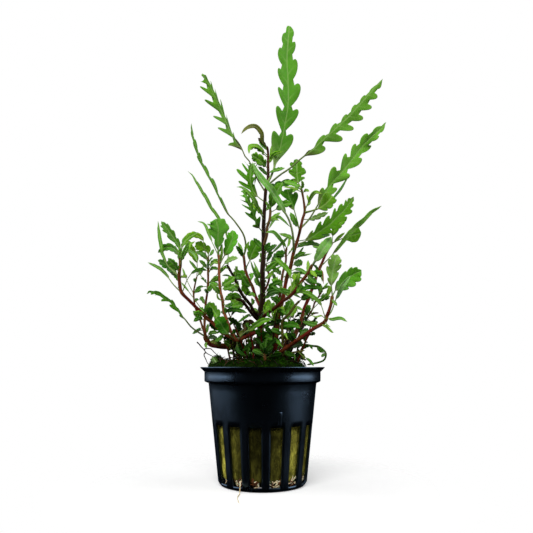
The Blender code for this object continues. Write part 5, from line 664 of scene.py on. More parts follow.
    ("oval", 1.4, 0.2, 0, 14, "bright", [(16, 88.5, 0), (15.5, 91.5, -7), (16.5, 95, -9)]),
    ("toothed", 1.5, 0.2, 0, 14, "dark", [(5.5, 79, 0), (7.5, 82, 5.5), (10.5, 83, 9)]),
], "centre_shoot": [
    ("oval", 1.9, 0.2, 0, 14, "mid", [(2.5, 96, 0), (4.5, 98, 3.5), (8, 101, 5.5)]),
    ("strap", 0.6, 0.3, 0, 14, "mid", [(3, 92.5, 0), (5, 95.5, -3.5), (8.5, 98, -5.5)]),
    ("oval", 0.8, 0.3, 0, 14, "bright", [(1.5, 98.5, 0), (0, 101, 3.5), (-1, 104, 5.5)]),
], "olive_branch": [
    ("oval", 2.1, 0.15, -14, 14, "dark", [(16.5, 82.5, 0), (19, 84, -2), (22.5, 86, -3.5)]),
    ("oval", 1.3, 0.3, 0, 14, "bright", [(10.5, 75, 0), (13, 76, 3.5), (15.5, 80, 5.5)]),
    ("oval", 1.0, 0.25, 0, 14, "bright", [(9, 73, 0), (9, 77, 0), (9, 80, 2)]),
    ("strap", 0.7, 0.2, 0, 14, "mid", [(15, 80, 0), (16.5, 79, -3.5), (18, 78, -5.5)]),
    ("strap", 0.7, 0.25, 0, 14, "bright", [(9, 67.5, 0), (10.5, 67, -5.5), (11.5, 65, -9)]),
    ("oval", 1.5, 0.2, 0, 14, "mid", [(9, 73, 0), (11.5, 76, 5.5), (12.5, 80, 9)]),
    ("oval", 1.4, 0.2, 0, 14, "dark", [(9, 66.5, 0), (6.5, 68.5, -3.5), (4, 69, -5.5)]),
], "right_tendril": [
    ("strap", 0.6, 0.2, 10, 14, "dark", [(20, 62.5, 0), (21.5, 62, -2), (22.5, 60.5, -3.5)]),
    ("strap", 0.9, 0.2, 10, 14, "dark", [(24, 62, 0), (25.5, 60.5, -2), (27.5, 59, -3.5)]),
    ("oval", 0.8, 0.2, 10, 14, "dark", [(28.5, 58.5, 0), (27.5, 58, -2), (26.5, 57, -3.5)]),
], "right_twig": [
    ("strap", 0.7, 0.5, 10, 14, "dark", [(16, 59.5, 0), (18, 57.5, -2), (20.5, 56, -3.5), (22, 54.5, -4.5),
        (23, 53, -5.5)]),
    ("oval", 0.9, 0.25, 10, 14, "olive", [(17, 59.5, 0), (18, 58, 2), (19, 56, 2)]),
    ("strap", 0.4, 0.3, 10, 14, "dark", [(14, 59, 0), (14.5, 57.5, 0), (14.5, 55.5, 0)]),
], "slender_right_stem": [
    ("strap", 0.7, 0.3, 20, 14, "mid", [(26, 85.5, 0), (27.5, 88, -4.5), (30.5, 89, -9)]),
    ("strap", 0.5, 0.4, 10, 14, "mid", [(26.5, 86.5, 0), (27.5, 88, 4.5), (29.5, 90.5, 8)]),
    ("oval", 0.9, 0.4, 10, 14, "mid", [(20, 74, 0), (22, 73, 3.5), (25, 72.5, 7)]),
    ("oval", 0.9, 0.3, 10, 14, "dark", [(17.5, 69.5, 0), (19, 68.5, -3.5), (21, 67.5, -5.5)]),
]}

# Low tufts on the moss, grown by rule: foot across and back, height, leaves, reach and seed
TUFTS = [
    ("left_undergrowth", -11.0, -4.0, 5.0, 9, 8.5, 3),
    ("middle_undergrowth", 1.0, -17.0, 4.5, 12, 7.5, 5),
    ("right_undergrowth", 4.5, 13.5, 9.0, 12, 8.5, 8),
]
# Tones of the tufts' leaves, dark as painted shade
TUFT_TONES = ("deep", "dark", "deep")
STUMP_RADIUS = 0.7

# Turn in degrees from one leaf of a tuft, or one low shoot, to the next
STEADY_TURN = 137.5

# The pale fallen leaf on the moss: (x, y, z)
FALLEN_LEAF = [(-18.4, -7.6, 52.9), (-20.3, -6.6, 54.6), (-22.2, -4.8, 56.9)]

# The root that comes out of a slot and lies along the surface: (x, y, z)
ROOT_ROUTE = [(-9.2, -16.9, 4.6), (-9.3, -18.6, 3.2), (-9.4, -20.0, 1.6), (-9.5, -21.2, 0.5),
    (-9.6, -23.5, 0.3), (-10.0, -28.0, 0.3), (-9.6, -33.0, 0.3), (-8.9, -37.0, 0.3)]

# Thin dark roots in the air at the left of the rim, on the elevation
AIR_ROOTS = [
    [(-29.5, 63.7, 2), (-26.5, 60.5, 2), (-24.5, 58.3, 3), (-22.0, 57.0, 4)],
    [(-25.5, 59.2, 2), (-26.3, 57.5, 1), (-24.2, 53.5, 2)],
    [(-26.5, 60.5, 2), (-23.5, 60.8, 1), (-21.5, 59.0, 1), (-20.5, 57.5, 3)],
]


# Lines in space

def unit(vectors):
    """Vectors of length one."""
    return vectors / np.maximum(np.linalg.norm(vectors, axis=-1, keepdims=True), 1e-9)


def turned(radius, turn, height):
    """Points at a radius from the pot's axis, a turn round it and a height."""
    return np.stack(np.broadcast_arrays(radius * np.cos(turn), radius * np.sin(turn), height), axis=-1)


def smooth_step(low, high, value):
    """0 below low, 1 above high, and 3 t^2 - 2 t^3 between them."""
    share = np.clip((np.asarray(value, float) - low) / (high - low), 0.0, 1.0)
    return share * share * (3.0 - 2.0 * share)


def place(line):
    """Opens a line on the elevation out in depth, so that it still looks the same from the eye."""
    line = np.asarray(line, float)
    spread = 1.0 + line[:, 2] / EYE_DISTANCE
    up = RIM_HEIGHT + (line[:, 1] - RIM_HEIGHT) * spread
    return np.stack([line[:, 0] * spread, line[:, 2], up], axis=1)


def smooth_line(points):
    """Catmull-Rom curve through the points, with CURVE_STEPS steps between two of them."""
    points = np.asarray(points, float)
    ends = np.vstack([2 * points[0] - points[1], points, 2 * points[-1] - points[-2]])
    a, b, c, d = (ends[start:len(ends) - 3 + start, None] for start in range(4))
    step = np.linspace(0.0, 1.0, CURVE_STEPS, endpoint=False)[None, :, None]
    bend = (2 * a - 5 * b + 4 * c - d) * step**2 + (3 * b - a - 3 * c + d) * step**3
    curve = b + 0.5 * ((c - a) * step + bend)
    return np.vstack([curve.reshape(-1, points.shape[1]), points[-1:]])


def run_lengths(line):
    """Length along the line up to each of its points."""
    return np.concatenate([[0.0], np.cumsum(np.linalg.norm(np.diff(line, axis=0), axis=1))])


def read_line(line, lengths):
    """Points of the line at the given lengths from its start."""
    run = run_lengths(line)
    return np.stack([np.interp(lengths, run, line[:, axis]) for axis in range(line.shape[1])], axis=1)


def even_line(line, count=FINE_STEPS):
    """The line again, with its points evenly spaced."""
    return read_line(line, np.linspace(0.0, run_lengths(line)[-1], count))


def grown_from(parent, route):
    """Elevation line of a route whose foot is laid on its parent, with depths counted from there."""
    route = np.array(route, float)
    if parent is not None:
        nearest = np.argmin(np.linalg.norm(parent["elevation"][:, :2] - route[0, :2], axis=1))
        route[:, 2] += parent["elevation"][nearest, 2] - route[0, 2]
        route[0] = parent["elevation"][nearest]
    return smooth_line(route)


def ripple(points, wavelength, seed):
    """A soft swell between about -1 and 1: the mean of nine plane waves in seeded directions."""
    chance = np.random.default_rng(seed)
    heading = unit(chance.normal(size=(9, 3))) * (2.0 * np.pi / wavelength) * chance.uniform(0.7, 1.4, (9, 1))
    return np.sin(points @ heading.T + chance.uniform(0.0, 2.0 * np.pi, 9)).sum(axis=-1) / 4.0


# Skins: arrays of corners, faces, places on the skin and colours

def skin(rings, starts, ends, heights, colours, slot=0, flip=False, caps=None):
    """Skin over rings[body, row, column]: quads join neighbouring rows and columns, the last column
    meets the first, and a fan closes each end of each body on the points in caps, else on the middle
    of the end ring.  A quad's place on the skin is (starts, heights) on its first column and
    (ends, heights) on its second."""
    bodies, rows, columns = rings.shape[:3]
    number = np.arange(bodies * rows * columns).reshape(bodies, rows, columns)
    after = np.roll(number, -1, axis=2)
    quads = np.stack([number[:, :-1], after[:, :-1], after[:, 1:], number[:, 1:]], axis=-1)
    across = np.stack([starts[:, :-1], ends[:, :-1], ends[:, 1:], starts[:, 1:]], axis=-1)
    up = np.stack([heights[:, :-1], heights[:, :-1], heights[:, 1:], heights[:, 1:]], axis=-1)
    quad_uv = np.stack([across, up], axis=-1).reshape(-1, 4, 2)
    if caps is None:
        caps = np.stack([rings[:, 0].mean(axis=1), rings[:, -1].mean(axis=1)], axis=1)
    middles = number.size + np.arange(2 * bodies).reshape(bodies, 2, 1) + np.zeros((1, 1, columns), int)
    foot = np.stack([middles[:, 0], after[:, 0], number[:, 0]], axis=-1)
    tip = np.stack([middles[:, 1], number[:, -1], after[:, -1]], axis=-1)
    foot_uv, tip_uv = (np.stack([np.stack(across, -1), np.stack([heights[:, row]] * 3, -1)], -1)
        for row, across in ((0, (starts[:, 0], ends[:, 0], starts[:, 0])),
            (-1, (starts[:, -1], starts[:, -1], ends[:, -1]))))
    quads, triangles = quads.reshape(-1, 4), np.concatenate([foot.reshape(-1, 3), tip.reshape(-1, 3)])
    triangle_uv = np.concatenate([foot_uv.reshape(-1, 3, 2), tip_uv.reshape(-1, 3, 2)])
    if flip:
        quads, quad_uv = quads[:, ::-1], quad_uv[:, ::-1]
        triangles, triangle_uv = triangles[:, ::-1], triangle_uv[:, ::-1]
    end_colours = np.stack([colours[:, 0].mean(axis=1), colours[:, -1].mean(axis=1)], axis=1)
    return {"corners": np.concatenate([rings.reshape(-1, 3), caps.reshape(-1, 3)]), "quads": quads,
        "triangles": triangles, "quad_uv": quad_uv, "triangle_uv": triangle_uv,
        "colours": np.concatenate([colours.reshape(-1, 3), end_colours.reshape(-1, 3)]), "slot": slot}


def plain_skin(rings, colours=1.0):
    """Skin over rings[row, column] of one body, with no places on it."""
    nothing = np.zeros((1,) + rings.shape[:2])
    return skin(rings[None], nothing, nothing, nothing, np.broadcast_to(colours, (1,) + rings.shape))


def threads(lines, radii, sides, colours, slot=0):
    """Tubes along many lines at once, lines[thread, point] with radii[thread, point].

    Round each point stands a ring of corners, radius times (cos turn, sin turn) on two directions
    square to the line.  Places on the skin are (turn, length along the thread)."""
    along = unit(np.gradient(lines, axis=1))
    least = np.argmin(np.abs(along).max(axis=1), axis=1)
    side = unit(np.cross(along, np.eye(3)[least][:, None, :]))
    other = np.cross(along, side)
    turn = 2.0 * np.pi * np.arange(sides) / sides
    spokes = np.cos(turn)[:, None] * side[:, :, None] + np.sin(turn)[:, None] * other[:, :, None]
    rings = lines[:, :, None] + radii[:, :, None, None] * spokes
    ends = np.stack([lines[:, 0] - 0.3 * radii[:, :1] * along[:, 0],
        lines[:, -1] + 0.7 * radii[:, -1:] * along[:, -1]], axis=1)
    steps = np.linalg.norm(np.diff(lines, axis=1), axis=2)
    run = np.concatenate([np.zeros((len(lines), 1)), np.cumsum(steps, axis=1)], axis=1)
    shape = rings.shape[:3]
    starts = np.broadcast_to(np.arange(sides) / sides, shape)
    heights = np.broadcast_to(run[:, :, None], shape)
    colours = np.broadcast_to(np.asarray(colours, float), shape + (3,))
    return skin(rings, starts, starts + 1.0 / sides, heights, colours, slot, caps=ends)


def make_piece(name, skins, finishes, node=None):
    """Puts skins together into one mesh in metres, parents it to the root body and hides the part it stands
    for.
    """
    offsets = np.cumsum([0] + [len(part["corners"]) for part in skins[:-1]])
    corners = np.concatenate([part["corners"] for part in skins]) * MM
    quads, triangles = (np.concatenate([part[kind] + offset for part, offset in zip(skins, offsets)])
        for kind in ("quads", "triangles"))
    slots = np.concatenate([np.full(len(part[kind]), part["slot"]) for kind in ("quads", "triangles")
        for part in skins])
    places = np.concatenate([part[kind].reshape(-1, 2) for kind in ("quad_uv", "triangle_uv")
        for part in skins])
    colours = np.concatenate([part["colours"] for part in skins])
    used, joined = np.unique(np.concatenate([quads.ravel(), triangles.ravel()]), return_inverse=True)
    corners, colours = corners[used], colours[used]
    mesh = bpy.data.meshes.new(name)
    mesh.vertices.add(len(corners))
    mesh.vertices.foreach_set("co", corners.astype(np.float32).ravel())
    mesh.loops.add(quads.size + triangles.size)
    mesh.loops.foreach_set("vertex_index", joined.ravel().astype(np.int32))
    mesh.polygons.add(len(quads) + len(triangles))
    starts = np.concatenate([4 * np.arange(len(quads)), quads.size + 3 * np.arange(len(triangles))])
    mesh.polygons.foreach_set("loop_start", starts.astype(np.int32))
    mesh.polygons.foreach_set("material_index", slots.astype(np.int32))
    mesh.polygons.foreach_set("use_smooth", np.ones(len(slots), bool))
    mesh.uv_layers.new(name="skin").data.foreach_set("uv", places.astype(np.float32).ravel())
    tint = mesh.color_attributes.new("tint", "FLOAT_COLOR", "POINT")
    colours = np.hstack([colours, np.ones((len(colours), 1))])
    tint.data.foreach_set("color", colours.astype(np.float32).ravel())
    mesh.update(calc_edges=True)
    for finish in finishes:
        mesh.materials.append(finish)
    thing = bpy.data.objects.new(name, mesh)
    bpy.context.scene.collection.objects.link(thing)
    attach(thing, "root")
    if node:
        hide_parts(node)


# Leaves

def crossways(line):
    """Unit vectors along, to the side of and out of a line; out leans to the viewer."""
    along = unit(np.gradient(line, axis=0))
    side = unit(np.cross(np.array([0.0, 1.0, 0.0]), along))
    return along, side, np.cross(side, along)


def margin(leaf, share, phase, sizes):
    """Reach of one edge of a blade from the midrib, and how far it is moved along the midrib.

    The reach is the width times (4 s (1 - s)) ** bluntness, times the lobes, with s bent so that its
    top lies at the widest place.  Over one lobe, passed part p from 0 to 1, the edge runs as half an
    ellipse: its place along the lobe is -cos(pi p), and its reach is sin(pi p) to a power that is larger
    on the lobe's near side.  The notches between lobes get shallow towards the tip."""
    near_foot, near_tip, _, widest, bluntness, gap = leaf["shape"]
    bent = share ** (math.log(0.5) / math.log(widest))
    envelope = np.clip(4.0 * bent * (1.0 - bent), 0.0, 1.0) ** (bluntness + TIP_POINT * share)
    part = phase % 1.0
    swing = np.clip(np.sin(np.pi * part), 0.0, 1.0) ** (1.25 - 0.6 * part)
    between = near_foot + (near_tip - near_foot) * smooth_step(0.05, 0.9, share)
    size = sizes[np.minimum(phase.astype(int), len(sizes) - 1)]
    reach = leaf["width"] * envelope * (between + (1.0 - between) * size * swing)
    pitch = leaf["blade_length"] / leaf["lobes"]
    shift = pitch * (-0.5 * (1.0 - gap) * np.cos(np.pi * part) - (part - 0.5))
    return reach, shift * (1.0 - smooth_step(0.85, 1.0, share))


def by_side(on_left, rows):
    """Each row's value for the left edge where on_left, else the one for the right edge."""
    return np.where(on_left, rows[1][:, None], rows[0][:, None])


def evenly_leaning(line):
    """The line with its depth eased to a parabola over its length, and its foot kept where it was."""
    run = np.linspace(0.0, 1.0, len(line))
    depth = np.polyval(np.polyfit(run, line[:, 1], 2), run)
    eased = line.copy()
    eased[:, 1] = depth + (line[0, 1] - depth[0]) * (1.0 - run)
    return eased


def leaf_colour(leaf, share, under, edge, chance):
    """Colours of a leaf's corners: the stalk's own, then the leaf's tone, a little lighter towards the
    tip, paler and bluer underneath, and redder along the edge and on a worn tip."""
    share = share[:, None, None]
    green = np.array(TONES[leaf["tone"]]) * leaf["light"] * chance.uniform(0.86, 1.12)
    green = green * np.array([chance.uniform(0.85, 1.2), 1.0, 1.0])
    blade = smooth_step(-0.01, 0.16, share)
    colour = green * (0.92 + 0.16 * share) * np.ones(edge.shape)[..., None]
    colour = colour * (1.0 + np.where(under, 1.0, 0.0)[None, :, None] * (np.array(UNDERSIDE) - 1.0))
    colour = colour * (1.0 + 0.12 * edge[..., None] * np.array([1.0, 0.6, 0.0]))
    colour = (1.0 - blade) * np.array(STALKS[leaf["petiole"]]) + blade * colour
    if leaf["worn"]:
        colour = colour + smooth_step(0.95, 1.0, share) * (np.array(WORN_TIP) - colour)
    return colour


def leaf_rows(leaf):
    """Places of a leaf's rows along its line, and their shares of the blade, which are 0 in the stalk."""
    rows, stalk = ROWS_PER_LOBE[leaf["detail"]] * (leaf["lobes"] + 1), leaf["stalk"]
    even = np.linspace(0.0, 1.0, rows)
    blade = 0.6 * even + 0.2 * (1.0 - np.cos(np.pi * even))
    steps = np.linspace(0, 1, STALK_ROWS[leaf["detail"]], endpoint=False)
    where = np.concatenate([stalk * steps, stalk + (1.0 - stalk) * blade])
    return where, np.concatenate([0.0 * steps, blade])


def leaf_frame(leaf, where):
    """Points of the leaf's line at its rows, with unit vectors along it, to its side and out of its
    face, the last two turned about the line by the leaf's turn."""
    line = even_line(leaf["line"])
    if leaf["even_lean"]:
        line = evenly_leaning(line)
    along, side, out = crossways(line)
    turn, steps = math.radians(leaf["turn"]), np.linspace(0.0, 1.0, len(line))
    side, out = math.cos(turn) * side - math.sin(turn) * out, math.cos(turn) * out + math.sin(turn) * side
    return (np.stack([np.interp(where, steps, field[:, axis]) for axis in range(3)], axis=1)
        for field in (line, along, side, out))


def leaf_columns(detail):
    """Columns round a leaf's section, from the right edge over the face to the left edge and back behind:
    the turn of each, its share of the half width, whether it is a flank of the rib, and its face, which
    is 1 in front, -1 behind and 0 at the edges."""
    half = np.array(HALF_COLUMNS[detail])
    columns = 4 * (len(half) - 1)
    quarter = np.arange(columns) % (2 * len(half) - 2)
    quarter = np.minimum(quarter, 2 * len(half) - 2 - quarter)
    turn = 2.0 * np.pi * np.arange(columns) / columns
    face = np.where(np.sin(turn) > 0.0, 1.0, -1.0) * (np.abs(np.sin(turn)) > 1e-6)
    return turn, half[quarter], quarter == len(half) - 2, face


def leaf_skin(leaf, slot, seed):
    """A leaf as one closed skin, from a round stalk that flattens into a thin two-sided blade.

    In the stalk a row's section is a circle, in the blade a lens as wide as the margin, with a rib in
    the middle.  The two halves lean out by the fold, the section is sheared forward along the midrib by
    the sweep of the lobes, and the edges wave a little with them.  Places on the skin are (distance from
    the midrib, number of lobes passed)."""
    chance = np.random.default_rng(seed)
    where, share = leaf_rows(leaf)
    line, along, side, out = leaf_frame(leaf, where)
    turn, wide_share, flank, face = leaf_columns(leaf["detail"])
    on_left = np.cos(turn + np.pi / len(turn)) < 0.0
    flat = smooth_step(0.0, 0.06, share)[:, None]
    leans = [(math.radians(leaf["fold"]) + math.radians(lift)) * flat for lift in leaf["lift"]]
    right = np.cos(leans[0]) * side + np.sin(leans[0]) * out
    left = np.sin(leans[1]) * out - np.cos(leans[1]) * side
    leaf["blade_length"] = run_lengths(line)[-1] * (1.0 - leaf["stalk"])
    opened = 1.0 + line[:, 1] / EYE_DISTANCE
    phases, widths, shifts = [], [], []
    for offset in (0.0, leaf["offset"][0] + (leaf["offset"][1] - leaf["offset"][0]) * share):
        drift = 0.1 * np.sin(2.0 * np.pi * (share * 1.3 + chance.uniform()))
        phase = np.clip(share**LOBE_CROWDING * leaf["lobes"] + offset + drift, 0.0, None)
        width, shift = margin(leaf, share, phase, 1.0 - 0.2 * chance.random(leaf["lobes"] + 2))
        phases.append(phase)
        widths.append(np.maximum(width * leaf["reach"][len(widths)], LEAST_WIDTH) * opened)
        shifts.append(shift)
    wide = by_side(np.cos(turn) < -1e-6, widths)
    stalk_radius = leaf["thick"] * (1.0 - 0.25 * where / max(leaf["stalk"], 0.01)).clip(0.6, 1.0)[:, None]
    rib = leaf["thick"] * (1.0 - 0.85 * share)[:, None]
    across = np.where(flank, np.minimum(1.2 * rib, 0.12 * wide), wide * wide_share)
    middle = np.exp(-(across / (0.9 * rib + 0.02)) ** 2)
    height = face * HALF_THICKNESS * np.sqrt(1.0 - wide_share**2)
    height = height + np.where(face < 0.0, -0.75 * rib * middle, -0.06 * middle)
    height = np.where(wide > NARROW, height, height * wide / NARROW)
    across = across * np.where(np.cos(turn) < 0.0, -1.0, 1.0)
    across = (1 - flat) * stalk_radius * np.cos(turn) + flat * across
    height = (1 - flat) * stalk_radius * np.sin(turn) + flat * height
    out_share = np.abs(across) / np.maximum(wide, LEAST_WIDTH)
    edge = out_share**2 * flat
    wave = leaf["wave"] * np.sin(2.0 * np.pi * by_side(across < 0.0, phases) + chance.uniform(0, 6))
    height = height + edge * wave * np.minimum(wide, 5.0) / 5.0
    sweep = math.tan(math.radians(leaf["shape"][2])) * (1.0 - 0.6 * smooth_step(0.75, 1.0, share))[:, None]
    forward = (np.abs(across) * sweep + by_side(across < 0.0, shifts) * out_share) * flat
    lateral = (np.maximum(across, 0.0)[..., None] * right[:, None]
        + np.maximum(-across, 0.0)[..., None] * left[:, None])
    rings = line[:, None] + lateral + forward[..., None] * along[:, None] + height[..., None] * out[:, None]
    caps = np.stack([line[0], line[-1] + 0.2 * along[-1]])[None]
    starts = across[None]
    return skin(rings[None], starts, np.roll(starts, -1, axis=2), by_side(on_left, phases)[None],
        leaf_colour(leaf, share, face < 0.0, edge, chance)[None], slot, True, caps)


def blade_record(line, form, lobes, width, stalk, turn, fold, tone, thick=0.3, detail="large"):
    """A leaf on its line, with the traits that most leaves share."""
    return {"line": line, "shape": FORMS[form], "lobes": lobes, "width": width, "stalk": stalk, "turn": turn,
        "fold": fold, "tone": tone, "thick": thick, "detail": detail, "wave": EDGE_WAVE, "petiole": "olive",
        "worn": False, "lift": (0, 0), "reach": (1.0, 1.0), "offset": (0.45, 0.45), "light": 1.0,
        "even_lean": False}


def leaf_record(parent, form, lobes, width, stalk, turn, fold, tone, route):
    """A leaf with a piece of its own."""
    return blade_record(place(grown_from(parent, route)), form, max(lobes, FEWEST_LOBES[form]), width, stalk,
        turn, fold, tone)


def young_record(parent, form, width, stalk, turn, fold, tone, route):
    """A leaf grown in one with its stem."""
    return blade_record(place(grown_from(parent, route)), form, YOUNG_LOBES[form], width, stalk, turn, fold,
        tone, 0.22, "young")


def axil_leaves(line, heights, spacing, share, lengths, chance, tones=SMALL_TONES):
    """Small leaves in pairs at even joints along a stem, each pair turned a quarter from the last.

    A leaf leans out from the stem by its rise and bends down a little at the tip."""
    total = run_lengths(line)[-1]
    leaves = []
    turn = chance.uniform(0.0, math.pi)
    for number in range(max(1, round(total / spacing))):
        turn += 0.5 * math.pi + chance.uniform(-0.5, 0.5)
        at = (number + 0.6 + chance.uniform(-0.2, 0.2)) * spacing
        foot, after = read_line(line, min(at, total - 0.6) + np.array([0.0, 0.5]))
        along = unit(after - foot)
        side = unit(np.cross(along, np.array([0.3, 1.0, 0.2])))
        for heading in (turn, turn + math.pi):
            length, rise = chance.uniform(*lengths), math.radians(chance.uniform(28, 68))
            reach, pick = chance.uniform(0.17, 0.3), chance.random()
            around = math.cos(heading) * side + math.sin(heading) * np.cross(along, side)
            out = math.sin(rise) * around + math.cos(rise) * along
            tip = foot + length * out + np.array([0.0, 0.0, -0.16 * length])
            form, lean, fold = chance.choice(SMALL_FORMS), chance.uniform(-70, 70), chance.uniform(4, 24)
            if pick < share and heights[0] < foot[2] < heights[1] and tip[2] > MOSS_EDGE + 1.5:
                # Below SHADE_HEIGHT a leaf takes one of the darker tones, as painted shade
                tone = chance.choice(tones if foot[2] > SHADE_HEIGHT else SHADE_TONES)
                leaves.append(blade_record(smooth_line([foot, foot + 0.55 * length * out, tip]), form, 3,
                    reach * length, 0.2, lean, fold, tone, 0.16, "small"))
    return leaves


def low_shoots(number, seed):
    """Short dark shoots about the foot of the plant, set round it by a steady turn and leaning out."""
    chance = random.Random(seed)
    shoots = []
    for order in range(number):
        heading = math.radians(STEADY_TURN * order + 20)
        radius = SHOOT_NEAR + SHOOT_SPREAD * math.sqrt((order + 0.5) / number)
        across = SHOOT_MIDDLE[0] + SHOOT_ROUND[0] * radius * math.cos(heading)
        back = SHOOT_MIDDLE[1] + SHOOT_ROUND[1] * radius * math.sin(heading)
        height, lean = chance.uniform(*SHOOT_HEIGHTS), math.radians(chance.uniform(*SHOOT_LEANS))
        out = np.array([math.cos(heading), math.sin(heading), 0.0]) * math.tan(lean) * height
        ground = np.array([across, back, float(moss_height(across, back)) - 1.0])
        middle = ground + 0.45 * out * chance.uniform(0.4, 1.0)
        middle = middle + np.array([chance.uniform(-1, 1), 0.0, 0.5 * height])
        line = smooth_line([ground, middle, ground + out + np.array([0.0, 0.0, height + 1.0])])
        # Their leaves take the darker tones and a lower light factor, as painted shade
        leaves = axil_leaves(line, (0.0, math.inf), SHOOT_SPACING, SHOOT_SHARE, SHOOT_LENGTHS, chance,
            SHADE_TONES)
        for leaf in leaves:
            leaf["light"] = SHADE_LIGHT
        shoots.append({"bark": chance.choice(SHOOT_BARKS), "foot": SHOOT_FOOT, "tip": SHOOT_TIP, "line": line,
            "young": leaves})
    return shoots


def stem_records():
    """All stems by name, each with its elevation, its line in space and its young leaves."""
    stems = {}
    for name, on, bark, foot, tip, route in STEMS:
        elevation = grown_from(stems.get(on), route)
        stems[name] = {"bark": bark, "foot": foot, "tip": tip, "on": on, "elevation": elevation,
            "line": place(elevation), "new_wood": name == "main_stem"}
        stems[name]["young"] = [young_record(stems[name], *row) for row in YOUNG_LEAVES.get(name, [])]
    return stems


def moss_height(x, y):
    """Height of the moss: a low dome with a few soft lumps, sunken at the left."""
    away = np.hypot(x - MOSS_OFFSET, y) / MOSS_RADIUS
    dome = MOSS_EDGE + MOSS_CROWN * np.clip(1.0 - away**2, 0.0, 1.0) ** 0.6
    lumps = np.sin(0.55 * x + 1.3) * np.cos(0.5 * y + 0.4) + 0.6 * np.sin(0.9 * y - 0.4 * x)
    sunken = MOSS_SINK * smooth_step(1.0, -8.0, x) * np.clip(2.2 * (1.0 - away), 0.0, 1.0)
    return dome + 0.8 * lumps * np.clip(1.0 - away, 0.0, 1.0) - sunken


def tuft_record(across, back, height, leaves, reach, seed):
    """A short stump with leaves set round it by a steady turn, the upper ones steeper."""
    chance = random.Random(seed)
    ground = float(moss_height(across, back))
    line = smooth_line([(across, back, ground + rise) for rise in (-1.0, 0.5 * height, height)])
    young = []
    for number in range(leaves):
        share = (number + 0.5) / leaves
        heading = math.radians(STEADY_TURN * number)
        rise = math.radians(12 + 60 * share + chance.uniform(-8, 8))
        length = reach * chance.uniform(0.65, 1.1)
        foot = np.array([across, back, ground + 0.8 + share * (height - 1.2)])
        level = np.array([math.cos(heading), math.sin(heading), 0.0])
        up = np.array([0.0, 0.0, 1.0])
        middle = foot + length * (0.5 * math.cos(rise) * level + 0.6 * math.sin(rise) * up)
        tip = foot + length * (math.cos(rise) * level + 0.95 * math.sin(rise) * up)
        young.append(blade_record(smooth_line([foot, middle, tip]), "oval", 3, chance.uniform(1.0, 1.7), 0.25,
            chance.uniform(-40, 40), 12, TUFT_TONES[number % len(TUFT_TONES)], 0.2, "young"))
        # The tuft's leaves are painted darker, as shade
        young[-1]["light"] = SHADE_LIGHT
    return {"bark": "brown", "foot": STUMP_RADIUS, "tip": 0.5 * STUMP_RADIUS, "on": "", "line": line,
        "young": young}


# Stems

def stem_skin(stem, joints, sides, seed):
    """A tapering stem: a tube along its line whose radius swells as a bell where leaves and branches
    join it, and closes round at the tip.  The bark turns green at the joints and towards the tip."""
    total = run_lengths(stem["line"])[-1]
    count = max(12, int(total / 0.8))
    lengths = np.linspace(0.0, total, count)
    line = read_line(stem["line"], lengths)
    radii = stem["foot"] + (stem["tip"] - stem["foot"]) * lengths / total
    swell = np.zeros(count)
    for joint in joints:
        swell = np.maximum(swell, np.exp(-((lengths - joint) / (1.3 * stem["foot"] + 0.4)) ** 2))
    radii = radii * (1.0 + 0.16 * swell) * np.sqrt(np.clip((total - lengths) / 0.8, 0.06, 1.0))
    bark = np.array(BARKS[stem["bark"]])
    if stem.get("new_wood"):
        bark = bark + (np.array(NEW_WOOD) - bark) * smooth_step(0.72, 0.88, lengths / total)[:, None]
    green = np.maximum(0.2 * swell, 0.4 * smooth_step(0.8, 1.0, lengths / total) if total > 12 else 0.1)
    green = green * (0.3 if stem["bark"] == "plum" else 1.0)
    drift = 1.0 + 0.25 * ripple(line, 14.0, seed)
    colours = (1.0 - green)[:, None] * bark * drift[:, None] + green[:, None] * np.array(NODE_GREEN)
    # Painted light: round each stem one side is lighter and the other darker, turned by the seed
    shade = 1.0 + 0.3 * np.cos(2.0 * np.pi * np.arange(sides) / sides + seed)
    return threads(line[None], radii[None], sides, colours[None, :, None] * shade[:, None])


def joints_of(stem, others):
    """Lengths along a stem at which other lines spring from it."""
    run = run_lengths(stem["line"])
    return [run[np.argmin(np.linalg.norm(stem["line"] - line[0], axis=1))] for line in others]


# The pot

def wall_radius(height):
    """Outer radius of the pot's body, which tapers evenly to its foot."""
    share = (height - SLOT_FOOT) / (COLLAR_FOOT - SLOT_FOOT)
    return 0.5 * (BODY_DIAMETER_FOOT + (BODY_DIAMETER_TOP - BODY_DIAMETER_FOOT) * share)


def pot_sections():
    """Half sections of the pot, outer and inner, with as many points each, from the middle of the floor
    out and up to the lip; and the row numbers of the drains and of the slots."""
    drains, slots = np.linspace(*DRAIN_RADII, DRAIN_ROWS), np.linspace(SLOT_FOOT, SLOT_TOP, SLOT_ROWS)
    sections = [np.array([(radius, floor) for radius in (POT_MIDDLE, *drains)] + foot
        + [(wall_radius(height) - inset, height) for height in (*slots, *WALL_ROWS, top)] + lip)
        for floor, inset, top, foot, lip in ((0.0, 0.0, WALL_TOP_OUTSIDE, FOOT_OUTSIDE, LIP_OUTSIDE),
            (WALL, WALL, WALL_TOP_INSIDE, FOOT_INSIDE, LIP_INSIDE))]
    first_slot = 1 + DRAIN_ROWS + len(FOOT_OUTSIDE)
    return *sections, (1, DRAIN_ROWS), (first_slot, first_slot + SLOT_ROWS - 1)


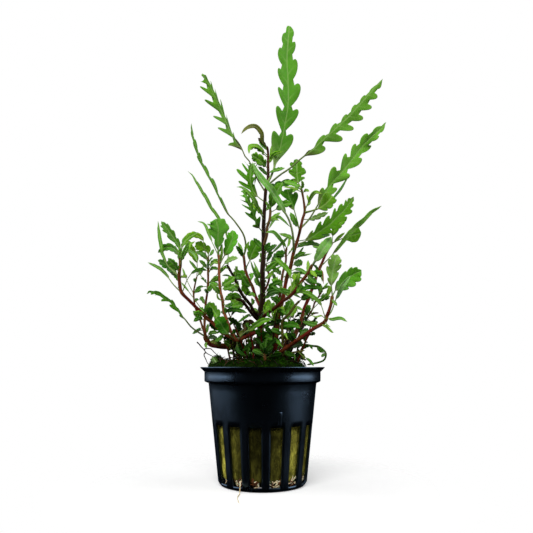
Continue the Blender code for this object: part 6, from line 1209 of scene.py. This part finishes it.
def pot_skin():
    """The pot: its section turned round the axis, with a row of slots let through the wall and one of
    drains through the floor.  Columns stand at the slots' edges, the cells inside each opening are left
    out of both faces, and its four sides are walled across from the outer to the inner face."""
    outer, inner, drains, slots = pot_sections()
    rows = len(outer)
    section = np.concatenate([outer, inner[::-1]])
    pitch = 2.0 * np.pi / SLOTS
    steps = np.concatenate([np.linspace(0, SLOT_SHARE, SLOT_COLUMNS, endpoint=False),
        np.linspace(SLOT_SHARE, 1.0, RIB_COLUMNS, endpoint=False)])
    rib_middle = (0.5 + 0.5 * SLOT_SHARE) * pitch
    turn = ((np.arange(SLOTS)[:, None] + steps) * pitch).ravel()
    turn = turn + math.radians(FIRST_RIB_TURN - 90.0) - rib_middle
    columns, full = len(turn), 2 * rows
    rings = turned(section[:, :1], turn, section[:, 1:])
    starts = np.broadcast_to(np.arange(columns) / columns, (1, full, columns))
    heights = np.broadcast_to((np.arange(full) / rows)[None, :, None], (1, full, columns))
    whole = skin(rings[None], starts, starts + 1.0 / columns, heights, np.ones((1, *rings.shape)))
    in_slot = np.arange(columns) % (SLOT_COLUMNS + RIB_COLUMNS) < SLOT_COLUMNS
    keep = np.ones((full - 1, columns), bool)
    walls = []
    number = np.arange(full * columns).reshape(full, columns)
    left = np.arange(0, columns, SLOT_COLUMNS + RIB_COLUMNS)
    right = (left + SLOT_COLUMNS) % columns
    across = np.nonzero(in_slot)[0]
    after = (across + 1) % columns
    for low, high in (drains, slots):
        keep[low:high, in_slot] = False
        keep[full - 1 - high:full - 1 - low, in_slot] = False
        row = np.arange(low, high)[:, None]
        back = full - 1 - row
        walls.append(np.stack([number[row, left], number[back, left], number[back - 1, left],
            number[row + 1, left]], -1))
        walls.append(np.stack([number[row, right], number[row + 1, right], number[back - 1, right],
            number[back, right]], -1))
        for edge, order in ((low, 1), (high, -1)):
            behind = full - 1 - edge
            walls.append(np.stack([number[edge, across], number[edge, after], number[behind, after],
                number[behind, across]], -1)[:, ::order])
    walls = np.concatenate([wall.reshape(-1, 4) for wall in walls])
    whole["quads"] = np.concatenate([whole["quads"][keep.ravel()], walls])
    whole["quad_uv"] = np.concatenate([whole["quad_uv"][keep.ravel()], np.zeros((len(walls), 4, 2))])
    return whole


def strip_skin():
    """The low moulded strip on the wall: a pad whose front stands proud by a flat-topped bell."""
    across, up = np.linspace(-1.0, 1.0, 9), np.linspace(-1.0, 1.0, 21)
    height = (STRIP_MIDDLE + STRIP_HALF_HEIGHT * up)[:, None]
    turn = math.radians(-90.0 + STRIP_TURN) + math.radians(STRIP_HALF_TURN) * across
    proud = STRIP_PROUD * (1.0 - across[None, :] ** 8) * (1.0 - up[:, None] ** 8) - STRIP_SUNK
    front = wall_radius(height) + proud
    behind = np.broadcast_to(wall_radius(height) - 0.2, front.shape)
    reach = np.concatenate([front, behind[:, ::-1]], axis=1)
    return plain_skin(turned(reach, np.concatenate([turn, turn[::-1]]), height))


# The wool, the moss and small things

def wool_painted_light(turn):
    """Turns from the front in degrees, and the painted light on the wool there: a factor on its colour,
    darker in front and lighter towards the sides.
    """
    from_front = (np.degrees(turn) + 270.0) % 360.0 - 180.0
    return from_front, np.interp(from_front, WOOL_TURNS, WOOL_PAINTED_LIGHT)


def wool_skin():
    """The wool plug: a turned section that follows the inside of the pot, with swells pushed in and out,
    a dent where it has drawn away from the wall at the right, and a cushion pressed out in each slot."""
    inner = wall_radius(WOOL_HEIGHTS) - WALL - WOOL_GAP
    section = smooth_line([(1.0, 1.3), (7.0, 1.3), (13.5, 1.4), (15.4, 1.7), (16.8, 2.6),
        (inner[0] - 0.9, 3.8), *zip(inner, WOOL_HEIGHTS), (inner[-1] - 1.2, 47.2),
        (inner[-1] - 4.0, WOOL_TOP), (10.0, WOOL_TOP), (1.0, WOOL_TOP)])[::3]
    turn = 2.0 * np.pi * np.arange(WOOL_COLUMNS) / WOOL_COLUMNS
    rings = turned(section[:, :1], turn, section[:, 1:])
    height = rings[..., 2]
    inward = 0.45 * (1.0 + ripple(rings, 9.0, 11)) + 0.22 * (1.0 + ripple(rings, 3.0, 12))
    away = np.degrees(turn) - 360.0 * (np.degrees(turn) > 180.0)
    dent = DENT_DEPTH * np.exp(-((away - DENT_TURN) / DENT_BREADTH) ** 2)
    inward = inward + dent * smooth_step(10, 15, height) * smooth_step(33, 27, height)
    span = np.hypot(rings[..., 0], rings[..., 1])
    side = smooth_step(3.0, 12.0, span) * smooth_step(1.3, 3.0, height)
    pitch = 360.0 / SLOTS
    off_middle = np.abs((np.degrees(turn) + 90.0 - FIRST_RIB_TURN) % pitch - 0.5 * pitch)
    cushion = smooth_step(0.5 * SLOT_SHARE * pitch, 0.4 * SLOT_SHARE * pitch, off_middle)
    cushion = cushion * smooth_step(2.4, 4.5, height) * smooth_step(SLOT_TOP - 0.3, SLOT_TOP - 2.5, height)
    pressed = inward.clip(0.0, 3.0) * side - WOOL_CUSHION * cushion
    rings[..., :2] *= ((span - pressed) / span)[..., None]
    light = 0.9 + 0.3 * ripple(rings, 12.0, 13) + 0.2 * ripple(rings, 4.0, 14)
    # Painted light on the wool's colour round the pot: lighter towards the sides and darker in front
    from_front, painted_side_light = wool_painted_light(turn)
    # Painted shade under the wall over the front slots: the upper part of the wool in front is darker
    painted_overhang_shade = 1.0 - 0.55 * np.exp(-((from_front - 2.0) / 32.0) ** 2) * smooth_step(14.0, 26.0, height)
    # Painted shade at the foot of the wool, where it draws in from the wall: darker below about 5.5 mm
    light = light * (0.35 + 0.65 * smooth_step(2.0, 5.5, height)) * (painted_side_light * painted_overhang_shade)
    return plain_skin(rings, light[..., None])


def wool_fibres():
    """Loose fibres on the wool: short bent threads that start on its side and lean off it."""
    chance = np.random.default_rng(21)
    count, points = WOOL_FIBRES, 6
    turn, height = chance.uniform(0, 2 * np.pi, count), chance.uniform(*FIBRE_HEIGHTS, count)
    radius = wall_radius(height) - WALL - 0.9
    heading = chance.normal(0.0, 0.5, count) + 0.5 * np.sin(turn * 3.0)
    length = chance.uniform(*FIBRE_LENGTHS, count)
    step = np.linspace(0.0, 1.0, points)
    bow = chance.uniform(-0.25, 0.25, count)[:, None] * np.sin(np.pi * step)
    up = height[:, None] + length[:, None] * (step * np.cos(heading)[:, None] + bow * 0.4)
    around = turn[:, None] + (length[:, None] * (step * np.sin(heading)[:, None] + bow)) / radius[:, None]
    lifted = 0.6 * np.sin(np.pi * step) * chance.uniform(0.3, 1.0, count)[:, None]
    lines = turned(wall_radius(up) - WALL - 0.8 + lifted, around, up.clip(2.0, 32.0))
    radii = np.full((count, points), FIBRE_RADIUS) * np.linspace(1.0, 0.5, points)
    # The fibres carry the wool's painted light round the pot, spread at random
    colours = (chance.uniform(0.8, 1.7, count) * wool_painted_light(turn)[1])[:, None, None, None] * np.ones(3)
    return threads(lines, radii, 3, colours, 1)


def moss_lump(x, y):
    """Height of the lump at the left of the moss: a bell."""
    return LUMP_HEIGHT * np.exp(-((x - LUMP_ACROSS) ** 2 + (y - LUMP_BACK) ** 2) / (2.0 * LUMP_SPREAD**2))


def moss_skin():
    """The moss on the wool: rings from the middle of its flat underside out and up to the crown, raised
    by the dome's height, a fine swell and the lump."""
    turn = 2.0 * np.pi * np.arange(MOSS_COLUMNS) / MOSS_COLUMNS
    share = np.concatenate([[0.05, 0.5, 0.97], [1.0, 1.0], np.linspace(0.985, 0.02, MOSS_ROWS)])[:, None]
    x = MOSS_OFFSET + MOSS_RADIUS * share * np.cos(turn)
    y = MOSS_RADIUS * share * np.sin(turn)
    ground = WOOL_TOP + 0.3
    height = np.full_like(x, ground)
    top = 4
    height[top - 1] = ground + 0.6
    height[top:] = moss_height(x[top:], y[top:])
    rings = np.stack([x, y, height], axis=-1)
    swell = 0.35 * ripple(rings, 4.0, 31) + 0.2 * ripple(rings, 1.6, 32)
    rings[top:, :, 2] += swell[top:]
    rings[..., 2] = np.maximum(rings[..., 2], ground)
    rings[top:, :, 2] += moss_lump(x, y)[top:]
    return plain_skin(rings)


def moss_threads():
    """Moss shoots: short tapering threads all over the dome, bent over by a seeded lean."""
    chance = np.random.default_rng(33)
    count, points = MOSS_SHOOTS, len(STRAND_PROFILE)
    share, turn = np.sqrt(chance.uniform(0, 1, count)), chance.uniform(0, 2 * np.pi, count)
    x = MOSS_OFFSET + 0.985 * MOSS_RADIUS * share * np.cos(turn)
    y = 0.985 * MOSS_RADIUS * share * np.sin(turn)
    foot = np.stack([x, y, moss_height(x, y) + moss_lump(x, y) - 0.3], axis=-1)
    lean = unit(turned(1.0, turn, 1.6) + chance.normal(0, 0.7, (count, 3)))
    lean[:, 2] = np.abs(lean[:, 2])
    droop = unit(lean * [1.0, 1.0, 0.15])
    length = chance.uniform(*STRAND_LENGTHS, count) * (1.0 - 0.45 * smooth_step(0.75, 1.0, share))
    step = np.linspace(0.0, 1.0, points)[None, :, None]
    bent = (step - 0.45 * step**2) * lean[:, None] + 0.45 * step**2 * droop[:, None]
    lines = foot[:, None] + length[:, None, None] * bent
    radii = np.broadcast_to(np.array(STRAND_PROFILE), (count, points))
    # Painted light: the shoots' colour is darker at the left and lighter at the right
    painted_sunlight = smooth_step(-16.0, 14.0, x)[:, None]
    colour = (1 - painted_sunlight) * np.array([0.55, 0.6, 0.6]) + painted_sunlight * np.array([1.2, 1.35, 1.0])
    colour = colour * chance.uniform(0.5, 1.5, (count, 1))
    return threads(lines, radii, 3, colour[:, None, None], 1)


def fallen_leaf():
    """The pale crumpled leaf that leans on the lump at the left of the moss."""
    leaf = blade_record(smooth_line(FALLEN_LEAF), "toothed", 4, 2.1, 0.05, 12, -22, "pale", 0.2, "young")
    leaf["light"] = 0.45
    return leaf_skin(leaf, slot=3, seed=71)


def moss_litter():
    """Short brown threads and flakes lying about on the moss."""
    chance = np.random.default_rng(35)
    count, points = LITTER, 6
    share, turn = np.sqrt(chance.uniform(0, 0.95, count)), chance.uniform(0, 2 * np.pi, count)
    x = MOSS_OFFSET + MOSS_RADIUS * share * np.cos(turn)
    y = MOSS_RADIUS * share * np.sin(turn)
    heading = chance.uniform(0, 2 * np.pi, count)[:, None]
    length = chance.uniform(*LITTER_LENGTHS, count)[:, None]
    step = np.linspace(-0.5, 0.5, points)[None, :]
    bow = chance.uniform(-0.4, 0.4, count)[:, None] * (0.25 - step**2)
    x = x[:, None] + length * (step * np.cos(heading) - bow * np.sin(heading))
    y = y[:, None] + length * (step * np.sin(heading) + bow * np.cos(heading))
    rise = chance.uniform(0.6, 1.9, count)[:, None]
    rise = rise + chance.uniform(-0.5, 0.5, count)[:, None] * step * length
    lines = np.stack([x, y, moss_height(x, y) + rise], axis=-1)
    radii = chance.uniform(0.08, 0.26, count)[:, None] * np.sin(np.pi * (0.5 + 0.85 * step)).clip(0.2)
    colours = np.array(LITTER_COLOURS)[chance.integers(0, len(LITTER_COLOURS), count)]
    return threads(lines, radii, 4, colours[:, None, None], 2)


def root_bits():
    """Root ends and brown husks that lie at the feet of the slots, between the wool and the wall."""
    chance = np.random.default_rng(41)
    count, points = ROOT_ENDS_PER_SLOT * SLOTS, 8
    slot = np.repeat(np.arange(SLOTS), ROOT_ENDS_PER_SLOT)
    middle = math.radians(FIRST_RIB_TURN - 90.0) + (slot + 0.5) * 2.0 * np.pi / SLOTS
    turn = middle + chance.uniform(-0.09, 0.09, count)
    step = np.linspace(0.0, 1.0, points)[None, :]
    length = chance.uniform(*ROOT_END_LENGTHS, count)[:, None]
    heading = chance.uniform(-1.3, 1.3, count)[:, None]
    radius = chance.uniform(18.2, 19.2, count)[:, None]
    coil = step * chance.uniform(0.5, 1.2, (count, 1)) + chance.uniform(0, 1, (count, 1))
    coil = 0.5 * np.sin(2.0 * np.pi * coil)
    around = turn[:, None] + (length * step * np.sin(heading) * 0.5 + coil) / radius
    up = chance.uniform(1.6, 4.6, count)[:, None] + length * step * np.abs(np.cos(heading)) * 0.6
    out = np.minimum(radius + coil * 0.5, wall_radius(up) - WALL - 0.35)
    lines = turned(out, around, up)
    husk = (chance.uniform(0, 1, count) < HUSK_SHARE)[:, None]
    radii = np.where(husk, HUSK_RADIUS, ROOT_END_RADIUS) * np.sin(np.pi * (0.12 + 0.8 * step))
    radii = radii * chance.uniform(0.7, 1.2, (count, 1))
    colours = np.where(husk[..., None], [[HUSK_COLOUR]], [[ROOT_END_COLOUR]])
    return threads(lines, radii, 5, colours[:, :, None] * chance.uniform(0.6, 1.2, (count, 1, 1, 1)))


def root_skin(line, wander, radii, sides, colour):
    """One root: a thread along a line moved off by wander."""
    line = line + wander
    line[:, 2] = np.maximum(line[:, 2], radii + 0.01)
    return threads(line[None], radii[None], sides, np.array(colour) * np.ones((1, len(line), 1, 3)))


def trailing_root_skin():
    """The root that lies along the surface: a thread of even thickness that wanders a little."""
    line = even_line(smooth_line(ROOT_ROUTE), 90)
    wander = 0.12 * np.stack([ripple(line, 5.0, 51), ripple(line, 4.0, 52), np.zeros(90)], axis=1)
    radii = ROOT_RADIUS * np.linspace(1.0, 0.55, 90) * (1.0 + 0.12 * ripple(line + wander, 2.0, 53))
    return root_skin(line, wander, radii, 8, ROOT_COLOUR)


def air_root_skins():
    """Thin dark roots in the air beside the rim."""
    skins = []
    for route in AIR_ROOTS:
        line = even_line(smooth_line(place(route)), 30)
        wander = [ripple(line, wave, seed) for wave, seed in ((3.0, 61), (3.5, 62), (2.8, 63))]
        skins.append(root_skin(line, 0.15 * np.stack(wander, axis=1),
            AIR_ROOT_RADIUS * np.linspace(1.0, 0.5, 30), 6, AIR_ROOT_COLOUR))
    return skins


# Finishes

def add(tree, kind, place_on=None, **settings):
    """A node with its settings: a setting names one of its inputs or, in small letters, a property."""
    made = tree.nodes.new("ShaderNode" + kind)
    for name, value in settings.items():
        if name in made.inputs:
            made.inputs[name].default_value = value
        else:
            setattr(made, name, value)
    if place_on is not None:
        tree.links.new(place_on, made.inputs["Vector"])
    return made


def sum_up(tree, operation, *values):
    """A Math node on sockets or numbers."""
    made = tree.nodes.new("ShaderNodeMath")
    made.operation = operation
    for number, value in enumerate(values):
        if isinstance(value, (int, float)):
            made.inputs[number].default_value = value
        else:
            tree.links.new(value, made.inputs[number])
    return made.outputs[0]


def graded(tree, value, low, high, first=0.0, last=1.0):
    """The value's place between low and high, smoothed, as a number from first to last."""
    made = add(tree, "MapRange", interpolation_type="SMOOTHSTEP")
    tree.links.new(value, made.inputs["Value"])
    for name, number in (("From Min", low), ("From Max", high), ("To Min", first), ("To Max", last)):
        made.inputs[name].default_value = number
    return made.outputs[0]


def blended(tree, share, first, last, blend="MIX"):
    """A mix of two colours, each a socket or a triple."""
    made = tree.nodes.new("ShaderNodeMix")
    made.data_type, made.blend_type = "RGBA", blend
    if isinstance(share, (int, float)):
        made.inputs[0].default_value = share
    else:
        tree.links.new(share, made.inputs[0])
    for number, colour in ((6, first), (7, last)):
        if isinstance(colour, tuple):
            made.inputs[number].default_value = (*colour, 1.0)
        else:
            tree.links.new(colour, made.inputs[number])
    return made.outputs[2]


def new_finish(name, roughness, **sockets):
    """An empty finish: its material, its tree, its shader, and the piece's own coordinates."""
    material = bpy.data.materials.new(name)
    material.use_nodes = True
    tree = material.node_tree
    shader = tree.nodes["Principled BSDF"]
    shader.inputs["Roughness"].default_value = roughness
    for socket, value in sockets.items():
        shader.inputs[socket.replace("_", " ")].default_value = value
    return material, tree, shader, tree.nodes.new("ShaderNodeTexCoord").outputs["Object"]


def own_colour(tree):
    """The colour that the piece's corners carry."""
    return add(tree, "Attribute", attribute_name="tint").outputs["Color"]


def on_skin(tree):
    """Places on the piece's skin."""
    return add(tree, "UVMap", uv_map="skin").outputs["UV"]


def noise(tree, place_on, scale, detail, **settings):
    """A cloudy pattern, as a number about a half."""
    return add(tree, "TexNoise", place_on, Scale=scale, Detail=detail, **settings).outputs["Fac"]


def times(tree, first, second):
    """The product of two sockets or numbers."""
    return sum_up(tree, "MULTIPLY", first, second)


def plus(tree, first, second):
    """The sum of two sockets or numbers."""
    return sum_up(tree, "ADD", first, second)


def multiplied(tree, first, second):
    """The product of two colours."""
    return blended(tree, 1.0, first, second, "MULTIPLY")


def lay_on(tree, shader, colour, roughness, height, distance, strength):
    """Joins a colour, a roughness and a height to the shader; the height becomes bump, and distance is
    what a height of one stands for, in metres."""
    tree.links.new(colour, shader.inputs["Base Color"])
    tree.links.new(roughness, shader.inputs["Roughness"])
    bump = add(tree, "Bump", Strength=strength, Distance=distance)
    tree.links.new(height, bump.inputs["Height"])
    tree.links.new(bump.outputs["Normal"], shader.inputs["Normal"])


def leaf_finish(name, vein_light, roughness):
    """Leaf: the piece's own green, mottled, with a pale midrib and a vein down the middle of each lobe,
    read from the distance across and the number of lobes passed, and a fine net between them."""
    material, tree, shader, own = new_finish(name, roughness, Subsurface_Weight=0.2,
        Subsurface_Scale=0.0012, Subsurface_Radius=(0.5, 1.0, 0.15), Specular_IOR_Level=0.2)
    parts = add(tree, "SeparateXYZ", on_skin(tree)).outputs
    off_rib = sum_up(tree, "ABSOLUTE", parts["X"])
    rib = graded(tree, off_rib, 0.14, 0.42, 1.0, 0.0)
    off_vein = sum_up(tree, "ABSOLUTE", sum_up(tree, "SUBTRACT", sum_up(tree, "FRACT", parts["Y"]), 0.55))
    vein = graded(tree, off_vein, 0.02, 0.075, 1.0, 0.0)
    vein = times(tree, vein, graded(tree, off_rib, 0.2, 3.6, 1.0, 0.15))
    blotch, grain = noise(tree, own, 190.0, 3.0), noise(tree, own, 1500.0, 2.0)
    net = add(tree, "TexVoronoi", own, Scale=1150.0, feature="DISTANCE_TO_EDGE").outputs["Distance"]
    net = graded(tree, net, 0.0, 0.12)
    shade = times(tree, graded(tree, blotch, 0.3, 0.7, 0.86, 1.14), graded(tree, grain, 0.2, 0.8, 0.96, 1.04))
    shade = times(tree, shade, plus(tree, times(tree, net, 0.04), 0.97))
    grey = add(tree, "CombineColor")
    for channel in ("Red", "Green", "Blue"):
        tree.links.new(shade, grey.inputs[channel])
    green = multiplied(tree, own_colour(tree), grey.outputs["Color"])
    light = blended(tree, 0.6, green, vein_light)
    green = blended(tree, times(tree, vein, 0.42), green, light)
    green = blended(tree, times(tree, rib, 0.8), green, light)
    height = plus(tree, times(tree, net, 0.25), times(tree, vein, -0.6))
    height = plus(tree, height, times(tree, blotch, 0.5))
    rough = graded(tree, blotch, 0.25, 0.75, roughness - 0.05, roughness + 0.1)
    lay_on(tree, shader, green, rough, height, 0.00006, 0.6)
    return material


def bark_finish(name):
    """Stem skin: the stem's own colour with fine streaks along it, glossy and faintly ridged."""
    material, tree, shader, own = new_finish(name, BARK_ROUGHNESS, Specular_IOR_Level=0.14)
    tint = own_colour(tree)
    scale = add(tree, "VectorMath", on_skin(tree), operation="MULTIPLY")
    scale.inputs[1].default_value = (9.0, 0.35, 1.0)
    streak, speck = noise(tree, scale.outputs[0], 2.2, 4.0), noise(tree, own, 900.0, 3.0)
    pale = blended(tree, 0.3, tint, (0.22, 0.07, 0.05))
    colour = blended(tree, graded(tree, streak, 0.55, 0.85, 0.0, 0.35), tint, pale)
    dark = multiplied(tree, colour, (0.55, 0.5, 0.55))
    colour = blended(tree, graded(tree, speck, 0.52, 0.75, 0.0, 0.6), colour, dark)
    rough = graded(tree, streak, 0.3, 0.7, BARK_ROUGHNESS - 0.07, BARK_ROUGHNESS + 0.12)
    lay_on(tree, shader, colour, rough, plus(tree, streak, times(tree, speck, 0.5)), 0.00015, 0.7)
    return material


def pot_finish():
    """Moulded black plastic: blue-black, satin, with a fine grain, faint upright flow marks and grime."""
    material, tree, shader, own = new_finish("pot_plastic", 0.3, Specular_IOR_Level=0.8, IOR=2.3,
        Specular_Tint=(0.42, 0.66, 1.0, 1.0))
    grain, cloud = noise(tree, own, 2600.0, 3.0), noise(tree, own, 70.0, 4.0)
    flow = noise(tree, add(tree, "Mapping", own, Scale=(420.0, 420.0, 22.0)).outputs[0], 1.0, 2.0)
    fleck = graded(tree, add(tree, "TexVoronoi", own, Scale=330.0).outputs["Distance"], 0.10, 0.2, 1.0, 0.0)
    colour = blended(tree, graded(tree, cloud, 0.3, 0.75), (0.0008, 0.0010, 0.0015), (0.0018, 0.0022, 0.0033))
    grime = times(tree, fleck, graded(tree, cloud, 0.5, 0.7, 0.0, 0.35))
    colour = blended(tree, grime, colour, (0.05, 0.05, 0.045))
    rough = plus(tree, graded(tree, cloud, 0.25, 0.75, 0.26, 0.36), times(tree, fleck, 0.12))
    height = plus(tree, times(tree, grain, 0.5), times(tree, flow, 0.6))
    lay_on(tree, shader, colour, rough, height, 0.00006, 0.8)
    return material


def wool_finish(name, light):
    """Rock wool: olive khaki with stretched fibres, paler strands and dark damp hollows."""
    material, tree, shader, own = new_finish(name, 0.92, Specular_IOR_Level=0.05)
    stretch = add(tree, "Mapping", own, Scale=(620.0, 620.0, 240.0), Rotation=(0.5, 0.6, 0.0)).outputs[0]
    fibre = noise(tree, stretch, 1.0, 5.0, Distortion=1.2)
    damp, speck = noise(tree, own, 85.0, 4.0), noise(tree, own, 1400.0, 3.0)
    colour = blended(tree, graded(tree, fibre, 0.32, 0.7), (0.055, 0.052, 0.007), light)
    colour = blended(tree, graded(tree, damp, 0.42, 0.66, 0.0, 0.6), colour, (0.022, 0.021, 0.003))
    colour = blended(tree, graded(tree, speck, 0.55, 0.75, 0.0, 0.5), colour, (0.24, 0.225, 0.05))
    lay_on(tree, shader, multiplied(tree, colour, own_colour(tree)), graded(tree, fibre, 0.3, 0.7, 0.8, 0.98),
        plus(tree, fibre, times(tree, speck, 0.4)), 0.0004, 0.9)
    return material


def moss_finish(name, dark, light):
    """Moss: deep green to yellow green in small tufts."""
    material, tree, shader, own = new_finish(name, 0.85, Specular_IOR_Level=0.03)
    tuft, speck = noise(tree, own, 260.0, 4.0), noise(tree, own, 1700.0, 3.0)
    colour = blended(tree, graded(tree, tuft, 0.35, 0.68), dark, light)
    hollow = tuple(0.45 * part for part in dark)
    colour = blended(tree, graded(tree, speck, 0.5, 0.72, 0.0, 0.5), colour, hollow)
    lay_on(tree, shader, multiplied(tree, colour, own_colour(tree)), graded(tree, tuft, 0.3, 0.7, 0.7, 0.92),
        plus(tree, tuft, times(tree, speck, 0.5)), 0.0006, 0.9)
    return material


def root_finish():
    """Roots and husks: the thread's own colour with darker joints and a dull skin."""
    material, tree, shader, own = new_finish("root", 0.7, Subsurface_Weight=0.1, Subsurface_Scale=0.0006)
    tint, patch = own_colour(tree), noise(tree, own, 600.0, 4.0)
    dull = multiplied(tree, tint, (0.55, 0.45, 0.33))
    lay_on(tree, shader, blended(tree, graded(tree, patch, 0.42, 0.68), tint, dull),
        graded(tree, patch, 0.3, 0.7, 0.55, 0.85), patch, 0.0002, 0.8)
    return material


# The stage

def floor_finish():
    """Pale floor that thins out into the white of the backdrop away from the pot."""
    material, tree, shader, own = new_finish("pale_floor", 0.85, Specular_IOR_Level=0.1,
        Emission_Color=(1.0, 1.0, 1.0, 1.0), Emission_Strength=0.22)
    grain = noise(tree, own, 40.0, 2.0)
    tree.links.new(blended(tree, grain, (0.87, 0.87, 0.87), (0.90, 0.90, 0.90)), shader.inputs["Base Color"])
    away = add(tree, "VectorMath", own, operation="LENGTH").outputs["Value"]
    tree.links.new(graded(tree, away, 0.03, 0.1, 1.0, 0.0), shader.inputs["Alpha"])
    return material


def set_stage():
    """A round floor, its centre under the pot."""
    count = FLOOR_COLUMNS
    turn = 2.0 * np.pi * np.arange(count) / count
    corners = turned(np.array(FLOOR_RADII)[:, None], turn, 0.0).reshape(-1, 3)
    rows, columns = np.mgrid[:len(FLOOR_RADII) - 1, :count]
    after = (columns + 1) % count
    quads = np.stack([rows * count + columns, (rows + 1) * count + columns, (rows + 1) * count + after,
        rows * count + after], -1)
    mesh = bpy.data.meshes.new("floor")
    mesh.from_pydata(corners.tolist(), [], quads.reshape(-1, 4).tolist() + [list(range(count))])
    mesh.materials.append(floor_finish())
    floor = bpy.data.objects.new("floor", mesh)
    floor.visible_glossy = False
    bpy.context.scene.collection.objects.link(floor)


def set_lights():
    """Two tall soft boxes beside the pot, one before it that lights it without showing in its gloss,
    and a dim room with a white backdrop."""
    for name, spot, size, power in BOXES:
        lamp = bpy.data.lights.new(name, "AREA")
        lamp.shape = "RECTANGLE"
        lamp.size, lamp.size_y = size
        lamp.energy = power
        box = bpy.data.objects.new(name, lamp)
        box.location = spot
        aim = np.array(BOX_AIM) - np.array(spot)
        heading = math.atan2(aim[1], aim[0])
        box.rotation_euler = (math.acos(-aim[2] / np.linalg.norm(aim)), 0.0, heading - 0.5 * math.pi)
        box.visible_glossy = name != "front_box"
        bpy.context.scene.collection.objects.link(box)
    world = bpy.data.worlds.new("room")
    world.use_nodes = True
    tree = world.node_tree
    rays = add(tree, "LightPath")
    strength = tree.nodes["Background"].inputs["Strength"]
    tree.nodes["Background"].inputs["Color"].default_value = (1.0, 1.0, 1.0, 1.0)
    dim = times(tree, rays.outputs["Is Diffuse Ray"], ROOM_LIGHT)
    tree.links.new(plus(tree, rays.outputs["Is Camera Ray"], dim), strength)
    bpy.context.scene.world = world
    bpy.context.scene.view_settings.view_transform = "Standard"


def set_camera():
    """The photograph's view: level, at the height of the rim, with the frame shifted up over the plant."""
    lens = bpy.data.cameras.new("camera")
    lens.sensor_width = 36.0
    lens.lens = EYE_DISTANCE / MM_PER_PIXEL / FRAME_PIXELS * lens.sensor_width
    lens.shift_x = (0.5 * FRAME_PIXELS - AXIS_COLUMN) / FRAME_PIXELS
    lens.shift_y = (EYE_ROW - 0.5 * FRAME_PIXELS) / FRAME_PIXELS
    lens.clip_start = 0.01
    eye = bpy.data.objects.new("camera", lens)
    eye.location = (0.0, -EYE_DISTANCE * MM, RIM_HEIGHT * MM)
    eye.rotation_euler = (0.5 * math.pi, 0.0, 0.0)
    bpy.context.scene.collection.objects.link(eye)
    bpy.context.scene.camera = eye


def grown_piece(name, bark, woods, leaves, finishes, node=None):
    """One piece of stem skins and of the leaves grown with them, each leaf given with its seed."""
    tones = sorted({leaf["tone"] for leaf, seed in leaves})
    skins = woods + [leaf_skin(leaf, 1 + tones.index(leaf["tone"]), seed) for leaf, seed in leaves]
    make_piece(name, skins, [finishes["stem_" + bark]] + [finishes["leaf_" + tone] for tone in tones], node)


def build():
    """All pieces, in the places of the frame's nodes."""
    finishes = {"leaf_" + tone: leaf_finish("leaf_" + tone, *look) for tone, look in VEINS.items()}
    finishes.update({"stem_" + bark: bark_finish("stem_" + bark) for bark in BARKS})
    plastic, roots = pot_finish(), root_finish()
    make_piece("slotted_pot", [pot_skin(), strip_skin()], [plastic], "pot")
    wool = [wool_finish("rock_wool", WOOL_COLOUR), wool_finish("wool_fibre", FIBRE_COLOUR)]
    make_piece("rock_wool_plug", [wool_skin(), wool_fibres()], wool, "rock_wool")
    moss = [moss_finish("moss", *MOSS_COLOURS), moss_finish("moss_shoot", *STRAND_COLOURS)]
    make_piece("moss_cushion", [moss_skin(), moss_threads(), moss_litter(), fallen_leaf()],
        moss + [roots, finishes["leaf_pale"]], "moss")
    make_piece("root_on_surface", [trailing_root_skin()], [roots], "trailing_root")
    make_piece("root_ends", [root_bits()], [roots], None)
    make_piece("air_roots", air_root_skins(), [roots], None)
    stems = stem_records()
    for name, *tuft in TUFTS:
        stems[name] = tuft_record(*tuft)
    leaves = {name: (on, leaf_record(stems[on], *rest)) for name, on, *rest in LEAVES}
    for number, (name, stem) in enumerate(stems.items()):
        springing = [other["line"] for other in stems.values() if other["on"] == name]
        springing += [leaf["line"] for on, leaf in leaves.values() if on == name]
        springing += [leaf["line"] for leaf in stem["young"]]
        if stem["on"] and stem["foot"] > 0.45 and name not in BARE_STEMS:
            stem["young"] += axil_leaves(stem["line"], AXIL_HEIGHTS, AXIL_SPACING, AXIL_SHARE, AXIL_LENGTHS,
                random.Random(number))
        sides = 12 if stem["foot"] > 1 else 9
        wood = stem_skin(stem, joints_of(stem, springing), sides, seed=number)
        seeded = [(leaf, 1000 * number + order) for order, leaf in enumerate(stem["young"])]
        grown_piece(name + "_grown", stem["bark"], [wood], seeded, finishes, name)
    shoots = low_shoots(LOW_SHOOTS, seed=17)
    woods = [stem_skin(shoot, [], sides=6, seed=order) for order, shoot in enumerate(shoots)]
    seeded = [(leaf, 50000 + 100 * number + order) for number, shoot in enumerate(shoots)
        for order, leaf in enumerate(shoot["young"])]
    grown_piece("low_shoots", "plum", woods, seeded, finishes)
    for number, (name, (on, leaf)) in enumerate(leaves.items()):
        leaf.update(LEAF_TRAITS.get(name, {}))
        tone = "leaf_" + leaf["tone"]
        make_piece(name + "_blade", [leaf_skin(leaf, 0, 7 + number)], [finishes[tone]], name)


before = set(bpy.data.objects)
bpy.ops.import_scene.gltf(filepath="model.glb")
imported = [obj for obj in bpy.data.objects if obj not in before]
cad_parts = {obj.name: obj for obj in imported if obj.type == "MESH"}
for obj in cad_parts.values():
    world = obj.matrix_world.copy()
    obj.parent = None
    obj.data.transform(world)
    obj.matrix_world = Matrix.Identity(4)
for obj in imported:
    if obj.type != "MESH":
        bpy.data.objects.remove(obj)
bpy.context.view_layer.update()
build()
set_stage()
set_lights()
set_camera()
